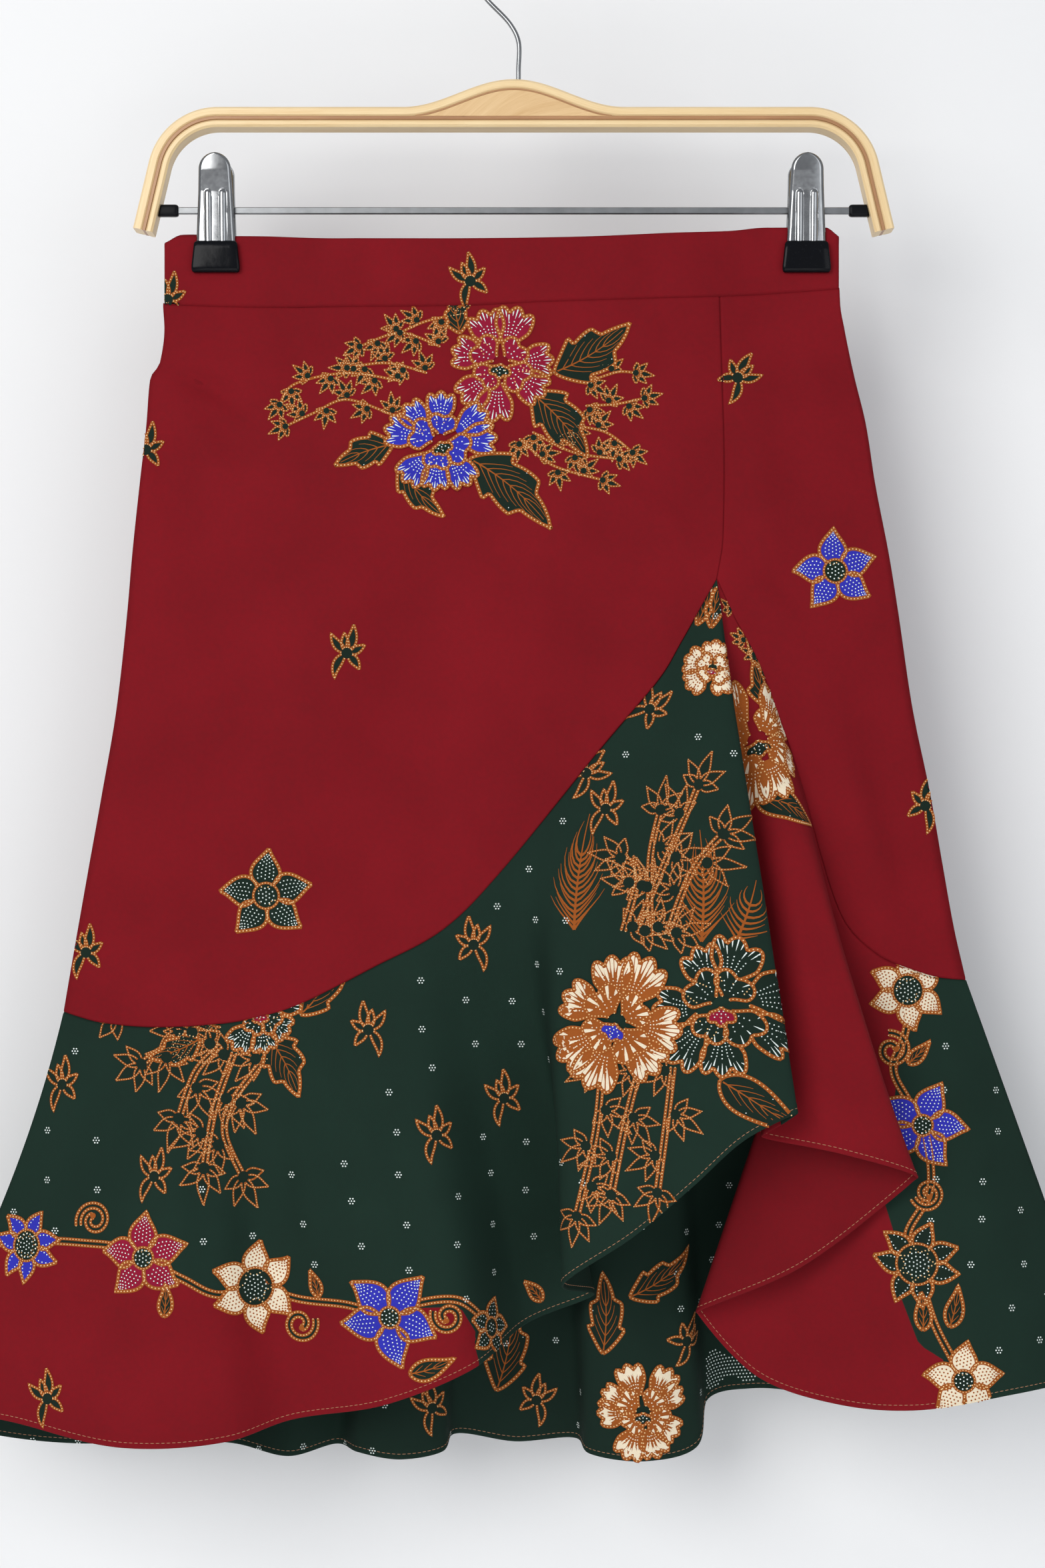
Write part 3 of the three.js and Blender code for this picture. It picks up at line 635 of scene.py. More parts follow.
@dataclass(frozen=True)
class Metal(Finish):
    """Plated or drawn metal with fine rubbing marks."""

    tint: Colour
    gloss: float
    grain: tuple[float, float, float] = (90.0, 90.0, 90.0)

    def surface(self, shader: Shader) -> dict[str, object]:
        """Metal with a slightly uneven polish.

        Args:
            shader: The nodes of the material.

        Returns:
            The shader's inputs by name.
        """
        place = shader.stretched(shader.place(), self.grain)
        marks = shader.noise(place, 6.0, 4.0)
        cloud = shader.noise(shader.place(), 120.0, 3.0)
        worn = tuple(c * 0.78 for c in self.tint)
        return {
            "Base Color": shader.blend(cloud.ramp(0.35, 0.75), self.tint, worn),
            "Metallic": 1.0,
            "Roughness": self.gloss + marks * 0.16,
            "Normal": shader.bump(marks, 0.05, 0.0001),
        }


@dataclass(frozen=True)
class Vinyl(Finish):
    """Black dipped vinyl or moulded plastic."""

    gloss: float = 0.1

    def surface(self, shader: Shader) -> dict[str, object]:
        """Glossy black with soft waves left by the dipping.

        Args:
            shader: The nodes of the material.

        Returns:
            The shader's inputs by name.
        """
        waves = shader.noise(shader.place(), 160.0, 2.0)
        dust = shader.noise(shader.place(), 1500.0, 3.0).ramp(0.66, 0.8)
        return {
            "Base Color": shader.blend(dust, (0.004, 0.0045, 0.006), (0.03, 0.032, 0.036)),
            "Roughness": self.gloss + waves * 0.08,
            "Specular IOR Level": 0.1,
            "Normal": shader.bump(waves, 0.12, 0.0006),
        }


@dataclass(frozen=True)
class Thread(Finish):
    """Spun sewing thread."""

    tint: Colour

    def surface(self, shader: Shader) -> dict[str, object]:
        """Twisted plies, a little uneven in colour.

        Args:
            shader: The nodes of the material.

        Returns:
            The shader's inputs by name.
        """
        place = shader.place()
        twist = shader.noise(place, 2600.0, 2.0)
        deep = tuple(c * 0.6 for c in self.tint)
        return {
            "Base Color": shader.blend(twist, deep, self.tint),
            "Roughness": 0.75 + twist * 0.1,
            "Normal": shader.bump(twist, 0.3, 0.0001),
        }


@dataclass(frozen=True)
class Plaster(Finish):
    """The pale painted wall and floor."""

    tint: Colour

    def surface(self, shader: Shader) -> dict[str, object]:
        """Matt paint with a faint roller texture.

        Args:
            shader: The nodes of the material.

        Returns:
            The shader's inputs by name.
        """
        place = shader.place()
        cloud = shader.noise(place, 3.0, 3.0)
        pale = tuple(c * 0.96 for c in self.tint)
        return {
            "Base Color": shader.blend(cloud, self.tint, pale),
            "Roughness": 0.9,
            "Normal": shader.bump(shader.noise(place, 260.0, 3.0), 0.08, 0.0004),
        }


RIGHT_SIDE = PrintedCotton("printed_cotton")
# The inner faces get the same cloth at 0.86 of its colour: painted shade for the skirt's inside.
WRONG_SIDE_PAINTED_SHADE = PrintedCotton("printed_cotton_inside", 0.86)
TOP_STITCH = Thread("top_stitch_thread", srgb(190, 138, 104))
HONEY_WOOD = Wood("honey_wood", srgb(236, 213, 168), srgb(216, 181, 127))
LENS_WOOD = Wood("lens_wood", srgb(226, 194, 146), srgb(200, 160, 108), 0.5)
VENEER = Wood("dark_veneer", srgb(180, 134, 92), srgb(142, 98, 62))
HOOK_METAL = Metal("hook_metal", (0.3, 0.31, 0.32), 0.16)
BAR_METAL = Metal("bar_metal", (0.25, 0.26, 0.27), 0.26, (20.0, 200.0, 400.0))
CLIP_METAL = Metal("clip_metal", (0.33, 0.34, 0.35), 0.1)
TIP_VINYL = Vinyl("tip_vinyl")
CAP_PLASTIC = Vinyl("cap_plastic", 0.28)
WALL_PAINT = Plaster("wall_paint", srgb(238, 239, 240))


# Meshes


def add_object(name: str, mesh: bpy.types.Mesh, *finishes: Finish) -> bpy.types.Object:
    """Puts a mesh in the scene with its materials.

    Args:
        name: Its name.
        mesh: Its mesh.
        finishes: Its finishes, by slot.

    Returns:
        The object.
    """
    for finish in finishes:
        mesh.materials.append(finish.material())
    made = bpy.data.objects.new(name, mesh)
    bpy.context.scene.collection.objects.link(made)
    return made


def mesh_from(
    name: str,
    points: Array,
    faces: Sequence[Sequence[int]],
    uv: Array | None = None,
    smooth: Array | bool = True,
    material: Array | None = None,
) -> bpy.types.Mesh:
    """Makes a mesh.

    Args:
        name: The mesh's name.
        points: Its points, in millimetres.
        faces: The point numbers of each face.
        uv: Flat coordinates of each point, in metres.
        smooth: Whether each face, or every face, is shaded smooth.
        material: The material number of each face.

    Returns:
        The mesh, in metres.
    """
    mesh = bpy.data.meshes.new(name)
    mesh.from_pydata((np.asarray(points, float) * MM).tolist(), [], [list(map(int, f)) for f in faces])
    count = len(mesh.polygons)
    shades = np.full(count, smooth) if isinstance(smooth, bool) else smooth
    mesh.polygons.foreach_set("use_smooth", np.asarray(shades, bool))
    if material is not None:
        mesh.polygons.foreach_set("material_index", np.asarray(material, np.int32))
    if uv is not None:
        layer = mesh.uv_layers.new(name="flat")
        corner = np.empty(len(mesh.loops), np.int32)
        mesh.loops.foreach_get("vertex_index", corner)
        layer.data.foreach_set("uv", np.asarray(uv, np.float32)[corner].ravel())
    mesh.update()
    return mesh


def grid_normals(points: Array) -> Array:
    """Unit normals of a grid of points, square to its rows and columns.

    Args:
        points: Its points.

    Returns:
        The normals.
    """
    across = np.gradient(points, axis=1)
    down = np.gradient(points, axis=0)
    out = np.cross(down, across)
    return out / np.maximum(np.linalg.norm(out, axis=-1, keepdims=True), 1e-9)


def lengths_along(points: Array, axis: int) -> Array:
    """The run of length along the rows (axis 1) or columns (axis 0) of a grid.

    Args:
        points: Its points.
        axis: Which way to run.

    Returns:
        The lengths from the first point.
    """
    steps = np.linalg.norm(np.diff(points, axis=axis), axis=-1)
    start = np.zeros_like(np.take(steps, [0], axis=axis))
    return np.concatenate([start, np.cumsum(steps, axis=axis)], axis=axis)


def grid_faces(rows: int, columns: int) -> Array:
    """The four-sided faces between the points of a grid.

    Args:
        rows: How many rows of points it has.
        columns: How many points a row has.

    Returns:
        The point numbers of each face.
    """
    at = np.arange(rows * columns).reshape(rows, columns)
    return np.stack([at[:-1, :-1], at[1:, :-1], at[1:, 1:], at[:-1, 1:]], -1).reshape(-1, 4)


class Sheet:
    """A cloth wall about a mid-surface that is a grid of points, in millimetres."""

    def __init__(self, points: Array, half: Array, outward: float = 1.0) -> None:
        """Keeps the mid-surface, its normals, and its flat coordinates.

        Args:
            points: Rows of points, from the top down and from left to right.
            half: Half the wall's thickness, for each row or each point.
            outward: 1 if down cross across points out of the garment, and otherwise -1.
        """
        self.points = points
        self.normals = grid_normals(points) * outward
        half = half if np.ndim(half) == 2 else np.reshape(half, (-1, 1))
        self.half = np.broadcast_to(half, points.shape[:2])
        self.outward = outward
        self.across = lengths_along(points, 1)
        self.down = lengths_along(points, 0)
        self.border = np.full(points.shape[:2], -FAR)

    def area(self) -> float:
        """The mid-surface's area in square metres.

        Returns:
            The area.
        """
        p = self.points
        one = np.cross(p[1:, :-1] - p[:-1, :-1], p[:-1, 1:] - p[:-1, :-1])
        two = np.cross(p[1:, :-1] - p[1:, 1:], p[:-1, 1:] - p[1:, 1:])
        return float((np.linalg.norm(one, axis=-1) + np.linalg.norm(two, axis=-1)).sum() / 2e6)

    def build(self, name: str) -> bpy.types.Object:
        """Makes the closed wall, its outer face printed and its inner face in a darker copy of the cloth,
        which is painted shade.

        Args:
            name: Its name.

        Returns:
            The wall.
        """
        rows, columns = self.points.shape[:2]
        lift = self.normals * self.half[..., None]
        both = np.concatenate([(self.points + lift).reshape(-1, 3), (self.points - lift).reshape(-1, 3)])
        at = np.arange(rows * columns).reshape(rows, columns)
        outer = grid_faces(rows, columns)
        inner = outer[:, ::-1] + rows * columns
        loop = np.concatenate([at[0, :-1], at[:-1, -1], at[-1, :0:-1], at[:0:-1, 0]])
        after = np.roll(loop, -1)
        rim = np.stack([loop, after, after + rows * columns, loop + rows * columns], -1)
        if self.outward < 0:
            outer, inner, rim = outer[:, ::-1], inner[:, ::-1], rim[:, ::-1]
        faces = np.concatenate([outer, inner, rim])
        smooth = np.concatenate([np.ones(len(outer) + len(inner), bool), np.zeros(len(rim), bool)])
        side = np.concatenate([np.zeros(len(outer), int), np.ones(len(inner), int), np.zeros(len(rim), int)])
        flat = np.stack([self.across, self.down], -1).reshape(-1, 2) * MM
        mesh = mesh_from(name, both, faces, np.concatenate([flat, flat]), smooth, side)
        stored = mesh.attributes.new("border", "FLOAT", "POINT")
        stored.data.foreach_set("value", np.tile(self.border.ravel(), 2).astype(np.float32))
        return add_object(name, mesh, RIGHT_SIDE, WRONG_SIDE_PAINTED_SHADE)


def tube(path: Array, radius: float, sides: int = 14) -> tuple[Array, Array, Array]:
    """A round tube along a path.

    Args:
        path: Its middle line, in millimetres.
        radius: Its radius in millimetres.
        sides: The faces round it.

    Returns:
        Its points, faces and flat coordinates. Its ends are closed with rounded caps.
    """
    tangent = np.gradient(path, axis=0)
    tangent /= np.linalg.norm(tangent, axis=1, keepdims=True)
    frame_side = np.cross(tangent[0], (0.0, 1.0, 0.0))
    if np.linalg.norm(frame_side) < 0.2:
        frame_side = np.cross(tangent[0], (1.0, 0.0, 0.0))
    sides_at = []
    for t in tangent:
        frame_side = frame_side - t * frame_side.dot(t)
        frame_side /= np.linalg.norm(frame_side)
        sides_at.append(frame_side)
    side = np.array(sides_at)
    other = np.cross(tangent, side)
    caps = ((-0.5, 0.87), (-0.87, 0.5))
    centre = [path[0] + tangent[0] * radius * k for k, _ in reversed(caps)]
    scale = [s for _, s in reversed(caps)]
    index = [0, 0] + list(range(len(path))) + [len(path) - 1] * 2
    centres = centre + list(path) + [path[-1] - tangent[-1] * radius * k for k, _ in caps]
    scales = scale + [1.0] * len(path) + [s for _, s in caps]
    angle = np.linspace(0, 2 * np.pi, sides, endpoint=False)
    ring = [
        c + radius * s * (np.outer(np.cos(angle), side[i]) + np.outer(np.sin(angle), other[i]))
        for c, s, i in zip(centres, scales, index)
    ]
    points = np.concatenate(ring)
    count = len(ring)
    at = np.arange(count * sides).reshape(count, sides)
    turn = np.roll(at, -1, axis=1)
    quads = np.stack([at[:-1], turn[:-1], turn[1:], at[1:]], -1).reshape(-1, 4).tolist()
    quads += [at[0][::-1].tolist(), at[-1].tolist()]
    run = np.repeat(lengths_along(np.array(centres)[None], 1)[0], sides)
    around = np.tile(angle * radius, count)
    return points, quads, np.stack([run, around], -1) * MM


def prism(stations: Array) -> tuple[Array, list[list[int]], Array]:
    """A solid swept through sections, closed at both ends.

    Args:
        stations: One ring of points for each section, in the same order round.

    Returns:
        Its points, faces and flat coordinates, run first and distance round second.
    """
    count, sides = stations.shape[:2]
    at = np.arange(count * sides).reshape(count, sides)
    turn = np.roll(at, -1, axis=1)
    quads = np.stack([at[:-1], at[1:], turn[1:], turn[:-1]], -1).reshape(-1, 4).tolist()
    quads += [at[0].tolist(), at[-1][::-1].tolist()]
    run = lengths_along(stations.mean(axis=1)[None], 1)[0]
    around = lengths_along(stations, 1)
    flat = np.stack([np.repeat(run, sides), around.ravel()], -1)
    return stations.reshape(-1, 3), quads, flat * MM


def outward_faces(made: bpy.types.Object) -> bpy.types.Object:
    """Turns a closed mesh's faces to point out of it.

    Args:
        made: The mesh.

    Returns:
        The same mesh.
    """
    work = bmesh.new()
    work.from_mesh(made.data)
    bmesh.ops.recalc_face_normals(work, faces=work.faces)
    work.to_mesh(made.data)
    work.free()
    return made


def closed_solid(
    name: str, shape: tuple[Array, list[list[int]], Array], finish: Finish, smooth: bool = True
) -> bpy.types.Object:
    """Makes a closed solid from a tube or a prism.

    Args:
        name: Its name.
        shape: Its points, faces and flat coordinates.
        finish: Its finish.
        smooth: Whether it is shaded smooth.

    Returns:
        The solid, with its faces turned outwards.
    """
    points, faces, flat = shape
    return outward_faces(add_object(name, mesh_from(name, points, faces, flat, smooth), finish))


def rounded_ring(half: tuple[float, float], power: tuple[float, float], count: int) -> Array:
    """A rectangle with round corners about its middle.

    Args:
        half: Half of its width and of its height.
        power: How square each way is, from 1 for an ellipse towards 0 for a rectangle.
        count: How many points it has.

    Returns:
        Its points, as a width and a height each.
    """
    ring = []
    for k in range(count):
        angle = 2 * math.pi * k / count
        turns = (math.cos(angle), math.sin(angle))
        ring.append([h * math.copysign(abs(c) ** e, c) for h, c, e in zip(half, turns, power)])
    return np.array(ring)


def apply_modifiers(made: bpy.types.Object) -> bpy.types.Object:
    """Turns an object's modifiers into plain mesh.

    Args:
        made: The object.

    Returns:
        The same object.
    """
    bpy.context.view_layer.update()
    evaluated = made.evaluated_get(bpy.context.evaluated_depsgraph_get())
    plain = bpy.data.meshes.new_from_object(evaluated)
    old = made.data
    made.modifiers.clear()
    made.data = plain
    bpy.data.meshes.remove(old)
    plain.name = made.name
    return made


def ride(made: bpy.types.Object, slot: str, *nodes: str) -> bpy.types.Object:
    """Puts a piece on the garment's one body, and hides the imported nodes that it stands for.

    Args:
        made: The object.
        slot: The slot of its finish. It is not used.
        nodes: The nodes it stands for.

    Returns:
        The same object.
    """
    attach(made, BODY)
    if nodes:
        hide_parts(*nodes)
    LOG.info("%s: %d faces", made.name, len(made.data.polygons))
    return made


# Camera and studio


@dataclass
class Studio:
    """The camera at the photograph's angle, and a pale wall and floor under soft light."""

    camera_at: tuple[float, float, float] = (0.0021, -1.25, -0.44975)
    lens: float = 54.665
    wall_y: float = 0.11
    floor_z: float = -1.35
    reach: float = 2.2
    sweep: float = 0.35

    def camera(self) -> None:
        """Makes the camera, level and square to the wall."""
        data = bpy.data.cameras.new("camera")
        data.lens = self.lens
        data.sensor_width = 36.0
        data.clip_start = 0.01
        made = bpy.data.objects.new("camera", data)
        made.location = self.camera_at
        made.rotation_euler = (math.pi / 2, 0, 0)
        bpy.context.scene.collection.objects.link(made)
        bpy.context.scene.camera = made

    def backdrop(self) -> None:
        """Makes the wall that sweeps into the floor, seen from its front only."""
        turn = np.linspace(0, np.pi / 2, 13)
        curve_y = self.wall_y - self.sweep + self.sweep * np.cos(turn)
        curve_z = self.floor_z + self.sweep - self.sweep * np.sin(turn)
        side_y = np.concatenate([[self.wall_y], curve_y, [self.wall_y - 3.2]])
        side_z = np.concatenate([[1.4], curve_z, [self.floor_z]])
        xs = np.linspace(-self.reach, self.reach, 9)
        grid = np.stack(np.broadcast_arrays(xs[None], side_y[:, None], side_z[:, None]), -1)
        faces = grid_faces(*grid.shape[:2])
        made = add_object("backdrop", mesh_from("backdrop", grid.reshape(-1, 3) / MM, faces), WALL_PAINT)
        tree = made.data.materials[0].node_tree
        shader = Shader(tree)
        behind = shader.node("ShaderNodeNewGeometry", output="Backfacing")
        clear = shader.node("ShaderNodeBsdfTransparent")
        front = Sock(tree, tree.nodes["Principled BSDF"].outputs[0])
        seen = shader.node("ShaderNodeMixShader", None, {0: behind, 1: front, 2: clear})
        tree.links.new(seen.socket, tree.nodes["Material Output"].inputs["Surface"])

    def light(
        self, name: str, at: tuple[float, float, float], size: float, power: float, tint: Colour
    ) -> None:
        """Adds a square soft light aimed at the skirt.

        Args:
            name: Its name.
            at: Where it stands, in metres.
            size: Its width.
            power: Its power in watts.
            tint: Its colour.
        """
        data = bpy.data.lights.new(name, "AREA")
        data.size = size
        data.energy = power
        data.color = tint
        made = bpy.data.objects.new(name, data)
        made.location = at
        aim = Vector((0.0, 0.0, -0.45)) - Vector(at)
        made.rotation_euler = aim.to_track_quat("-Z", "Y").to_euler()
        bpy.context.scene.collection.objects.link(made)

    def build(self) -> None:
        """Makes the camera, the wall and floor, and the lights."""
        self.camera()
        self.backdrop()
        self.light("key", (-0.98, -1.8, 0.22), 1.2, 26.0, (1.0, 0.985, 0.96))
        self.light("fill", (1.2, -1.7, -0.2), 1.3, 8.0, (0.96, 0.98, 1.0))
        self.light("low", (0.0, -1.6, -1.15), 1.0, 5.5, (1.0, 0.99, 0.98))
        world = bpy.data.worlds.new("studio")
        world.use_nodes = True
        background = world.node_tree.nodes["Background"]
        background.inputs["Color"].default_value = (0.93, 0.95, 1.0, 1)
        background.inputs["Strength"].default_value = 0.42
        bpy.context.scene.world = world
        bpy.context.scene.view_settings.view_transform = "Standard"


# Cloth


@dataclass(frozen=True)
class Crease:
    """A soft ridge, or a trough where its lift is below 0, between two places of a piece."""

    start: tuple[float, float]
    end: tuple[float, float]
    width: float
    lift: float
    bend: float = 0.0

    def path(self) -> Array:
        """The crease's line in the piece's own coordinates.

        Returns:
            Its points.
        """
        share = np.linspace(0, 1, 13)[:, None]
        start, end = np.array(self.start), np.array(self.end)
        side = np.array([start[1] - end[1], end[0] - start[0]])
        return start + (end - start) * share + side * self.bend * np.sin(np.pi * share)

    def lift_at(self, points: Array, path: Array) -> Array:
        """How far it lifts each point.

        Args:
            points: Places on the surface, in millimetres.
            path: The crease's line on the surface, in millimetres.

        Returns:
            The lift of each point, in millimetres.
        """
        flat = points.reshape(-1, 3)
        nearest = np.full(len(flat), 1e9)
        along = np.zeros(len(flat))
        for k in range(len(path) - 1):
            run = path[k + 1] - path[k]
            t = np.clip((flat - path[k]) @ run / max(run @ run, 1e-9), 0, 1)
            gap = np.linalg.norm(flat - path[k] - t[:, None] * run, axis=1)
            closer = gap < nearest
            nearest = np.where(closer, gap, nearest)
            along = np.where(closer, (k + t) / (len(path) - 1), along)
        profile = np.exp(-((nearest / self.width) ** 2))
        taper = np.sin(np.pi * np.clip(along, 0.02, 0.98)) ** 0.8
        return (self.lift * profile * taper).reshape(points.shape[:2])


def ripple(points: Array, size: float, seed: int) -> Array:
    """Low uneven waves over a surface.

    Args:
        points: Places on the surface, in millimetres.
        size: The waves' height in millimetres.
        seed: The number that fixes the waves.

    Returns:
        The height at each place, in millimetres.
    """
    draw = np.random.default_rng(seed)
    total = np.zeros(points.shape[:2])
    for length in (130.0, 85.0, 58.0, 40.0):
        heading = draw.normal(size=3) * (1.0, 0.6, 0.35)
        heading /= np.linalg.norm(heading)
        phase = draw.uniform(0, 2 * np.pi)
        total += np.sin(points @ heading * 2 * np.pi / length + phase) * length / 130.0
    return total * size / 2.4


def seam_steps(count: int, length: float, start: bool, end: bool) -> Array:
    """Shares across a piece, with closer ones at an edge that is sewn or hemmed.

    Args:
        count: The number of even steps.
        length: About how long the piece is that way, in millimetres.
        start: Whether the first edge is sewn or hemmed.
        end: Whether the last one is.

    Returns:
        The shares, from 0 to 1.
    """
    even = np.linspace(0, 1, count + 1)
    near = np.array([0.0, 0.25, 0.6, 1.0, 1.5, 2.4, 3.4, 4.6, 5.6]) / length
    keep = even[(even > near[-1] * 1.25 * start) & (even < 1 - near[-1] * 1.25 * end)]
    first = near if start else np.array([0.0])
    last = 1 - near[::-1] if end else np.array([1.0])
    return np.unique(np.concatenate([first, keep, last]))


def tucked(
    points: Array, normals: Array, edges: Sequence[str], depth: float = 1.3, run: float = 1.3
) -> Array:
    """Turns a piece's sewn edges inwards, as a seam does.

    Args:
        points: The mid-surface as a grid.
        normals: Its outward normals.
        edges: Which of top, bottom, left and right are sewn.
        depth: How far the edge turns in, in millimetres.
        run: The distance over which it turns.

    Returns:
        The changed mid-surface.
    """
    down = lengths_along(points, 0)
    across = lengths_along(points, 1)
    gaps = {
        "top": down,
        "bottom": down[-1:] - down,
        "left": across,
        "right": across[:, -1:] - across,
    }
    moved = points.copy()
    for edge in edges:
        share = np.clip(1 - gaps[edge] / run, 0, 1)
        moved -= normals * (depth * share**2)[..., None]
    return moved


class Piece:
    """One cut piece of the skirt."""

    name = ""
    slot = "red_cloth"
    sewn: tuple[str, ...] = ()
    half_thickness = 0.35
    wave = 0.5
    seed = 1
    creases: tuple[Crease, ...] = ()

    def at(self, a: Array, b: Array) -> Array:
        """The mid-surface in the piece's own coordinates, in millimetres."""
        raise NotImplementedError

    def fade(self, points: Array) -> Array:
        """How much of the creases a place has: none at the side seams."""
        return smoothstep(np.abs(points[..., 1]), 0.9, 2.6)

    def relief(self, points: Array) -> Array:
        """The height of the waves and creases at each place, in millimetres.

        Args:
            points: The places.

        Returns:
            The heights.
        """
        total = ripple(points, self.wave, self.seed)
        for crease in self.creases:
            path = crease.path()
            total = total + crease.lift_at(points, self.at(path[:, 0], path[:, 1]))
        return total * self.fade(points)


class BandPiece(Piece):
    """A waistband, read at x and z."""

    half_thickness = 0.85
    wave = 0.35
    sewn = ("bottom",)
    columns, rows, drop = 181, 14, 35
    lap_at, lap_run = -172, 14  # the place of the raised end, and how soon it fades

    def __init__(self, name: str, side: float, rise: float, seed: int, creases: Sequence[Crease]) -> None:
        """Keeps which face of the garment it is on, and how far its top stands up.

        Args:
            name: Its name.
            side: -1 in front, 1 behind.
            rise: How far its top stands up.
            seed: The seed of its waves.
            creases: Its creases.
        """
        self.name, self.side, self.rise, self.seed = name, side, rise, seed
        self.creases = tuple(creases)
        self.ends = (WAIST[0].x, WAIST[-1].x)

    def at(self, a: Array, b: Array) -> Array:
        """The band's middle at x and z."""
        stand = BAND_STAND + band_bow(np.asarray(a, float))
        return np.stack([a, self.side * stand, b], axis=-1)

    def sheet(self) -> Sheet:
        """The band as a wall, rounded at its folded top.

        Returns:
            The wall.
        """
        u = np.linspace(0, 1, self.columns)
        v = seam_steps(self.rows, self.drop, True, True)
        x = self.ends[0] + (self.ends[1] - self.ends[0]) * u
        top = waist_top(x) + self.rise * np.exp(-(((x - self.lap_at) / self.lap_run) ** 2))
        seam = waist_seam(x)
        z = top + (seam - top) * v[:, None]
        points = self.at(np.broadcast_to(x, z.shape), z)
        normals = grid_normals(points) * -self.side
        gap = z - seam
        pillow = 0.25 * smoothstep(gap, 0, 4) * smoothstep(top - z, 0, 3)
        points = points + normals * (self.relief(points) + pillow)[..., None]
        points = tucked(points, normals, self.sewn)
        fold = np.sqrt(np.clip((v * self.drop + 0.12) / 1.1, 0, 1))
        return Sheet(points, (self.half_thickness * fold)[:, None], -self.side)


class PanelPiece(Piece):
    """A panel, read at x and z, spread between four edges."""

    wave = 0.55
    rows, drop = 120, 390

    def __init__(
        self,
        name: str,
        side: float,
        span: tuple[Callable[[Array], Array], Callable[[Array], Array]],
        corners: tuple[float, float, float, float],
        hem: Callable[[Array], Array],
        sewn: Sequence[str],
        columns: int,
        seed: int,
        creases: Sequence[Crease],
    ) -> None:
        """Keeps the panel's edges.

        Args:
            name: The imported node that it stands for.
            side: -1 in front and 1 at the back.
            span: Its left and right edges, x at z.
            corners: x of the top left and right corners, and z of the bottom left and right ones.
            hem: Its bottom edge as x and z at a share.
            sewn: Its edges that turn in.
            columns: How many steps across it takes.
            seed: The number that fixes its waves.
            creases: Its creases.
        """
        self.name, self.side, self.seed = name, side, seed
        self.span, self.corners, self.hem = span, corners, hem
        self.sewn, self.columns = tuple(sewn), columns
        self.creases = tuple(creases)

    def at(self, a: Array, b: Array) -> Array:
        """The panel's middle at x and z."""
        a, b = np.asarray(a, float), np.asarray(b, float)
        return np.stack([a, self.side * panel_depth(a, b), b], axis=-1)

    def sheet(self) -> Sheet:
        """The panel as a wall between its four edges.

        Returns:
            The wall.
        """
        left_x, right_x, left_z, right_z = self.corners
        width = right_x - left_x
        u = seam_steps(self.columns, width, "left" in self.sewn, "right" in self.sewn)[None, :, None]
        v = seam_steps(self.rows, self.drop, True, True)[:, None, None]
        x = left_x + width * u[..., 0]
        top = np.stack([x, waist_seam(x)], -1)
        bottom = self.hem(u[..., 0])
        rows = v[..., 0]
        z_left = top[0, 0, 1] + (left_z - top[0, 0, 1]) * rows
        z_right = top[0, -1, 1] + (right_z - top[0, -1, 1]) * rows
        left = np.stack([self.span[0](z_left), z_left], -1)
        right = np.stack([self.span[1](z_right), z_right], -1)
        flat = top * (1 - v) + bottom * v + left * (1 - u) + right * u
        flat = flat - top[:, :1] * (1 - u) * (1 - v) - top[:, -1:] * u * (1 - v)
        flat = flat - bottom[:, :1] * (1 - u) * v - bottom[:, -1:] * u * v
        points = self.at(flat[..., 0], flat[..., 1])
        normals = grid_normals(points) * -self.side
        points = points + normals * self.relief(points)[..., None]
        points = tucked(points, normals, self.sewn)
        return Sheet(points, np.full((len(points), 1), self.half_thickness), -self.side)


HEM_TURN = (4.4, 5.0)  # the turned cloth of a hem ends between these heights
HEM_EXTRA = 0.22  # and adds this much to each face
STITCH_UP = 2.9  # the hem's stitches stand this far up
STITCH_DENT = 0.14


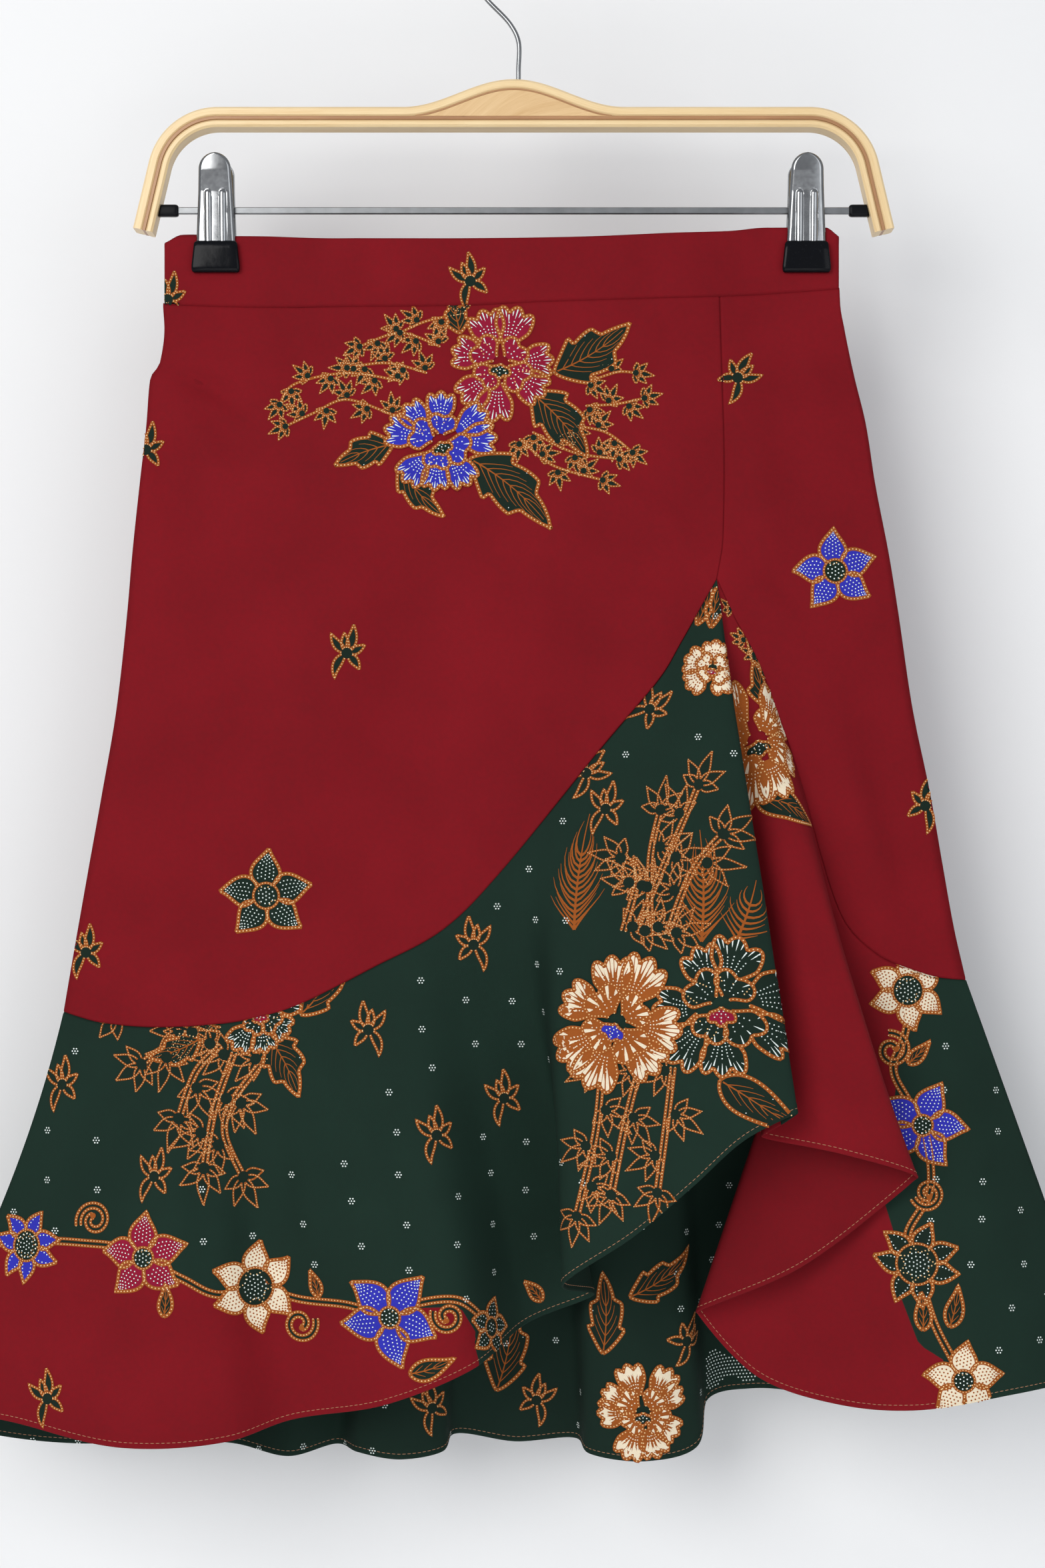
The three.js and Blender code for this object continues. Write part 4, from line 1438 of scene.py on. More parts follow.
class FlouncePiece(Piece):
    """A flounce, read at a fold number and a share of its drop."""

    slot = "border_cloth"
    sewn = ("top",)
    wave = 0.7
    rows, steps, drop = 64, 16, 210

    def __init__(
        self,
        name: str,
        side: float,
        folds: Sequence[FoldRow],
        ends: tuple[float, float],
        seed: int,
        creases: Sequence[Crease],
    ) -> None:
        """Keeps the flounce's folds and which of them it spans.

        Args:
            name: Its name.
            side: -1 in front, 1 behind.
            folds: The folds of its side.
            ends: Its first and last fold, by number.
            seed: The seed of its waves.
            creases: Its creases.
        """
        self.name, self.side, self.ends, self.seed = name, side, ends, seed
        self.creases = tuple(creases)
        self.count = len(folds)
        hem = np.array([(fold.x, fold.depth, fold.z) for fold in folds])
        if side > 0:
            run = lengths_along(hem[None], 1)[0]
            folds = [fold._replace(along=share) for fold, share in zip(folds, run / run[-1])]
        numbers = [NumberedFold(i, fold.along) for i, fold in enumerate(folds)]
        self.along = column(numbers, "i", "along")
        index = np.arange(self.count)
        middle = self.top(index) * (1 - MIDDLE) + hem * MIDDLE
        bow = np.array([fold.bow for fold in folds])
        middle[:, 0] += np.where(index < self.count / 2, bow, -bow)
        middle[:, 1] = [fold.middle for fold in folds]
        self.hem_curve, self.middle_curve = fold_curve(hem), fold_curve(middle)

    def top(self, i: Array) -> Array:
        """The seam above a fold number.

        Args:
            i: Fold numbers, with parts of one.

        Returns:
            The places.
        """
        along = self.along(i)
        if self.side > 0:
            seam = back_flounce_seam(along)
        else:
            first = (along <= 1)[..., None]
            seam = np.where(first, left_flounce_seam(along), right_flounce_seam(along - 1))
        depth = self.side * panel_depth(seam[..., 0], seam[..., 1])
        return np.stack([seam[..., 0], depth, seam[..., 1]], -1)

    def at(self, a: Array, b: Array) -> Array:
        """The flounce's middle at a fold number and a share of the drop.

        Args:
            a: Fold numbers, with parts of one.
            b: Shares of the drop.

        Returns:
            The places.
        """
        share = np.asarray(a, float) / (self.count - 1)
        v = np.asarray(b, float)[..., None]
        point = self.top(np.asarray(a, float)) * (v - MIDDLE) * (v - 1) / MIDDLE
        point = point + self.middle_curve(share) * v * (v - 1) / (MIDDLE * (MIDDLE - 1))
        return point + self.hem_curve(share) * v * (v - MIDDLE) / (1 - MIDDLE)

    def fade(self, points: Array) -> Array:
        """Creases fade out at the seam and at the side seams.

        Args:
            points: The places.

        Returns:
            0 at those edges, 1 away from them.
        """
        down = lengths_along(points, 0)
        across = lengths_along(points, 1)
        sides = smoothstep(np.minimum(across, across[:, -1:] - across), 0, 14)
        return smoothstep(down, 2, 30) * sides

    def sheet(self) -> Sheet:
        """The flounce as a wall with a narrow turned hem.

        Returns:
            The wall.
        """
        first, last = self.ends
        i = np.linspace(first, last, round((last - first) * self.steps) + 1)
        v = seam_steps(self.rows, self.drop, True, True)
        fold, drop = np.meshgrid(i, v)
        points = self.at(fold, drop)
        normals = grid_normals(points) * -self.side
        points = points + normals * self.relief(points)[..., None]
        points = tucked(points, normals, self.sewn)
        made = Sheet(points, np.full((len(points), 1), self.half_thickness), -self.side)
        made.fold, made.drop = fold, drop
        up = made.down[-1:] - made.down
        turned = HEM_EXTRA * (1 - smoothstep(up, *HEM_TURN))
        dent = -STITCH_DENT * np.exp(-(((up - STITCH_UP) / 0.7) ** 2))
        edge = np.sqrt(np.clip((up + 0.1) / 0.8, 0, 1))
        made.half = (made.half + turned + dent) * edge
        return made


class NumberedFold(NamedTuple):
    """A fold's number and its place on the seam."""

    i: float
    along: float


# Print


class Ink(Enum):
    """The printed colours."""

    BROWN = "brown"
    SAND = "sand"
    CREAM = "cream"
    WHITE = "white"
    BLUE = "blue"
    MAROON = "maroon"
    GREEN = "green"


@dataclass(frozen=True)
class PrintInk(Finish):
    """Dye printed on the cotton, as matt as the cloth and as uneven."""

    tint: Colour

    def surface(self, shader: Shader) -> dict[str, object]:
        """One colour with the cloth's mottle and grain.

        Args:
            shader: The nodes of the material.

        Returns:
            The shader's inputs by name.
        """
        place = shader.place()
        mottle = shader.noise(place, 60.0, 3.0)
        fine = shader.noise(place, 2200.0, 2.0)
        share = mottle.ramp(0.3, 0.7) * 0.5 + fine.ramp(0.3, 0.7) * 0.5
        dark, light = (tuple(min(c * k, 1.0) for c in self.tint) for k in (0.84, 1.1))
        return {
            "Base Color": shader.blend(share, dark, light),
            "Roughness": 0.8 + fine * 0.12,
            "Specular IOR Level": 0.15,
            "Normal": shader.bump(fine, 0.25, 0.0001),
        }


INKS = {
    Ink.BROWN: PrintInk("print_brown", srgb(150, 80, 30)),
    Ink.SAND: PrintInk("print_sand", srgb(226, 188, 134)),
    Ink.CREAM: PrintInk("print_cream", srgb(228, 214, 188)),
    Ink.WHITE: PrintInk("print_white", srgb(214, 224, 220)),
    Ink.BLUE: PrintInk("print_blue", srgb(46, 48, 168)),
    Ink.MAROON: PrintInk("print_maroon", srgb(136, 18, 48)),
    Ink.GREEN: PrintInk("print_green", srgb(20, 36, 28)),
}
CELL = 1.5  # the print's cells are no longer than about this
MOST_CELLS = 40  # either way in one patch
DOT_STEP = 1.9  # from one dot to the next in a petal
RING_STEP = 2.0  # from one ring of dots to the next in a flower's heart
LINE = 1.9  # width of a drawn line
LINE_DOT = 0.4  # radius of the pale dots along it
LINE_PITCH = 1.85
PETAL_DOT, CREAM_DOT = 0.38, 0.48  # radii of the dots in a petal
BRUSH, BROAD_BRUSH = 0.72, 1.9  # widths of the comb marks at a petal's rim
FILM = 0.2  # the print's lowest layer stands this far off the cloth
LAYER = 0.09  # and each further layer this much more

Patch = Callable[[Array, Array], Array]


def blade(
    base: tuple[float, float],
    heading: float,
    length: float,
    width: float,
    bend: float = 0.0,
    belly: float = 0.45,
    teeth: int = 0,
    point: float = 0.35,
) -> Patch:
    """A pointed petal or leaf about a bending midrib.

    Args:
        base: Where it starts.
        heading: Its direction in degrees.
        length: Its length.
        width: Its greatest width.
        bend: How many degrees its midrib turns.
        belly: The share of its length at which it is widest.
        teeth: How many points each of its edges has.
        point: How drawn out its tip is.

    Returns:
        A function of places across (-1 to 1) and along (0 to 1).
    """
    steps = np.linspace(0, 1, 33)
    turn = np.radians(heading + bend * steps)
    run = np.stack([np.cos(turn), np.sin(turn)], -1) * length / 32
    line = np.array(base) + np.concatenate([[(0, 0)], np.cumsum((run[1:] + run[:-1]) / 2, axis=0)])
    power = math.log(0.5) / math.log(belly)

    def at(s: Array, t: Array) -> Array:
        """Points of the blade.

        Args:
            s: Places across, from -1 to 1.
            t: Places along, from 0 to 1.

        Returns:
            The points.
        """
        s, t = np.broadcast_arrays(np.asarray(s, float), np.asarray(t, float))
        saw = np.zeros_like(t)
        if teeth:
            wave = (t * teeth) % 1
            saw = np.where(wave < 0.72, wave / 0.72, (1 - wave) / 0.28)
        toothed = float(teeth > 0)
        forward = np.clip(t + 0.09 * toothed * saw * np.abs(s) * (1 - t), 0, 1)
        half = width / 2 * np.sin(np.pi * np.clip(t, 0, 1) ** power) * (1 - point * np.clip(t, 0, 1) ** 3)
        half = half * (1 - 0.36 * toothed * (1 - saw))
        angle = np.interp(forward, steps, turn)
        x = np.interp(forward, steps, line[:, 0]) - s * half * np.sin(angle)
        y = np.interp(forward, steps, line[:, 1]) + s * half * np.cos(angle)
        return np.stack([x, y], -1)

    return at


def fan(
    centre: tuple[float, float],
    heading: float,
    spread: float,
    inner: float,
    outer: float,
    ruffles: int = 3,
    depth: float = 0.12,
) -> Patch:
    """A broad petal with a ruffled rim, round a flower's middle.

    Args:
        centre: The flower's middle.
        heading: The petal's direction in degrees.
        spread: The angle that it takes up.
        inner: Where it starts.
        outer: Where its rim is.
        ruffles: How many lobes the rim has.
        depth: How deep the notches between them are, as a share of its size.

    Returns:
        A function of places across (-1 to 1) and along (0 to 1).
    """

    def at(s: Array, t: Array) -> Array:
        """Points of the fan.

        Args:
            s: Places across, from -1 to 1.
            t: Places along, from 0 to 1.

        Returns:
            The points.
        """
        s, t = np.broadcast_arrays(np.asarray(s, float), np.asarray(t, float))
        angle = np.radians(heading + s * spread / 2 * (0.5 + 0.5 * np.sin(np.pi / 2 * np.clip(t, 0, 1))))
        lobes = 1 - np.abs(np.sin(np.pi * ruffles * (s + 1) / 2))
        rim = outer * (1 - 0.17 * s**4 - depth * lobes)
        radius = inner + (rim - inner) * t
        return np.array(centre) + np.stack([radius * np.cos(angle), radius * np.sin(angle)], -1)

    return at


@dataclass
class Motif:
    """A drawing on the flat, in millimetres: fills, lines and dots in layers."""

    fills: list[tuple[Array, Ink, float]] = field(default_factory=list)
    lines: list[tuple[Array, Array, Ink, float]] = field(default_factory=list)
    dots: list[tuple[Array, float, Ink, float]] = field(default_factory=list)
    made: int = 0

    def _height(self, layer: int, kind: int) -> float:
        """How high a mark stands, so that no two marks lie in one plane."""
        self.made += 1
        return FILM + LAYER * layer + 0.03 * kind + 0.0022 * (self.made % 12)

    def fill(self, patch: Patch, ink: Ink, layer: int, across: int = 4, along: int = 8) -> None:
        """Fills a patch with one ink, in cells of about 1.5 mm or less.

        Args:
            patch: Its points by a place across and one along.
            ink: Its ink.
            layer: How high it lies over the others.
            across: The fewest cells across.
            along: The fewest cells along.
        """
        ends = (((-1, 1), 0.6), (0, (0, 1)))
        size = [float(np.linalg.norm(np.diff(patch(*end), axis=0))) for end in ends]
        wanted = [min(math.ceil(length / CELL), MOST_CELLS) for length in size]
        across, along = max(across, wanted[0]), max(along, wanted[1])
        s, t = np.meshgrid(np.linspace(-1, 1, across + 1), np.linspace(0, 1, along + 1))
        self.fills.append((patch(s, t), ink, self._height(layer, 0)))

    def line(
        self, points: Array, layer: int, width: float = LINE, dotted: bool = True, ink: Ink = Ink.BROWN
    ) -> None:
        """Draws a line of even width, with pale dots along it.

        Args:
            points: Its points.
            layer: How high it lies over the others.
            width: Its width in millimetres.
            dotted: Whether it has dots.
            ink: Its ink.
        """
        points = respaced(np.asarray(points, float), CELL)
        height = self._height(layer, 2)
        self.lines.append((points, np.full(len(points), width), ink, height))
        if dotted:
            scale = min(width / LINE, 1.0)
            places = respaced(points, LINE_PITCH * (0.5 + 0.5 * scale))
            self.dots.append((places, LINE_DOT * (0.25 + 0.75 * scale), Ink.SAND, self._height(layer, 3)))

    def stroke(self, start: Array, end: Array, width: float, ink: Ink, layer: int) -> None:
        """Draws one tapered brush mark."""
        points = np.array(start) + (np.array(end) - np.array(start)) * np.linspace(0, 1, 3)[:, None]
        self.lines.append((points, width * np.array([1.0, 0.8, 0.15]), ink, self._height(layer, 1)))

    def spots(self, places: Array, radius: float, ink: Ink, layer: int) -> None:
        """Puts round dots at places."""
        self.dots.append((np.asarray(places, float).reshape(-1, 2), radius, ink, self._height(layer, 1)))

    def edge(self, patch: Patch, layer: int, width: float = LINE) -> None:
        """Draws the dotted line round a patch.

        Args:
            patch: Its points by a place across and one along.
            layer: How high it lies over the others.
            width: Its width in millimetres.
        """
        t = np.linspace(0, 1, 41)
        tip = np.linspace(-1, 1, 25)
        sides = [patch(-1, t), patch(tip, 1.0)[1:-1], patch(1, t[::-1])]
        self.line(np.concatenate(sides), layer, width)

    def petal(
        self, patch: Patch, ink: Ink, layer: int, rows: int = 3, comb: int = 0, width: float = LINE
    ) -> None:
        """Fills and outlines a petal, with rows of dots and comb marks at its rim.

        Args:
            patch: Its shape.
            ink: Its colour.
            layer: The layer that it lies in.
            rows: How many rows of dots it has.
            comb: How many brush marks run in from its rim.
            width: The width of its outline.
        """
        self.fill(patch, ink, layer, 12, 8)
        pale = {Ink.CREAM: Ink.BROWN, Ink.BROWN: Ink.CREAM}.get(ink, Ink.WHITE)
        brush = BROAD_BRUSH if ink is Ink.BROWN else BRUSH
        size = float(np.linalg.norm(patch(0, 1.0) - patch(0, 0.0)))
        stop = 0.62 if comb else 0.84
        step = DOT_STEP / max(size, 4.0)
        steps = np.arange(0.24, stop, step)
        for k in range(rows):
            s = 0.0 if rows == 1 else -0.55 + 1.1 * k / (rows - 1)
            radius = CREAM_DOT if ink is Ink.CREAM else PETAL_DOT
            self.spots(patch(np.full_like(steps, s), steps + 0.5 * (k % 2) * step), radius, pale, layer)
        for k in range(comb):
            s = -0.84 + 1.68 * k / max(comb - 1, 1)
            reach = (0.26 if k % 2 else 0.17) * (1.8 if ink is Ink.BROWN else 1)
            self.stroke(patch(s, 0.95), patch(s * 0.88, 0.95 - reach), brush, pale, layer)
        self.edge(patch, layer, width)

    def star(
        self, radius: float, ink: Ink, count: int = 5, turn: float = 90.0, heart: float = 0.2,
        curl: float = 22.0
    ) -> "Motif":
        """Draws a star flower of pointed petals round a dotted heart.

        Args:
            radius: How far its petals reach.
            ink: Its ink.
            count: How many petals it has.
            turn: How far it is turned, in degrees.
            heart: The heart's share of it.
            curl: How far its petals curl, in degrees.

        Returns:
            The drawing itself.
        """
        for k in range(count):
            heading = turn + 360 * k / count
            start = radius * heart * 0.8
            base = tuple(start * unit(heading))
            width = radius * min(0.64, 3.4 / count)
            bend = curl * (1.3 if k % 2 else -0.5)
            shape = blade(base, heading - curl / 2, radius - start, width, bend, 0.4, 0, 0.5)
            self.petal(shape, ink, 0, rows=2 if count > 6 else 5 if radius > 20 else 3)
        self.disc((0, 0), radius * heart * 1.35, Ink.GREEN, 1)
        self.rings((0, 0), radius * heart * 1.0, 1)
        return self

    def disc(
        self, centre: tuple[float, float], radius: float, ink: Ink, layer: int, edged: bool = True
    ) -> None:
        """Fills a round heart and draws its edge.

        Args:
            centre: Its middle.
            radius: Its radius in millimetres.
            ink: Its ink.
            layer: How high it lies over the others.
            edged: Whether it has an edge.
        """
        u, v = np.meshgrid(*[np.linspace(-1, 1, 2 * math.ceil(radius / CELL) + 3)] * 2)
        disc = np.stack([u * np.sqrt(1 - v * v / 2), v * np.sqrt(1 - u * u / 2)], -1)
        self.fills.append((np.array(centre) + radius * disc, ink, self._height(layer, 0)))
        if edged:
            turn = np.linspace(0, 2 * np.pi, 25)
            rim = np.stack([np.cos(turn), np.sin(turn)], -1)
            self.line(np.array(centre) + radius * rim, layer, LINE * 0.7)

    def rings(self, centre: tuple[float, float], radius: float, layer: int) -> None:
        """Fills a round heart with rings of dots.

        Args:
            centre: Its middle.
            radius: Its radius in millimetres.
            layer: How high it lies over the others.
        """
        places = [(centre[0], centre[1])]
        for ring in range(1, int(radius / RING_STEP) + 1):
            count = max(5, round(5.6 * ring))
            for k in range(count):
                angle = 2 * math.pi * (k + 0.5 * (ring % 2)) / count
                reach = RING_STEP * ring
                places.append((centre[0] + reach * math.cos(angle), centre[1] + reach * math.sin(angle)))
        self.spots(np.array(places), 0.42, Ink.WHITE, layer)

    def sprig(self, size: float, turn: float = 90.0, flip: bool = False) -> "Motif":
        """Draws a small five-bladed sprig with a curved stalk.

        Args:
            size: Its size in millimetres.
            turn: How far it is turned, in degrees.
            flip: Whether it is mirrored.

        Returns:
            The drawing itself.
        """
        side = -1 if flip else 1
        for heading, length, width, bend in (
            (-98, 0.6, 0.24, -30), (-46, 0.58, 0.23, 24), (2, 0.86, 0.26, 30), (44, 0.6, 0.22, -16),
            (88, 0.74, 0.24, -40), (152, 0.84, 0.24, 66),
        ):
            shape = blade((0, 0), turn + side * heading, size * length, size * width, side * bend, 0.46)
            self.fill(shape, Ink.GREEN, 0, 4, 8)
            self.edge(shape, 0, LINE * 0.7)
        self.disc((0, 0), size * 0.15, Ink.GREEN, 2, False)
        return self

    def leaf(
        self, base: tuple[float, float], heading: float, length: float, width: float,
        bend: float = 20.0, teeth: int = 3, layer: int = 0
    ) -> "Motif":
        """Draws a broad veined leaf with pointed lobes.

        Args:
            base: Where it starts.
            heading: Which way it points, in degrees.
            length: Its length in millimetres.
            width: Its width in millimetres.
            bend: How far it bends, in degrees.
            teeth: How many lobes a side has.
            layer: How high it lies over the others.

        Returns:
            The drawing itself.
        """
        shape = blade(base, heading, length, width, bend, 0.36, teeth, 0.5)
        self.fill(shape, Ink.GREEN, layer, 4, 40)
        t = np.linspace(0.04, 0.88, 16)
        self.lines.append((shape(0, t), np.linspace(0.8, 0.3, 16), Ink.BROWN, self._height(layer, 1)))
        plain = blade(base, heading, length, width, bend, 0.36, 0, 0.5)
        veins = max(3, int(length / 7.5))
        slope = min(0.26, 0.5 * width / length)
        for k in range(veins):
            start = 0.1 + 0.6 * k / veins
            for side in (-1, 1):
                line = plain(side * np.linspace(0, 0.56, 5), start + slope * np.linspace(0, 1, 5) ** 1.3)
                self.lines.append((line, 0.55 * np.linspace(1, 0.4, 5), Ink.BROWN, self._height(layer, 1)))
            self.spots(plain(0.78 * (1 if k % 2 else -1), start + 0.3), 0.3, Ink.WHITE, layer)
        self.edge(shape, layer)
        return self

    def peony(
        self, centre: tuple[float, float], radius: float, ink: Ink, heart: Ink, turn: float = 0.0,
        layer: int = 1, count: int = 7
    ) -> "Motif":
        """Draws a full round flower: two rings of ruffled petals about a dotted heart.

        Args:
            centre: Its middle.
            radius: Its radius in millimetres.
            ink: Ink of its petals.
            heart: Ink of its heart.
            turn: How far it is turned, in degrees.
            layer: How high it lies over the others.
            count: How many petals it has.

        Returns:
            The drawing itself.
        """
        for k in range(count):
            heading = turn + 360 * k / count + 9 * math.sin(2.3 * k + radius)
            size = radius * (0.94 + 0.07 * math.sin(1.7 * k + turn))
            shape = fan(centre, heading, 348 / count, radius * 0.34, size, 3, 0.13)
            self.petal(shape, ink, layer, rows=5, comb=11)
        for k in range(4):
            heading = turn + 35 + 90 * k + 8 * math.sin(3.1 * k + turn)
            shape = fan(centre, heading, 84, radius * 0.14, radius * (0.5 + 0.06 * (k % 2)), 2, 0.14)
            self.petal(shape, ink, layer + 1, rows=3, comb=5, width=LINE * 0.9)
        shape = fan(centre, turn + 250, 130, 0.4, radius * 0.26, 3, 0.2)
        self.petal(shape, heart, layer + 2, rows=3, width=LINE * 0.8)
        return self

    def spray(
        self, path: Sequence[tuple[float, float]], size: float = 10.0, seed: int = 0, layer: int = 0
    ) -> "Motif":
        """Draws a leafy spray: a dotted stem with fans of narrow blades along it.

        Args:
            path: The points it runs through.
            size: The length of a blade.
            seed: The seed of its blades.
            layer: How high it lies over the others.

        Returns:
            The drawing itself.
        """
        curve = even_curve(path)
        line = curve(np.linspace(0, 1, 40))
        if size > 12:
            self.pair(line, 1.15)
        else:
            self.line(line, layer, LINE * 0.8)
        length = float(lengths_along(line[None], 1)[0, -1])
        draw = np.random.default_rng(seed)
        knots = max(2, round(length / (size * 1.25)))
        for k in range(knots + 1):
            share = k / knots
            near = [np.clip(share + d, 0, 1) for d in (0, 0.04, -0.04)]
            here, ahead, back = curve(np.array(near))
            heading = math.degrees(math.atan2(ahead[1] - back[1], ahead[0] - back[0]))
            side = 0 if k == knots else (1 if k % 2 else -1)
            middle = heading + side * 55 + draw.uniform(-9, 9)
            base = tuple(here + unit(middle) * size * 0.3 * abs(side))
            for turn, reach in ((-84, 0.66), (-42, 0.9), (0, 1.1), (42, 0.9), (84, 0.66)):
                bend = draw.uniform(-12, 12)
                shape = blade(base, middle + turn, size * reach, size * 0.36, bend, 0.42, 0, 0.6)
                self.fill(shape, Ink.GREEN, layer, 3, 6)
                self.edge(shape, layer, LINE * 0.5)
            self.disc(base, size * 0.17, Ink.GREEN, layer + 2, False)
        return self

    def fern(
        self, base: tuple[float, float], heading: float, length: float, width: float, bend: float
    ) -> "Motif":
        """Draws a feathery leaf of curved brush marks about a midrib, with no outline.

        Args:
            base: Where it starts.
            heading: Which way it points, in degrees.
            length: Its length in millimetres.
            width: Its width in millimetres.
            bend: How far it bends, in degrees.

        Returns:
            The drawing itself.
        """
        shape = blade(base, heading, length, width, bend, 0.36, 0, 0.2)
        share = np.linspace(0.02, 0.98, 18)
        self.lines.append((shape(0, share), np.linspace(1.5, 0.4, 18), Ink.BROWN, self._height(0, 1)))
        steps = np.linspace(0, 1, 6)
        count = max(6, round(length / 4.6))
        for k in range(count):
            start = 0.02 + 0.66 * k / count
            for side in (-1, 1):
                reach = 0.82 + 0.18 * math.sin(2.4 * k + side)
                mark = shape(side * reach * steps**0.8, start + 0.3 * reach * steps**1.3)
                self.lines.append((mark, 1.4 * (1 - 0.85 * steps), Ink.BROWN, self._height(0, 1)))
        return self

    def curl(self, radius: float, turn: float = 0.0, way: int = 1) -> "Motif":
        """Draws a tendril that winds in to a knob.

        Args:
            radius: Its radius in millimetres.
            turn: How far it is turned, in degrees.
            way: 1 to wind to the left, -1 to the right.

        Returns:
            The drawing itself.
        """
        t = np.linspace(0, 1, 60)
        angle = np.radians(turn) + way * 2 * np.pi * 1.25 * t
        reach = radius * (1 - 0.74 * t)
        line = np.stack([reach * np.cos(angle), reach * np.sin(angle)], -1)
        self.pair(line, 1.35)
        self.disc(tuple(line[-1]), 1.5, Ink.BROWN, 1, False)
        return self

    def pair(self, line: Array, gap: float) -> None:
        """Draws a stem: two dotted lines with green between them.

        Args:
            line: The stem's middle.
            gap: The distance between the lines.
        """
        line = respaced(np.asarray(line, float), CELL)
        self.lines.append((line, np.full(len(line), 2 * gap), Ink.GREEN, self._height(0, 0)))
        along = np.gradient(line, axis=0)
        side = np.stack([-along[:, 1], along[:, 0]], -1) / np.linalg.norm(along, axis=1, keepdims=True)
        for way in (-1, 1):
            self.line(line + side * gap * way, 0, LINE * 0.8)

    def flake(self) -> "Motif":
        """Draws the small seven-dot flower that is scattered over the green.

        Returns:
            The drawing itself.
        """
        angle = np.linspace(0, 2 * np.pi, 7)[:-1]
        places = np.concatenate([[(0.0, 0.0)], 1.45 * np.stack([np.cos(angle), np.sin(angle)], -1)])
        self.spots(places, 0.44, Ink.WHITE, 0)
        return self


def respaced(points: Array, gap: float) -> Array:
    """A line's points, spaced evenly and no further apart than about a gap.

    Args:
        points: The line.
        gap: The gap.

    Returns:
        The new points.
    """
    run = lengths_along(points[None], 1)[0]
    count = max(2, round(run[-1] / gap) + 1)
    at = np.linspace(0, run[-1], count)
    return np.stack([np.interp(at, run, points[:, k]) for k in range(points.shape[1])], -1)


PHOTO_SCALE = 0.35  # millimetres a pixel at the skirt's middle
CAMERA_AWAY = 1250  # from the camera to that middle
FLAT_STAND = 8  # about how far the flat cloth's face stands off it
AIM = (2.1, -449.75)  # x and z of the place that the camera looks at
AIM_PIXEL = (784, 1176)  # where that place stands in the photograph


def photo_place(points: Array) -> Array:
    """Where points in millimetres stand in the photograph, in its pixels.

    Args:
        points: The points.

    Returns:
        How far right and how far down each of them is.
    """
    scale = PHOTO_SCALE * (CAMERA_AWAY + points[..., 1]) / CAMERA_AWAY
    right = (points[..., 0] - AIM[0]) / scale + AIM_PIXEL[0]
    return np.stack([right, -(points[..., 2] - AIM[1]) / scale + AIM_PIXEL[1]], -1)


class FlatSpot:
    """Lays flat drawings straight on to a band or a panel."""

    def __init__(self, tree: BVHTree, side: float, x: float, z: float, turn: float = 0.0) -> None:
        """Keeps the cloth's outer face, and the place and turn of a drawing's middle."""
        self.tree, self.side, self.x, self.z, self.turn = tree, side, x, z, math.radians(turn)
        self.middle = np.array([x, side * 10.0, z])

    def __call__(self, flat: Array) -> tuple[Array, Array, Array]:
        """Lays places of the drawing on the cloth.

        Args:
            flat: Places of the drawing, in millimetres.

        Returns:
            The points, their normals, and whether each is inside the cloth's edges.
        """
        cos, sin = math.cos(self.turn), math.sin(self.turn)
        x = self.x - self.side * (flat[:, 0] * cos - flat[:, 1] * sin)
        z = self.z + flat[:, 0] * sin + flat[:, 1] * cos
        points, normals = np.empty((len(flat), 3)), np.empty((len(flat), 3))
        inside = np.ones(len(flat), bool)
        for k, (a, b) in enumerate(zip(x, z)):
            point, normal, _, _ = self.tree.ray_cast((a, self.side * 300, b), (0, -self.side, 0))
            if point is None:
                point, normal, _, _ = self.tree.find_nearest((a, self.side * 10, b))
                inside[k] = False
            points[k], normals[k] = point, normal
        return points, normals, inside


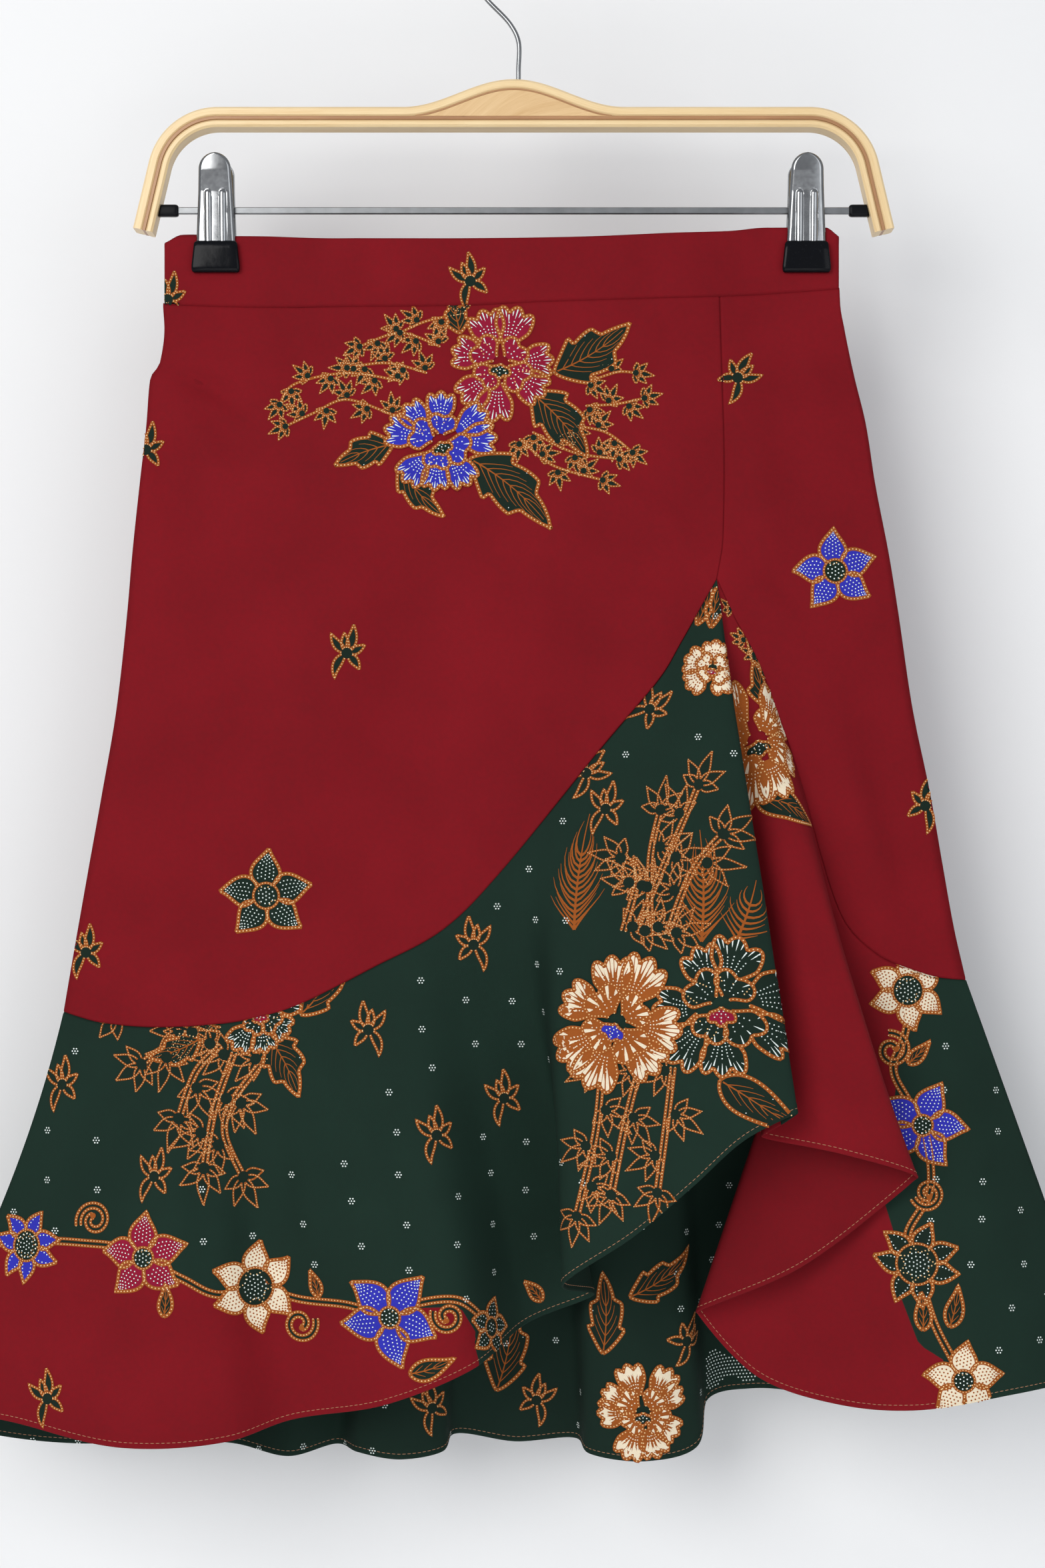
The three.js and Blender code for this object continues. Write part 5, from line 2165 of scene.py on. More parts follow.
class GridSpot:
    """Lays flat drawings on a sheet of cloth, so that they follow its folds."""

    def __init__(self, sheet: Sheet, row: float, col: float, turn: float = 0.0, face: int = 1) -> None:
        """Keeps the place of a drawing's middle.

        Args:
            sheet: The cloth.
            row: The place down its grid.
            col: The place across its grid.
            turn: How far the drawing is turned, in degrees.
            face: 1 for the outer face, and -1 for the inner one.
        """
        self.sheet, self.row, self.col, self.face = sheet, row, col, face
        point, normal = self.read(np.array([row]), np.array([col]))
        up = np.array([0.0, 0.0, 1.0]) - normal[0] * normal[0, 2]
        up /= np.linalg.norm(up)
        right = np.cross(up, normal[0])
        cos, sin = unit(turn)
        self.axes = np.array([right * cos + up * sin, up * cos - right * sin])
        self.middle = point[0]
        down_edge, across_edge = self.tangents(row, col)
        self.to_grid = np.linalg.pinv(np.stack([across_edge, down_edge], -1))

    def tangents(self, row: float, col: float) -> tuple[Array, Array]:
        """Unit steps down and across the sheet at a place.

        Args:
            row: Rows of the grid, with parts of one.
            col: Columns of the grid, with parts of one.

        Returns:
            The two steps.
        """
        rows, columns = self.sheet.points.shape[:2]
        r, c = min(int(row), rows - 2), min(int(col), columns - 2)
        p = self.sheet.points
        down, across = p[r + 1, c] - p[r, c], p[r, c + 1] - p[r, c]
        return down / np.linalg.norm(down), across / np.linalg.norm(across)

    def read(self, row: Array, col: Array) -> tuple[Array, Array]:
        """The cloth's face and its outward normal at places of the grid.

        Args:
            row: Rows of the grid, with parts of one.
            col: Columns of the grid, with parts of one.

        Returns:
            The places and the normals.
        """
        rows, columns = self.sheet.points.shape[:2]
        r = np.clip(np.floor(row).astype(int), 0, rows - 2)
        c = np.clip(np.floor(col).astype(int), 0, columns - 2)
        fr, fc = (row - r)[:, None], (col - c)[:, None]

        def mix(values: Array) -> Array:
            """Mixes values of the four grid points about each place.

            Args:
                values: One for each point of the grid.

            Returns:
                The values there.
            """
            upper = values[r, c] * (1 - fc) + values[r, c + 1] * fc
            lower = values[r + 1, c] * (1 - fc) + values[r + 1, c + 1] * fc
            return upper * (1 - fr) + lower * fr

        normal = mix(self.sheet.normals)
        normal /= np.linalg.norm(normal, axis=1, keepdims=True)
        half = mix(self.sheet.half[..., None])
        return mix(self.sheet.points) + normal * half * self.face, normal * self.face

    def __call__(self, flat: Array) -> tuple[Array, Array, Array]:
        """Lays places of the drawing on the cloth.

        Args:
            flat: Places of the drawing, in millimetres.

        Returns:
            The points, their normals, and whether each is inside the cloth's edges.
        """
        rows, columns = self.sheet.points.shape[:2]
        step = (flat @ self.axes) @ self.to_grid.T
        c0 = int(round(self.col))
        down = self.sheet.down[:, c0]
        start = np.interp(self.row, np.arange(rows), down)
        target = start + step[:, 1]
        row = np.interp(target, down, np.arange(rows))
        inside = (target > down[0]) & (target < down[-1])
        r = np.clip(np.floor(row).astype(int), 0, rows - 2)
        share = (row - r)[:, None]
        runs = self.sheet.across[r] * (1 - share) + self.sheet.across[r + 1] * share
        left = int(np.floor(self.col))
        left = min(left, columns - 2)
        part = self.col - left
        origin = runs[:, left] * (1 - part) + runs[:, left + 1] * part
        wanted = origin + step[:, 0]
        col = np.empty(len(flat))
        for k in range(len(flat)):
            col[k] = np.interp(wanted[k], runs[k], np.arange(columns))
        inside &= (wanted > 0) & (wanted < runs[:, -1])
        points, normals = self.read(row, col)
        return points, normals, inside


class PrintLayer:
    """The print on one piece of cloth, as thin films and dots on its faces."""

    def __init__(self, name: str, sheet: Sheet) -> None:
        """Keeps the cloth that it lies on.

        Args:
            name: Its name.
            sheet: The cloth.
        """
        self.name, self.sheet = name, sheet
        self.points: list[Array] = []
        self.faces: list[Array] = []
        self.inks: list[Array] = []
        self.count = 0
        self.dots: dict[Ink, list[tuple[Array, Array, float]]] = {}
        self.taken: list[tuple[Array, float]] = []
        self.pixels = photo_place(sheet.points)
        lifted = (sheet.points + sheet.normals * sheet.half[..., None]).reshape(-1, 3)
        faces = grid_faces(*sheet.points.shape[:2])
        faces = faces if sheet.outward > 0 else faces[:, ::-1]
        self.tree = BVHTree.FromPolygons(lifted.tolist(), faces.tolist())

    def flat(self, px: float, py: float, turn: float = 0.0) -> FlatSpot:
        """A place on a band or a panel at a pixel of the photograph, or of its mirror image behind.

        Args:
            px: How far right the pixel is.
            py: How far down the pixel is.
            turn: How far it is turned, in degrees.

        Returns:
            The place.
        """
        side = -self.sheet.outward
        scale = PHOTO_SCALE * (CAMERA_AWAY - FLAT_STAND) / CAMERA_AWAY
        x, z = (px - AIM_PIXEL[0]) * scale + AIM[0], (AIM_PIXEL[1] - py) * scale + AIM[1]
        return FlatSpot(self.tree, side, -side * x, z, turn)

    def spot(
        self, px: float, py: float, span: tuple[float, float], turn: float = 0.0, face: int = 1
    ) -> GridSpot:
        """A place on a flounce at a pixel of the photograph, within a range of its folds."""
        return GridSpot(self.sheet, *self.find(px, py, span), turn, face)

    def find(self, px: float, py: float, span: tuple[float, float] | None = None) -> tuple[float, float]:
        """The grid place that stands at a pixel of the photograph.

        Args:
            px: The pixel's place from the left.
            py: The pixel's place from the top.
            span: The range of fold numbers to look in, on a flounce.

        Returns:
            The row and column, with their fractions.
        """
        gap = np.linalg.norm(self.pixels - (px, py), axis=-1)
        if span is not None:
            fold = self.sheet.fold
            gap = np.where((fold >= span[0]) & (fold <= span[1]), gap, 1e9)
        r, c = np.unravel_index(np.argmin(gap), gap.shape)
        rows, columns = gap.shape
        r0, c0 = min(max(r, 1), rows - 2), min(max(c, 1), columns - 2)
        down = (self.pixels[r0 + 1, c0] - self.pixels[r0 - 1, c0]) / 2
        across = (self.pixels[r0, c0 + 1] - self.pixels[r0, c0 - 1]) / 2
        matrix = np.stack([down, across], -1)
        if abs(np.linalg.det(matrix)) > 1e-3:
            step = np.linalg.solve(matrix, np.array([px, py]) - self.pixels[r0, c0])
            step = np.clip(step, -1.5, 1.5)
            return float(np.clip(r0 + step[0], 0, rows - 1)), float(np.clip(c0 + step[1], 0, columns - 1))
        return float(r), float(c)

    def _add(self, points: Array, faces: Array, normal: Array, ink: Ink) -> None:
        """Adds faces, turned to point the way the cloth does.

        Args:
            points: Its points.
            faces: Their faces, by point number.
            normal: The cloth's normal at each point.
            ink: Its ink.
        """
        if not len(faces):
            return
        corner = points[faces]
        out = np.cross(corner[:, 2] - corner[:, 0], corner[:, 3] - corner[:, 1])
        wrong = (out * normal[faces[:, 0]]).sum(1) < 0
        faces = np.where(wrong[:, None], faces[:, ::-1], faces)
        self.points.append(points)
        self.faces.append(faces + self.count)
        self.inks.append(np.full(len(faces), list(Ink).index(ink)))
        self.count += len(points)

    def stamp(self, motif: Motif, spot: GridSpot, reach: float = 0.0) -> None:
        """Prints a drawing at a place, cut off at the cloth's edges.

        Args:
            motif: The drawing.
            spot: The place.
            reach: How far it may reach, in millimetres.
        """
        if reach:
            self.taken.append((spot.middle, reach))
        for grid, ink, height in motif.fills:
            points, normals, inside = spot(grid.reshape(-1, 2))
            faces = grid_faces(*grid.shape[:2])
            self._add(points + normals * height, faces[inside[faces].any(1)], normals, ink)
        for line, width, ink, height in motif.lines:
            self.ribbon(*spot(line), width, ink, height)
        for places, radius, ink, height in motif.dots:
            points, normals, inside = spot(places)
            self.scatter(points[inside] + normals[inside] * height, normals[inside], radius, ink)

    def ribbon(
        self, points: Array, normals: Array, inside: Array, width: Array, ink: Ink, height: float
    ) -> None:
        """Adds a flat line of ink along points of the cloth.

        Args:
            points: Its points.
            normals: The cloth's normals there.
            inside: Which points are on the cloth.
            width: Its width at each point.
            ink: Its ink.
            height: How far it stands off the cloth.
        """
        along = np.gradient(points, axis=0)
        side = np.cross(normals, along)
        side /= np.maximum(np.linalg.norm(side, axis=1, keepdims=True), 1e-9)
        lifted = points + normals * height
        half = side * np.asarray(width)[:, None] / 2
        both = np.concatenate([lifted - half, lifted + half])
        count = len(points)
        k = np.arange(count - 1)
        k = k[inside[k] & inside[k + 1]]
        faces = np.stack([k, k + 1, k + 1 + count, k + count], -1)
        self._add(both, faces, np.concatenate([normals, normals]), ink)

    def scatter(self, points: Array, normals: Array, radius: float, ink: Ink) -> None:
        """Keeps dots, which are made all at once."""
        if len(points):
            self.dots.setdefault(ink, []).append((points, normals, radius))

    def vine(
        self, pixels: Sequence[tuple[float, float]], span: tuple[float, float] | None, gap: float = 1.4
    ) -> None:
        """Draws a stem through pixels of the photograph, on the cloth.

        Args:
            pixels: The pixels.
            span: The folds it may lie on, by number.
            gap: The distance between its two lines.
        """
        places = np.array([self.find(x, y, span) for x, y in pixels])
        line = even_curve(places)(np.linspace(0, 1, 24 * len(pixels)))
        spot = GridSpot(self.sheet, *places[0])
        points, normals = spot.read(line[:, 0], line[:, 1])
        even = respaced(np.concatenate([points, normals], -1), CELL)
        points, normals = even[:, :3], even[:, 3:]
        normals /= np.linalg.norm(normals, axis=1, keepdims=True)
        inside = np.ones(len(points), bool)
        self.ribbon(points, normals, inside, np.full(len(points), 2 * gap), Ink.GREEN, FILM - 0.03)
        along = np.gradient(points, axis=0)
        side = np.cross(normals, along)
        side /= np.linalg.norm(side, axis=1, keepdims=True)
        for way in (-1, 1):
            edge = points + side * gap * way
            self.ribbon(edge, normals, inside, np.full(len(edge), LINE * 0.8), Ink.BROWN, FILM - 0.015)
            dots = respaced(np.concatenate([edge, normals], -1), LINE_PITCH * 0.9)
            self.scatter(dots[:, :3] + dots[:, 3:] * (FILM - 0.004), dots[:, 3:], LINE_DOT * 0.85, Ink.SAND)

    def flakes(self, gap: float, seed: int, face: int = 1) -> None:
        """Scatters the small dot flowers in uneven rows over the green cloth.

        Args:
            gap: The spacing in millimetres.
            seed: The seed of their places.
            face: 1 for the outer face, -1 for the inner one.
        """
        draw = np.random.default_rng(seed)
        rows, columns = self.sheet.points.shape[:2]
        down = self.sheet.down[:, columns // 2]
        for number, at in enumerate(np.arange(gap * 0.6, down[-1] - BORDER_MARGIN, gap * 0.86)):
            row = float(np.interp(at, down, np.arange(rows)))
            run = self.sheet.across[int(row)]
            for place in np.arange(gap * (0.35 + 0.5 * (number % 2)), run[-1] - 6, gap):
                jitter = draw.uniform(-3, 3, 2)
                col = float(np.interp(place + jitter[0], run, np.arange(columns)))
                down_at = self.sheet.down[:, int(col)]
                here = float(np.interp(at + jitter[1], down_at, np.arange(rows)))
                if self.sheet.border[int(here), int(col)] < BORDER_MARGIN:
                    continue
                middle = self.sheet.points[int(here), int(col)]
                if any(np.linalg.norm(middle - centre) < reach for centre, reach in self.taken):
                    continue
                self.stamp(Motif().flake(), GridSpot(self.sheet, here, col, 0, face))

    def build(self) -> list[bpy.types.Object]:
        """Makes the print's films and its dots.

        Returns:
            The pieces made.
        """
        made = []
        if self.points:
            points, faces = np.concatenate(self.points), np.concatenate(self.faces)
            mesh = mesh_from(self.name, points, faces, None, True, np.concatenate(self.inks))
            film = add_object(self.name, mesh, *(INKS[ink] for ink in Ink))
            made.append(cleaned(film))
        for ink, groups in self.dots.items():
            name = f"{self.name}_{ink.value}_dots"
            points = np.concatenate([g[0] for g in groups])
            normals = np.concatenate([g[1] for g in groups])
            sizes = np.concatenate([np.full(len(g[0]), g[2]) for g in groups])
            made.append(DotScatter().build(name, points, normals, sizes, INKS[ink]))
        return made


def cleaned(made: bpy.types.Object) -> bpy.types.Object:
    """Merges a film's doubled points and drops faces without area.

    Args:
        made: The film.

    Returns:
        The same film.
    """
    work = bmesh.new()
    work.from_mesh(made.data)
    bmesh.ops.dissolve_degenerate(work, dist=2e-6, edges=work.edges)
    flat = [face for face in work.faces if face.calc_area() < 1e-10]
    bmesh.ops.delete(work, geom=flat, context="FACES")
    loose = [vertex for vertex in work.verts if not vertex.link_faces]
    bmesh.ops.delete(work, geom=loose, context="VERTS")
    work.to_mesh(made.data)
    work.free()
    return made


class NodeTree:
    """A geometry node tree being built."""

    def __init__(self, name: str) -> None:
        """Starts a tree with its geometry sockets.

        Args:
            name: Its name.
        """
        self.tree = bpy.data.node_groups.new(name, "GeometryNodeTree")
        face = self.tree.interface
        face.new_socket("Geometry", in_out="INPUT", socket_type="NodeSocketGeometry")
        face.new_socket("Geometry", in_out="OUTPUT", socket_type="NodeSocketGeometry")
        self.identifiers: dict[str, str] = {}

    def number(self, name: str, value: float) -> None:
        """Adds a named input.

        Args:
            name: Its name.
            value: Its value.
        """
        socket = self.tree.interface.new_socket(name, in_out="INPUT", socket_type="NodeSocketFloat")
        socket.default_value = value
        self.identifiers[name] = socket.identifier

    def start(self) -> bpy.types.Node:
        """Adds the group's input node."""
        return self.tree.nodes.new("NodeGroupInput")

    def node(
        self, kind: str, settings: dict[str, object] | None = None, **values: object
    ) -> bpy.types.Node:
        """Adds a node, with links or values for its inputs. An underscore in a name stands for a space.

        Args:
            kind: The node's type.
            settings: Its settings.
            values: Its inputs by name.

        Returns:
            The node.
        """
        made = self.tree.nodes.new(kind)
        for name, value in (settings or {}).items():
            setattr(made, name, value)
        for name, value in values.items():
            socket = made.inputs[name.replace("_", " ")]
            if isinstance(value, bpy.types.NodeSocket):
                self.tree.links.new(value, socket)
            else:
                socket.default_value = value
        return made

    def finish(self, instances: bpy.types.NodeSocket, finish: Finish) -> None:
        """Ends the tree with plain geometry in one finish.

        Args:
            instances: The repeats.
            finish: The finish.
        """
        real = self.node("GeometryNodeRealizeInstances", Geometry=instances)
        dressed = self.node("GeometryNodeSetMaterial", Geometry=real.outputs[0], Material=finish.material())
        out = self.tree.nodes.new("NodeGroupOutput")
        self.tree.links.new(dressed.outputs[0], out.inputs[0])

    def run(self, carrier: bpy.types.Object, values: dict[str, float]) -> bpy.types.Object:
        """Runs the tree on an object and leaves plain mesh.

        Args:
            carrier: The object.
            values: Inputs by name.

        Returns:
            The same object.
        """
        modifier = carrier.modifiers.new(self.tree.name, "NODES")
        modifier.node_group = self.tree
        for name, value in values.items():
            modifier[self.identifiers[name]] = value
        return apply_modifiers(carrier)


@dataclass(frozen=True)
class DotScatter:
    """Round dots laid on the cloth, each by its own normal and size."""

    sides: int = 6

    def tree(self, finish: Finish) -> NodeTree:
        """Makes the node tree.

        Args:
            finish: Its finish.

        Returns:
            The tree.
        """
        made = NodeTree("dots")
        made.number("Radius", MM)
        start = made.start()
        disc = made.node(
            "GeometryNodeMeshCircle", {"fill_type": "NGON"},
            Vertices=self.sides, Radius=start.outputs["Radius"],
        )
        normal = made.node("GeometryNodeInputNamedAttribute", {"data_type": "FLOAT_VECTOR"}, Name="facing")
        size = made.node("GeometryNodeInputNamedAttribute", {"data_type": "FLOAT"}, Name="size")
        turn = made.node("FunctionNodeAlignRotationToVector", {"axis": "Z"}, Vector=normal.outputs[0])
        dots = made.node(
            "GeometryNodeInstanceOnPoints",
            Points=start.outputs["Geometry"], Instance=disc.outputs[0],
            Rotation=turn.outputs[0], Scale=size.outputs[0],
        )
        made.finish(dots.outputs[0], finish)
        return made

    def build(
        self, name: str, points: Array, normals: Array, sizes: Array, finish: Finish
    ) -> bpy.types.Object:
        """Makes the dots at points, with a normal and a radius in millimetres for each.

        Args:
            name: Its name.
            points: The places.
            normals: The normals.
            sizes: The radii.
            finish: Its finish.

        Returns:
            The dots.
        """
        mesh = mesh_from(name, points, [])
        facing = mesh.attributes.new("facing", "FLOAT_VECTOR", "POINT")
        facing.data.foreach_set("vector", np.asarray(normals, np.float32).ravel())
        size = mesh.attributes.new("size", "FLOAT", "POINT")
        size.data.foreach_set("value", np.asarray(sizes, np.float32))
        made = self.tree(finish).run(add_object(name, mesh), {"Radius": MM})
        if made.data.polygons[0].normal.dot(Vector(normals[0])) < 0:
            made.data.flip_normals()
        return made


@dataclass(frozen=True)
class StitchRow:
    """A row of top stitches along a line."""

    pitch: float = 2.75
    length: float = 2.05
    thick: float = 0.34

    def tree(self, finish: Finish) -> NodeTree:
        """Makes the node tree.

        Args:
            finish: Its finish.

        Returns:
            The tree.
        """
        made = NodeTree("stitches")
        for word, value in (("Pitch", self.pitch), ("Length", self.length), ("Thickness", self.thick)):
            made.number(word, value * MM)
        start = made.start()
        curve = made.node("GeometryNodeMeshToCurve", Mesh=start.outputs["Geometry"])
        spaced = made.node(
            "GeometryNodeResampleCurve", {"mode": "LENGTH"},
            Curve=curve.outputs[0], Length=start.outputs["Pitch"],
        )
        bead = made.node("GeometryNodeMeshUVSphere", Segments=6, Rings=5, Radius=0.5)
        size = made.node(
            "ShaderNodeCombineXYZ",
            X=start.outputs["Thickness"], Y=start.outputs["Thickness"], Z=start.outputs["Length"],
        )
        tangent = made.node("GeometryNodeInputTangent")
        turn = made.node("FunctionNodeAlignRotationToVector", {"axis": "Z"}, Vector=tangent.outputs[0])
        row = made.node(
            "GeometryNodeInstanceOnPoints",
            Points=spaced.outputs[0], Instance=bead.outputs[0],
            Rotation=turn.outputs[0], Scale=size.outputs[0],
        )
        made.finish(row.outputs[0], finish)
        return made

    def build(self, name: str, line: Array, finish: Finish) -> bpy.types.Object:
        """Makes the stitches along a line of points, in millimetres.

        Args:
            name: Its name.
            line: The line.
            finish: Its finish.

        Returns:
            The stitches.
        """
        mesh = bpy.data.meshes.new(name)
        edges = [(k, k + 1) for k in range(len(line) - 1)]
        mesh.from_pydata((line * MM).tolist(), edges, [])
        values = {"Pitch": self.pitch * MM, "Length": self.length * MM, "Thickness": self.thick * MM}
        return self.tree(finish).run(add_object(name, mesh), values)


LEFT_BORDER = (
    (-220, 1872), (0, 1868), (110, 1866), (176, 1872), (215, 1888), (273, 1921), (327, 1944), (382, 1932),
    (448, 1951), (521, 1960), (585, 1973), (630, 1962), (690, 1960), (714, 2000), (718, 2080),
)
RIGHT_BORDER = (
    (1380, 1380), (1365, 1440), (1352, 1560), (1336, 1700), (1326, 1800), (1340, 1845), (1346, 1931),
    (1379, 2017), (1415, 2039), (1421, 2074), (1405, 2130),
)
LEFT_VINE = (
    (-60, 1874), (0, 1865), (110, 1863), (176, 1870), (215, 1885), (273, 1918), (327, 1942), (382, 1927),
    (448, 1948), (521, 1957), (585, 1973), (630, 1954), (690, 1951), (736, 1991),
)
RIGHT_VINE = (
    (1372, 1450), (1360, 1540), (1340, 1600), (1362, 1650), (1386, 1690), (1396, 1780), (1362, 1850),
    (1376, 1895), (1400, 1980), (1430, 2040), (1446, 2080),
)
PIXEL = 0.346  # millimetres of cloth for a pixel of the photograph
ANY = (0.0, FAR)  # any fold
GREEN_FROM = 6.6  # the cascade is green from this fold of the left flounce on
GREEN_RIGHT_OF = 722  # and to the right of this pixel
RED_TO = 22.4  # the right flounce is red up to this fold
BORDER_MARGIN = 9  # the scattered dot flowers keep this far inside the green


def border_of(name: str, sheet: Sheet) -> Array:
    """How far each place of a flounce is inside the green, in millimetres, and below 0 in the red.

    Args:
        name: The flounce's name.
        sheet: The cloth.

    Returns:
        The distances.
    """
    place = photo_place(sheet.points)
    if name == "front_left_flounce":
        line = np.array(LEFT_BORDER, float)
        above = (np.interp(place[..., 0], line[:, 0], line[:, 1]) - place[..., 1]) * PIXEL
        return np.where((sheet.fold > GREEN_FROM) | (place[..., 0] > GREEN_RIGHT_OF), FAR, above)
    if name == "front_right_flounce":
        line = np.array(RIGHT_BORDER, float)
        right = (place[..., 0] - np.interp(place[..., 1], line[:, 1], line[:, 0])) * PIXEL
        return np.where(sheet.fold > RED_TO, right, -FAR)
    return np.full(sheet.points.shape[:2], FAR)


def hem_stitches(name: str, sheet: Sheet) -> list[bpy.types.Object]:
    """Makes the top stitching of a hem, on both faces of the cloth.

    Args:
        name: The piece's name.
        sheet: The cloth.

    Returns:
        The rows of stitches.
    """
    columns = sheet.points.shape[1]
    made = []
    for word, face in (("outer", 1), ("inner", -1)):
        line = []
        for col in range(2, columns - 2):
            down = sheet.down[:, col]
            row = float(np.interp(down[-1] - STITCH_UP, down, np.arange(len(down))))
            spot = GridSpot(sheet, row, col, 0, face)
            point, normal = spot.read(np.array([row]), np.array([float(col)]))
            line.append(point[0] + normal[0] * 0.02)
        made.append(StitchRow().build(f"{name}_hem_stitches_{word}", np.array(line), TOP_STITCH))
    return made


class Printing:
    """The print's layout: which drawing stands where on each piece."""

    def __init__(self, layer: PrintLayer) -> None:
        """Keeps the layer that it prints."""
        self.layer = layer

    def run(self, name: str) -> PrintLayer:
        """Prints one piece and gives its layer."""
        getattr(self, name)()
        return self.layer

    @staticmethod
    def near(cx: float, cy: float, *pixels: tuple[float, float]) -> list[tuple[float, float]]:
        """Pixels of the photograph as millimetres from a drawing's middle."""
        return [((x - cx) * PIXEL, (cy - y) * PIXEL) for x, y in pixels]

    def sprigs(
        self, places: Sequence[tuple], span: tuple[float, float] | None = None, face: int = 1
    ) -> None:
        """Prints small sprigs: each place is x, y, turn, and whether it is flipped.

        Args:
            places: The places.
            span: The folds to look on, by number.
            face: 1 for the outer face, -1 for the inner one.
        """
        for px, py, turn, flip in places:
            motif = Motif().sprig(18.5, turn, flip)
            spot = self.layer.flat(px, py) if span is None else self.layer.spot(px, py, span, 0, face)
            self.layer.stamp(motif, spot, 19.0)

    def bouquet(self) -> Motif:
        """Draws the large bouquet of a maroon and a blue flower among leaves and sprays.

        Returns:
            The drawing.
        """
        made, near = Motif(), partial(self.near, 700, 620)
        for seed, path in enumerate((
            ((660, 520), (600, 500), (539, 520)), ((600, 572), (520, 560), (441, 575), (418, 607)),
            ((590, 624), (520, 600), (470, 620), (427, 640)), ((700, 470), (640, 482), (600, 500)),
            ((880, 575), (926, 559), (955, 560)), ((880, 610), (926, 607), (968, 598)),
            ((800, 650), (860, 680), (930, 690)), ((780, 660), (830, 700), (905, 722)),
            ((640, 560), (580, 545), (520, 552)), ((860, 640), (910, 650), (950, 680)),
        )):
            made.spray(near(*path), 9.2, seed)
        for x, y, heading, length, width, bend in (
            (832, 559, 20, 48, 29, 26), (797, 590, -38, 46, 27, -22), (705, 690, -28, 57, 31, -26),
            (600, 700, -62, 36, 18, 26), (590, 668, 190, 33, 20, 20), (690, 500, 100, 20, 14, 10),
        ):
            made.leaf(near((x, y))[0], heading, length, width, bend, 3, 1)
        made.peony(near((752, 546))[0], 30.5, Ink.MAROON, Ink.GREEN, 12, 2)
        made.peony(near((660, 664))[0], 29.5, Ink.BLUE, Ink.GREEN, 40, 6, 8)
        return made

    def front_waistband(self) -> None:
        """One sprig in the middle, and one cut off by the seam at the left."""
        self.sprigs(((706, 424, 78, False), (249, 446, 60, False)))

    def back_waistband(self) -> None:
        """Two sprigs."""
        self.sprigs(((610, 420, 100, True), (1120, 418, 70, False)))

    def front_left_panel(self) -> None:
        """The large bouquet, a green star flower and scattered sprigs."""
        self.layer.stamp(self.bouquet(), self.layer.flat(700, 620))
        self.layer.stamp(Motif().star(25.0, Ink.GREEN, 5, 100, 0.2), self.layer.flat(401, 1343))
        self.sprigs((
            (522, 981, 60, False), (216, 672, 60, False), (126, 1430, 66, False), (1107, 566, 76, True),
        ))

    def front_right_panel(self) -> None:
        """A blue star flower and two sprigs cut off by seams."""
        self.layer.stamp(Motif().star(23.0, Ink.BLUE, 5, 106, 0.2), self.layer.flat(1254, 856))
        self.sprigs(((1107, 566, 76, True), (1391, 1209, 98, True)))

    def back_panel(self) -> None:
        """The same drawings as in front, set out anew."""
        self.layer.stamp(self.bouquet(), self.layer.flat(905, 900, 8))
        self.layer.stamp(Motif().star(24.0, Ink.GREEN, 5, 80, 0.2), self.layer.flat(430, 720))
        self.layer.stamp(Motif().star(23.0, Ink.BLUE, 5, 96, 0.2), self.layer.flat(520, 1290))
        self.layer.stamp(Motif().star(23.0, Ink.BLUE, 5, 120, 0.2), self.layer.flat(1110, 560))
        self.sprigs((
            (690, 560, 70, False), (330, 1010, 95, True), (1180, 1230, 64, False), (800, 1370, 110, True),
        ))

    def vine_flowers(self, places: Sequence[tuple], span: tuple[float, float]) -> None:
        """Prints the flowers, curls and leaves along a border's vine.

        Args:
            places: What to print, with its pixel and sizes.
            span: The folds to look on, by number.
        """
        for kind, px, py, size, turn, *rest in places:
            motif = Motif()
            if kind == "curl":
                motif.curl(size, turn, *rest)
            elif kind == "leaf":
                motif.leaf((0, 0), turn, size, size * 0.42, 16, 0)
            else:
                ink, count, heart = rest
                motif.star(size, ink, count, turn, heart, 26)
            self.layer.stamp(motif, self.layer.spot(px, py, span), size * 0.9)

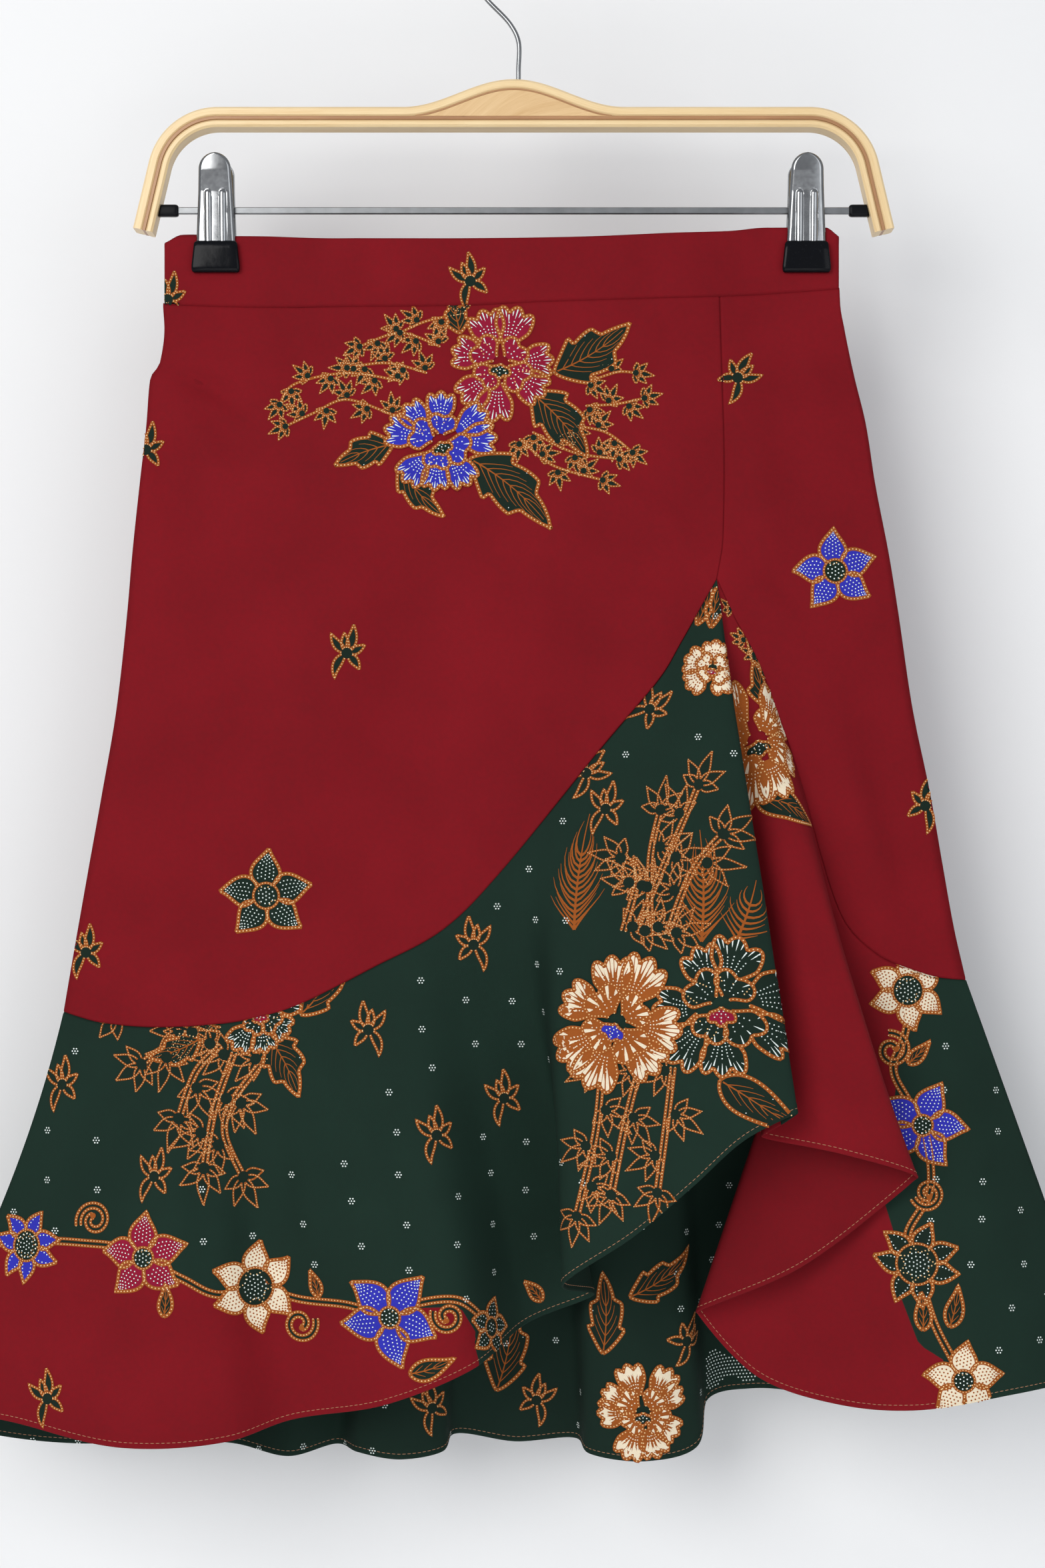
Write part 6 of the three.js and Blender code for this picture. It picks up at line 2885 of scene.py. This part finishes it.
    def front_left_flounce(self) -> None:
        """The bouquet cut off by the seam, the border's vine, and the cascade's flowers."""
        layer, main, fall = self.layer, (0.0, 7.2), (8.7, 13.9)
        made, near = Motif(), partial(self.near, 340, 1560)
        for seed, path in enumerate((
            ((330, 1545), (230, 1535), (170, 1548)), ((300, 1560), (245, 1580), (212, 1608)),
            ((330, 1570), (295, 1610), (272, 1680)), ((352, 1580), (325, 1660), (310, 1750)),
            ((400, 1590), (352, 1650), (340, 1700), (370, 1765)),
        )):
            made.spray(near(*path), 17.5, seed)
        for x, y, heading, length, width, bend in (
            (405, 1560, -55, 38, 24, -14), (455, 1535, 30, 40, 22, 24), (300, 1560, 215, 30, 17, -20),
        ):
            made.leaf(near((x, y))[0], heading, length, width, bend, 3, 1)
        made.peony(near((392, 1522))[0], 23, Ink.GREEN, Ink.MAROON, 20, 2, 7)
        layer.stamp(made, layer.spot(340, 1560, main), 74.0)
        self.sprigs((
            (94, 1627, 70, False), (232, 1765, 62, False), (553, 1545, 118, True), (655, 1703, 72, False),
            (757, 1398, 116, True), (72, 2098, 80, False), (833, 1621, 76, False),
        ), main)
        self.sprigs(((909, 1214, 62, False),), fall)
        layer.vine(LEFT_VINE, main)
        self.vine_flowers((
            ("curl", 142, 1830, 9.0, 200, -1), ("curl", 451, 1985, 9.0, 20, -1),
            ("curl", 672, 1975, 8.0, 160, 1), ("leaf", 246, 1975, 17.0, 80), ("leaf", 478, 1945, 15.0, 100),
            ("leaf", 615, 2060, 25.0, 10), ("leaf", 812, 1950, 16.0, 125),
            ("star", 41, 1868, 20.0, 80, Ink.BLUE, 7, 0.3),
            ("star", 215, 1887, 24.0, 104, Ink.MAROON, 5, 0.17),
            ("star", 382, 1930, 24.5, 96, Ink.CREAM, 6, 0.3),
            ("star", 585, 1976, 27.0, 66, Ink.BLUE, 5, 0.15),
            ("star", 736, 1991, 16.0, 80, Ink.GREEN, 5, 0.24),
        ), main)
        self.cascade(fall)
        layer.flakes(27.0, 5, 1)

    def cascade(self, fall: tuple[float, float]) -> None:
        """Prints the tall bouquet down the front-most folds.

        Args:
            fall: The folds to look on, by number.
        """
        layer, near = self.layer, self.near
        upper = Motif()
        for seed, path in enumerate((
            ((962, 1400), (1000, 1290), (1046, 1180)), ((945, 1400), (958, 1310), (930, 1290)),
            ((1010, 1400), (1040, 1310), (1086, 1250)), ((985, 1400), (975, 1290), (985, 1215)),
        )):
            upper.spray(near(1000, 1290, *path), 17.0, 20 + seed)
        upper.fern(near(1000, 1290, (872, 1408))[0], 96, 66, 30, -14)
        upper.fern(near(1000, 1290, (1062, 1410))[0], 88, 58, 30, 12)
        upper.fern(near(1000, 1290, (1110, 1400))[0], 74, 34, 22, 10)
        layer.stamp(upper, layer.spot(1000, 1290, fall), 62.0)
        top = Motif()
        top.leaf((-6, 24), 62, 24, 9, 20, 2).leaf((2, 22), 84, 26, 10, -10, 2)
        top.peony((4, 0), 17, Ink.CREAM, Ink.MAROON, 10, 1, 5)
        layer.stamp(top, layer.spot(1058, 1003, fall), 24.0)
        lower = Motif()
        for seed, path in enumerate((
            ((905, 1600), (900, 1700), (880, 1830)), ((960, 1600), (940, 1690), (925, 1790)),
            ((1010, 1600), (1000, 1690), (990, 1780)),
        )):
            lower.spray(near(960, 1600, *path), 15.5, 30 + seed)
        layer.stamp(lower, layer.spot(960, 1600, fall), 60.0)
        side = Motif().leaf((0, 0), -32, 44, 20, 14, 0)
        layer.stamp(side, layer.spot(1080, 1620, fall), 30.0)
        comb = Motif().peony((0, 0), 38, Ink.GREEN, Ink.MAROON, 20, 2, 7)
        layer.stamp(comb, layer.spot(1082, 1510, fall), 41.0)
        pale = Motif().peony((0, 0), 37, Ink.BROWN, Ink.BLUE, 0, 6, 7)
        layer.stamp(pale, layer.spot(926, 1535, fall), 40.0)
        self.sprigs(((975, 1062, 20, False), (880, 1160, 70, True)), fall)

    def front_right_flounce(self) -> None:
        """The bouquet at the red fall's seam, and the upright vine with the green beyond it."""
        layer, fall, side = self.layer, (14.6, 18.2), (22.5, 27.0)
        made, near = Motif(), partial(self.near, 1140, 1080)
        paths = ((1130, 990), (1110, 930), (1090, 915)), ((1150, 1010), (1130, 950), (1120, 925))
        for seed, path in enumerate(paths):
            made.spray(near(*path), 8.5, 40 + seed)
        made.leaf(near((1150, 1060))[0], 100, 26, 16, 10, 2, 1)
        made.leaf(near((1140, 1195))[0], -22, 42, 16, 26, 0, 1)
        made.peony(near((1138, 1110))[0], 34, Ink.BROWN, Ink.GREEN, 30, 2, 8)
        layer.stamp(made, layer.spot(1140, 1080, fall), 50.0)
        layer.vine(RIGHT_VINE, side)
        self.vine_flowers((
            ("curl", 1338, 1575, 9.0, 100, -1), ("curl", 1392, 1790, 8.0, 200, 1),
            ("leaf", 1362, 1595, 17.0, 35), ("leaf", 1425, 1990, 22.0, 70), ("leaf", 1385, 1995, 20.0, 85),
            ("star", 1362, 1486, 22.0, 96, Ink.CREAM, 6, 0.28),
            ("star", 1384, 1688, 25.0, 80, Ink.BLUE, 5, 0.16),
            ("star", 1376, 1896, 23.0, 84, Ink.GREEN, 7, 0.34),
            ("star", 1446, 2071, 21.0, 100, Ink.CREAM, 5, 0.2),
        ), side)
        layer.flakes(26.0, 6, 1)

    def back_flounce(self) -> None:
        """Leaves, sprigs and a large flower on the inner face that shows in front, and more behind."""
        layer = self.layer
        low = Motif().peony((0, 0), 27, Ink.BROWN, Ink.GREEN, 18, 2, 8)
        layer.stamp(low, layer.spot(965, 2118, ANY, 0, -1), 30.0)
        self.sprigs(((805, 2100, 100, True), (648, 2112, 84, False), (1030, 2012, 70, True)), ANY, -1)
        for px, py, turn, length in ((745, 2085, 70, 50), (945, 1945, 20, 40), (905, 2030, 80, 44)):
            leaf = Motif().leaf((0, 0), turn, length, length * 0.5, 20, 3)
            layer.stamp(leaf, layer.spot(px, py, ANY, 0, -1), 26.0)
        x, y = np.meshgrid(np.arange(-21, 22, 1.9), np.arange(-11, 12, 1.9))
        x = x + 0.95 * (np.arange(len(x)) % 2)[:, None]
        wavy = np.abs(y) < 8 + 2.5 * np.sin(x / 3.4)
        patch = Motif()
        patch.spots(np.stack([x[wavy], y[wavy]], -1), 0.46, Ink.WHITE, 0)
        layer.stamp(patch, layer.spot(1108, 2046, ANY, 0, -1), 22.0)
        layer.flakes(26.0, 7, -1)
        layer.taken.clear()
        rows, columns = layer.sheet.points.shape[:2]
        inks = (Ink.BROWN, Ink.GREEN, Ink.BLUE, Ink.BROWN, Ink.MAROON)
        for k, ink in enumerate(inks):
            col = columns * (0.12 + 0.19 * k)
            row = rows * (0.42 + 0.2 * (k % 2))
            flower = Motif().leaf((10, 12), 50, 44, 22, 20, 3).leaf((-10, -12), 215, 40, 20, 18, 3)
            flower.spray(((0, -20), (-12, -44), (-8, -70)), 10.0, 50 + k)
            flower.peony((0, 0), 27, ink, Ink.BLUE if ink is Ink.BROWN else Ink.GREEN, 20 * k, 2, 7)
            layer.stamp(flower, GridSpot(layer.sheet, row, col, 8 * (k - 2)), 42.0)
        layer.flakes(26.0, 8, 1)


# Hanger


@dataclass
class Hanger:
    """The bent-wood hanger with its hook and bar, in millimetres."""

    middle: float = -2.5
    top: float = -95.8
    depth: float = 13.0
    thickness: float = 10.5
    outer_strip: float = 5.1
    veneer: float = 1.5
    hump_height: float = 14.5
    hump_half: float = 58.0
    corner_radius: float = 37.0
    corner_at: float = 184.0
    lean: float = math.radians(13.4)
    arm_end: float = -159.0
    chamfer: float = 1.1
    hook_radius: float = 23.1
    wire_radius: float = 1.25
    neck_z: float = -60
    knee: tuple[float, float] = (-4.2, -51.1)
    bar_z: float = -148.9
    bar_size: tuple[float, float] = (3.6, 2.0)
    cap_inner: float = 176.0
    cap_size: tuple[float, float] = (6.2, 5.0)

    def edge(self, inset: float, hump: bool) -> Array:
        """The wood's edge at a distance in from its outer one, from left to right.

        Args:
            inset: The distance in millimetres.
            hump: Whether it rises to the hump.

        Returns:
            Its points.
        """
        turn = math.pi / 2 - self.lean
        start = self.corner_at - self.corner_radius * math.tan(turn / 2)
        centre = np.array([start, self.top - self.corner_radius])
        share = np.linspace(0, 1, 49)
        x = share * self.hump_half
        if hump:
            rise = self.hump_height / 2 * (1 + np.cos(np.pi * share))
            slope = -self.hump_height / 2 * np.pi / self.hump_half * np.sin(np.pi * share)
        else:
            rise, slope = np.zeros_like(x), np.zeros_like(x)
        inward = np.stack([slope, -np.ones_like(slope)], -1)
        inward /= np.linalg.norm(inward, axis=1, keepdims=True)
        head = np.stack([x, self.top + rise], -1) + inward * inset
        run = np.linspace(self.hump_half, start, 12)[1:-1]
        flat = np.stack([run, np.full_like(run, self.top - inset)], -1)
        angle = math.pi / 2 - np.linspace(0, 1, 33) * turn
        arc = centre + np.stack([np.cos(angle), np.sin(angle)], -1) * (self.corner_radius - inset)
        down = np.array([math.sin(self.lean), -math.cos(self.lean)])
        length = (self.arm_end - (centre[1] + self.corner_radius * math.sin(self.lean))) / down[1]
        arm = arc[-1] + down * np.linspace(0, length, 8)[1:, None]
        half = np.concatenate([head, flat, arc, arm])
        mirrored = half[:0:-1] * (-1, 1)
        return np.concatenate([mirrored, half]) + (self.middle, 0)

    def strip(
        self, name: str, upper: Array, lower: Array, finish: Finish, chamfer: float
    ) -> bpy.types.Object:
        """A bent strip between two edges, with its long corners taken off.

        Args:
            name: Its name.
            upper: Its upper edge.
            lower: Its lower edge.
            finish: Its finish.
            chamfer: How much is taken off.

        Returns:
            The strip.
        """
        across = lower - upper
        across /= np.linalg.norm(across, axis=1, keepdims=True)
        half = self.depth / 2
        rings = []
        cut = min(chamfer, 0.45 * float(np.linalg.norm(lower - upper, axis=1).max()))
        for a, b, n in zip(upper, lower, across):
            corner = min(cut, 0.45 * float(np.linalg.norm(b - a)))
            section = [
                (a, -half + corner), (a + n * corner, -half), (b - n * corner, -half), (b, -half + corner),
                (b, half - corner), (b - n * corner, half), (a + n * corner, half), (a, half - corner),
            ]
            rings.append([(p[0], y, p[1]) for p, y in section])
        return closed_solid(name, prism(np.array(rings)), finish, False)

    def wood(self) -> None:
        """Makes the two strips, the dark veneer between them and the lens under the hump."""
        veneer_at = self.outer_strip
        lower_at = self.outer_strip + self.veneer
        outer = self.strip(
            "wood_outer", self.edge(0, True), self.edge(veneer_at, True), HONEY_WOOD, self.chamfer
        )
        ride(outer, "bent_wood", "hanger_outer_strip")
        inner = self.strip(
            "wood_inner", self.edge(lower_at, False), self.edge(self.thickness, False),
            HONEY_WOOD, self.chamfer,
        )
        ride(inner, "bent_wood", "hanger_inner_strip")
        line = self.strip(
            "wood_veneer", self.edge(veneer_at - 0.02, False), self.edge(lower_at + 0.02, False), VENEER, 0.1
        )
        ride(line, "insert_wood")
        arch = self.edge(veneer_at, True)
        floor = self.top - veneer_at
        inside = (np.abs(arch[:, 0] - self.middle) < self.hump_half) & (arch[:, 1] > floor + 0.35)
        arch = arch[inside]
        seam = arch + (0, -0.7)
        base = np.stack([arch[:, 0], np.full(len(arch), floor)], -1)
        seam[:, 1] = np.maximum(seam[:, 1], floor + 0.1)
        ride(self.strip("wood_arch_line", arch, seam, VENEER, 0.1), "insert_wood")
        ride(self.strip("wood_lens", seam, base, LENS_WOOD, 0.3), "insert_wood", "hanger_insert")

    def hook(self) -> None:
        """Makes the wire hook on the same path as the solid's."""
        centre = np.array([0.0, 0.0, self.wire_radius - self.hook_radius])
        foot = self.top + self.hump_height - 1.5
        path = [(0, 0, foot), (0, 0, foot + 8), (0, 0, self.neck_z), (self.knee[0], 0, self.knee[1])]
        for angle in np.radians(np.linspace(225, -38, 17)):
            path.append(centre + self.hook_radius * np.array([math.cos(angle), 0, math.sin(angle)]))
        line = fold_curve(np.array(path, float))(np.linspace(0, 1, 181))
        made = closed_solid("hook_wire", tube(line, self.wire_radius, 18), HOOK_METAL)
        ride(made, "hook_wire", "hanger_hook")

    def bar(self) -> None:
        """Makes the flat bar with rounded edges, and its two end caps."""
        height, depth = (s / 2 for s in self.bar_size)
        corner = 0.45
        section = [
            (-depth + corner, height), (-depth, height - corner), (-depth, -height + corner),
            (-depth + corner, -height), (depth - corner, -height), (depth, -height + corner),
            (depth, height - corner), (depth - corner, height),
        ]
        end = self.cap_inner + 2.5
        xs = self.middle + np.linspace(-end, end, 25)
        rings = np.array([[(x, y, self.bar_z + z) for y, z in section] for x in xs])
        ride(closed_solid("bar_steel", prism(rings), BAR_METAL, False), "bar_steel", "hanger_bar")
        for word, side in (("left", -1), ("right", 1)):
            self.cap(word, side)

    def arm_face(self, z: float) -> float:
        """How far the arm's inner face is from the middle at a height."""
        return self.corner_at + (self.top - z) * math.tan(self.lean) - self.thickness / math.cos(self.lean)

    def cap(self, word: str, side: int) -> None:
        """Makes a moulded cap, tapered in four steps to its rounded mouth.

        Args:
            word: Which one, left or right.
            side: -1 at the left, 1 at the right.
        """
        height, depth = (s / 2 for s in self.cap_size)
        rings = []
        steps = ((0.0, 0.72), (0.35, 0.88), (0.9, 0.97), (1.8, 1.0), (5.0, 1.0), (9.0, 1.0), (99.0, 1.0))
        for run, scale in steps:
            ring = []
            for y, z in rounded_ring((depth * scale, height * scale), (0.5, 0.5), 24):
                x = min(self.cap_inner + run, self.arm_face(self.bar_z + z) - 0.1)
                ring.append((self.middle + side * x, y, self.bar_z + z))
            rings.append(ring)
        made = closed_solid(f"bar_cap_{word}_moulded", prism(np.array(rings)), CAP_PLASTIC)
        ride(made, "black_cap", f"bar_cap_{word}")

    def build(self) -> None:
        """Makes every piece of the hanger."""
        self.wood()
        self.hook()
        self.bar()


@dataclass
class Clip:
    """A sprung skirt clip: two pressed plates, a coil round the bar and two dipped tips."""

    word: str
    x: float
    bar_z: float = -148.9
    top: float = -120.8
    bottom: float = -166.6
    top_width: float = 16.4
    bottom_width: float = 20.0
    sheet: float = 0.9
    rib_place: float = 0.40
    rib_width: float = 3.2
    rib_top: float = -141.0
    tip_top: float = -165.6
    tip_bottom: float = -182.0
    tip_widths: tuple[float, float] = (22.4, 26.0)
    tip_depth: tuple[float, float] = (2.3, 6.2)
    coil_radius: float = 3.0
    coil_wire: float = 0.6
    coil_length: float = 14.0
    coil_turns: int = 10

    def plate(self, face: str, side: int) -> None:
        """Makes one pressed plate with a round top, curled edges and two long ribs.

        Args:
            face: Which one, front or back.
            side: -1 in front, 1 behind.
        """
        heights = np.array([self.top, -129, -140, self.bar_z, -158, self.bottom + 1.3])
        stands = np.array([8.6, 7.6, 4.9, 4.2, 3.8, 3.0]) + 0.5
        radius = self.top_width / 2
        turn = np.radians(np.linspace(4, 90, 14))
        round_end = self.top - radius
        z = np.concatenate([round_end + radius * np.cos(turn), np.linspace(round_end, self.bottom, 60)[1:]])
        grow = np.clip((round_end - z) / (round_end - self.bottom), 0, 1)
        arc = np.sqrt(np.maximum(radius**2 - (z - round_end) ** 2, 0.09))
        half = np.where(z > round_end, arc, radius)
        half = half + (self.bottom_width / 2 - radius) * grow
        s = np.linspace(-1, 1, 49)
        stand = np.interp(-z, -heights, stands)
        across = s[None] * half[:, None]
        height = np.broadcast_to(z[:, None], across.shape)
        rib = np.zeros_like(across)
        for place in (-self.rib_place, self.rib_place):
            line = place * (self.bottom_width / 2 - 0.5)
            reach = np.hypot(across - line, np.maximum(height - self.rib_top, 0))
            rib = np.maximum(rib, np.sqrt(np.clip(1 - (reach / (self.rib_width / 2)) ** 2, 0, 1)))
        curl = -0.9 * smoothstep(np.abs(across), half[:, None] - 1.6, half[:, None] + 0.2)
        dome = 0.5 * (1 - (across / (self.bottom_width / 2)) ** 2)
        depth = side * (stand[:, None] + dome + curl + 1.0 * rib)
        points = np.stack([self.x + across, depth, height], -1)
        made = Sheet(points, np.full((len(points), 1), self.sheet / 2), -side)
        piece = made.build(f"clip_{self.word}_{face}_pressed")
        piece.data.materials.clear()
        piece.data.materials.append(CLIP_METAL.material())
        piece.data.polygons.foreach_set("material_index", np.zeros(len(piece.data.polygons), np.int32))
        ride(piece, "clip_chrome", f"clip_{self.word}_{face}_plate")

    def tip(self, face: str, side: int) -> None:
        """Makes one dipped tip with soft corners.

        Args:
            face: Which one, front or back.
            side: -1 in front, 1 behind.
        """
        near, far = self.tip_depth
        rings = []
        rise = self.tip_top - self.tip_bottom
        for t, grow, deep in (
            (0.0, 0.90, 0.72), (0.03, 0.96, 0.88), (0.09, 1.0, 0.97), (0.3, 1.0, 1.0), (0.55, 1.0, 1.0),
            (0.78, 1.0, 1.0), (0.9, 0.985, 0.96), (0.965, 0.95, 0.86), (1.0, 0.89, 0.62),
        ):
            half = (self.tip_widths[0] + (self.tip_widths[1] - self.tip_widths[0]) * t) / 2 * grow
            thick = (far - near) / 2 * deep
            ring = rounded_ring((half, thick), (0.28, 0.45), 40)
            rings.append([(self.x + x, side * (near + thick + y), self.tip_top - rise * t) for x, y in ring])
        made = closed_solid(f"clip_{self.word}_{face}_dipped", prism(np.array(rings)), TIP_VINYL)
        ride(made, "clip_vinyl", f"clip_{self.word}_{face}_tip")

    def coil(self) -> None:
        """Makes the wound spring round the bar."""
        t = np.linspace(0, 1, self.coil_turns * 20 + 1)
        angle = 2 * np.pi * self.coil_turns * t
        run = (t - 0.5) * (self.coil_length - 2 * self.coil_wire)
        path = np.stack(
            [self.x + run, self.coil_radius * np.cos(angle), self.bar_z + self.coil_radius * np.sin(angle)],
            axis=-1,
        )
        made = closed_solid(f"clip_{self.word}_spring", tube(path, self.coil_wire, 8), BAR_METAL)
        ride(made, "bar_steel", f"clip_{self.word}_coil")

    def build(self) -> None:
        """Makes both plates, both tips and the spring."""
        for face, side in (("front", -1), ("back", 1)):
            self.plate(face, side)
            self.tip(face, side)
        self.coil()


# The skirt

# Creases of bands and panels run between places x, z, and those of flounces between places
# given as a fold's number and a share of the drop.
BAND_CREASES = tuple(Crease(*row) for row in (
    ((-160, -168), (-128, -190), 6, 1.2, 0.1), ((-96, -172), (-70, -194), 8, -1.0),
    ((-12, -170), (22, -190), 11, -0.9, -0.1), ((52, -169), (66, -192), 7, 0.9),
    ((118, -164), (150, -184), 7, 1.2, 0.1),
))
LEFT_PANEL_CREASES = tuple(Crease(*row) for row in (
    ((-187, -231), (-138, -258), 6.5, -3.8, 0.06), ((-188, -246), (-152, -296), 9, 2.8, 0.05),
    ((-186, -262), (-168, -330), 11, -2.2, -0.04), ((-133, -200), (-128, -264), 7, 1.7),
    ((-117, -199), (-111, -246), 6, -1.4), ((-66, -200), (-58, -238), 7, 1.2),
    ((12, -199), (17, -248), 8, -1.4), ((70, -198), (66, -232), 7, 1.2),
    ((-95, -320), (-124, -520), 24, 3.3, 0.04), ((-30, -300), (-72, -490), 28, -3.2, -0.03),
    ((-168, -320), (-196, -520), 22, 3.0, 0.02), ((62, -262), (28, -392), 22, -2.2, 0.05),
    ((99, -332), (38, -296), 9, 2.5, -0.06), ((98, -340), (52, -346), 7, -1.7, 0.05),
    ((-12, -492), (-34, -462), 6, 1.4), ((38, -432), (12, -404), 6, -1.4),
    ((-150, -568), (-146, -530), 8, 1.7),
))
RIGHT_PANEL_CREASES = tuple(Crease(*row) for row in (
    ((146, -376), (192, -538), 15, 4.5, 0.03), ((174, -410), (212, -540), 12, -3.0, 0.02),
    ((124, -250), (134, -345), 11, 2.3, -0.03), ((110, -326), (158, -372), 8, -2.0, 0.08),
    ((150, -196), (156, -250), 8, 1.2), ((126, -402), (150, -440), 7, 1.8),
))
BACK_PANEL_CREASES = tuple(Crease(*row) for row in (
    ((-182, -236), (-140, -262), 8, -2.7, 0.05), ((-120, -202), (-112, -256), 8, 1.5),
    ((-58, -202), (-62, -262), 9, -1.3), ((24, -201), (20, -252), 8, 1.3),
    ((96, -198), (104, -254), 9, -1.5), ((172, -226), (130, -258), 8, -2.4, -0.05),
    ((-100, -300), (-138, -500), 27, 3.4, 0.03), ((-20, -320), (-24, -520), 30, -3.1, 0.02),
    ((70, -290), (92, -500), 25, 2.9, -0.03), ((150, -320), (180, -520), 22, -2.8, 0.02),
    ((-60, -548), (-66, -508), 8, 1.5), ((44, -549), (52, -505), 9, -1.5),
))
LEFT_FLOUNCE_CREASES = tuple(Crease(*row) for row in (
    ((0.7, 0.1), (0.9, 0.75), 11, 2.8, 0.02), ((1.5, 0.06), (1.7, 0.8), 13, -2.7, 0.0),
    ((2.4, 0.08), (2.5, 0.62), 11, 3.2, 0.02), ((3.5, 0.1), (3.7, 0.85), 12, -2.7, 0.0),
    ((4.5, 0.12), (4.45, 0.7), 10, 3.4, 0.0), ((5.5, 0.3), (5.6, 0.95), 9, -2.8, 0.0),
    ((9.5, 0.1), (9.4, 0.85), 12, -2.2, 0.0), ((11.0, 0.15), (11.2, 0.8), 11, 2.5, 0.0),
))
RIGHT_FLOUNCE_CREASES = tuple(Crease(*row) for row in (
    ((16.5, 0.15), (16.8, 0.8), 10, 2.4, 0.0), ((17.4, 0.3), (17.3, 0.9), 9, -2.4, 0.0),
    ((24.4, 0.1), (24.3, 0.8), 12, 2.5, 0.0), ((25.6, 0.12), (25.8, 0.75), 12, -2.4, 0.0),
))
BACK_FLOUNCE_CREASES = tuple(Crease(*row) for row in (
    ((1.5, 0.1), (1.6, 0.8), 14, 2.9, 0.0), ((3.5, 0.1), (3.4, 0.7), 12, -2.5, 0.0),
    ((8.5, 0.2), (8.6, 0.9), 11, 2.9, 0.0), ((11.5, 0.1), (11.4, 0.8), 12, -2.1, 0.0),
    ((14.4, 0.15), (14.5, 0.85), 11, 2.9, 0.0), ((18.5, 0.1), (18.7, 0.75), 13, -2.5, 0.0),
    ((20.6, 0.1), (20.5, 0.8), 13, 2.8, 0.0),
))


class Skirt:
    """Every cut piece of the skirt, with its print and sewing."""

    def __init__(self) -> None:
        """Sets out the cut pieces."""
        left_x, right_x = float(left_side(WAIST[0].seam)), float(right_side(WAIST[-1].seam))
        seam_x = float(front_seam(FRONT_SEAM[0][0]))
        slit_z = FRONT_SEAM[-1][0]
        left_z, right_z = LEFT_FLOUNCE_SEAM[0][1], RIGHT_FLOUNCE_SEAM[-1][1]
        self.pieces = [
            BandPiece("front_waistband", -1, 0.0, 11, BAND_CREASES),
            BandPiece("back_waistband", 1, 1.3, 12, BAND_CREASES[::-1]),
            PanelPiece(
                "front_left_panel", -1, (left_side, front_seam), (left_x, seam_x, left_z, slit_z),
                left_flounce_seam, ("top", "bottom", "right"), 88, 21, LEFT_PANEL_CREASES,
            ),
            PanelPiece(
                "front_right_panel", -1, (front_seam, right_side), (seam_x, right_x, slit_z, right_z),
                right_flounce_seam, ("top", "bottom", "left"), 40, 22, RIGHT_PANEL_CREASES,
            ),
            PanelPiece(
                "back_panel", 1, (left_side, right_side), (left_x, right_x, left_z, right_z),
                back_flounce_seam, ("top", "bottom"), 96, 23, BACK_PANEL_CREASES,
            ),
            FlouncePiece("front_left_flounce", -1, FRONT_FOLDS, (0, FLOUNCE_JOIN), 31, LEFT_FLOUNCE_CREASES),
            FlouncePiece(
                "front_right_flounce", -1, FRONT_FOLDS, (FLOUNCE_JOIN, 27), 32, RIGHT_FLOUNCE_CREASES
            ),
            FlouncePiece("back_flounce", 1, BACK_FOLDS, (0, 22), 33, BACK_FLOUNCE_CREASES),
        ]
        self.flats = {
            "front_waistband": ((0.354, 0.036), None),
            "back_waistband": ((0.354, 0.036), None),
            "front_left_panel": ((0.345, 0.381), 0.0976),
            "front_right_panel": ((0.132, 0.365), 0.0258),
            "back_panel": ((0.478, 0.365), 0.1435),
            "front_left_flounce": ((0.62, 0.29), 0.1056),
            "front_right_flounce": ((0.50, 0.29), 0.065),
            "back_flounce": ((0.88, 0.27), 0.149),
        }

    def build(self) -> None:
        for piece in self.pieces:
            sheet = piece.sheet()
            if isinstance(piece, FlouncePiece):
                sheet.border = border_of(piece.name, sheet)
            layer = Printing(PrintLayer(f"{piece.name}_print", sheet)).run(piece.name)
            made = sheet.build(f"{piece.name}_cloth")
            ride(made, piece.slot, piece.name)
            extra = layer.build()
            if isinstance(piece, FlouncePiece):
                extra += hem_stitches(piece.name, sheet)
            for item in extra:
                ride(item, piece.slot)
            LOG.info("%s: %.4f square metres", piece.name, sheet.area())


def main() -> None:
    """Builds the scene in order."""
    Studio().build()
    Skirt().build()
    Hanger().build()
    for word, x in (("left", -158.5), ("right", 150.8)):
        Clip(word, x).build()
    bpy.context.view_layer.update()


if __name__ == "__main__":
    main()
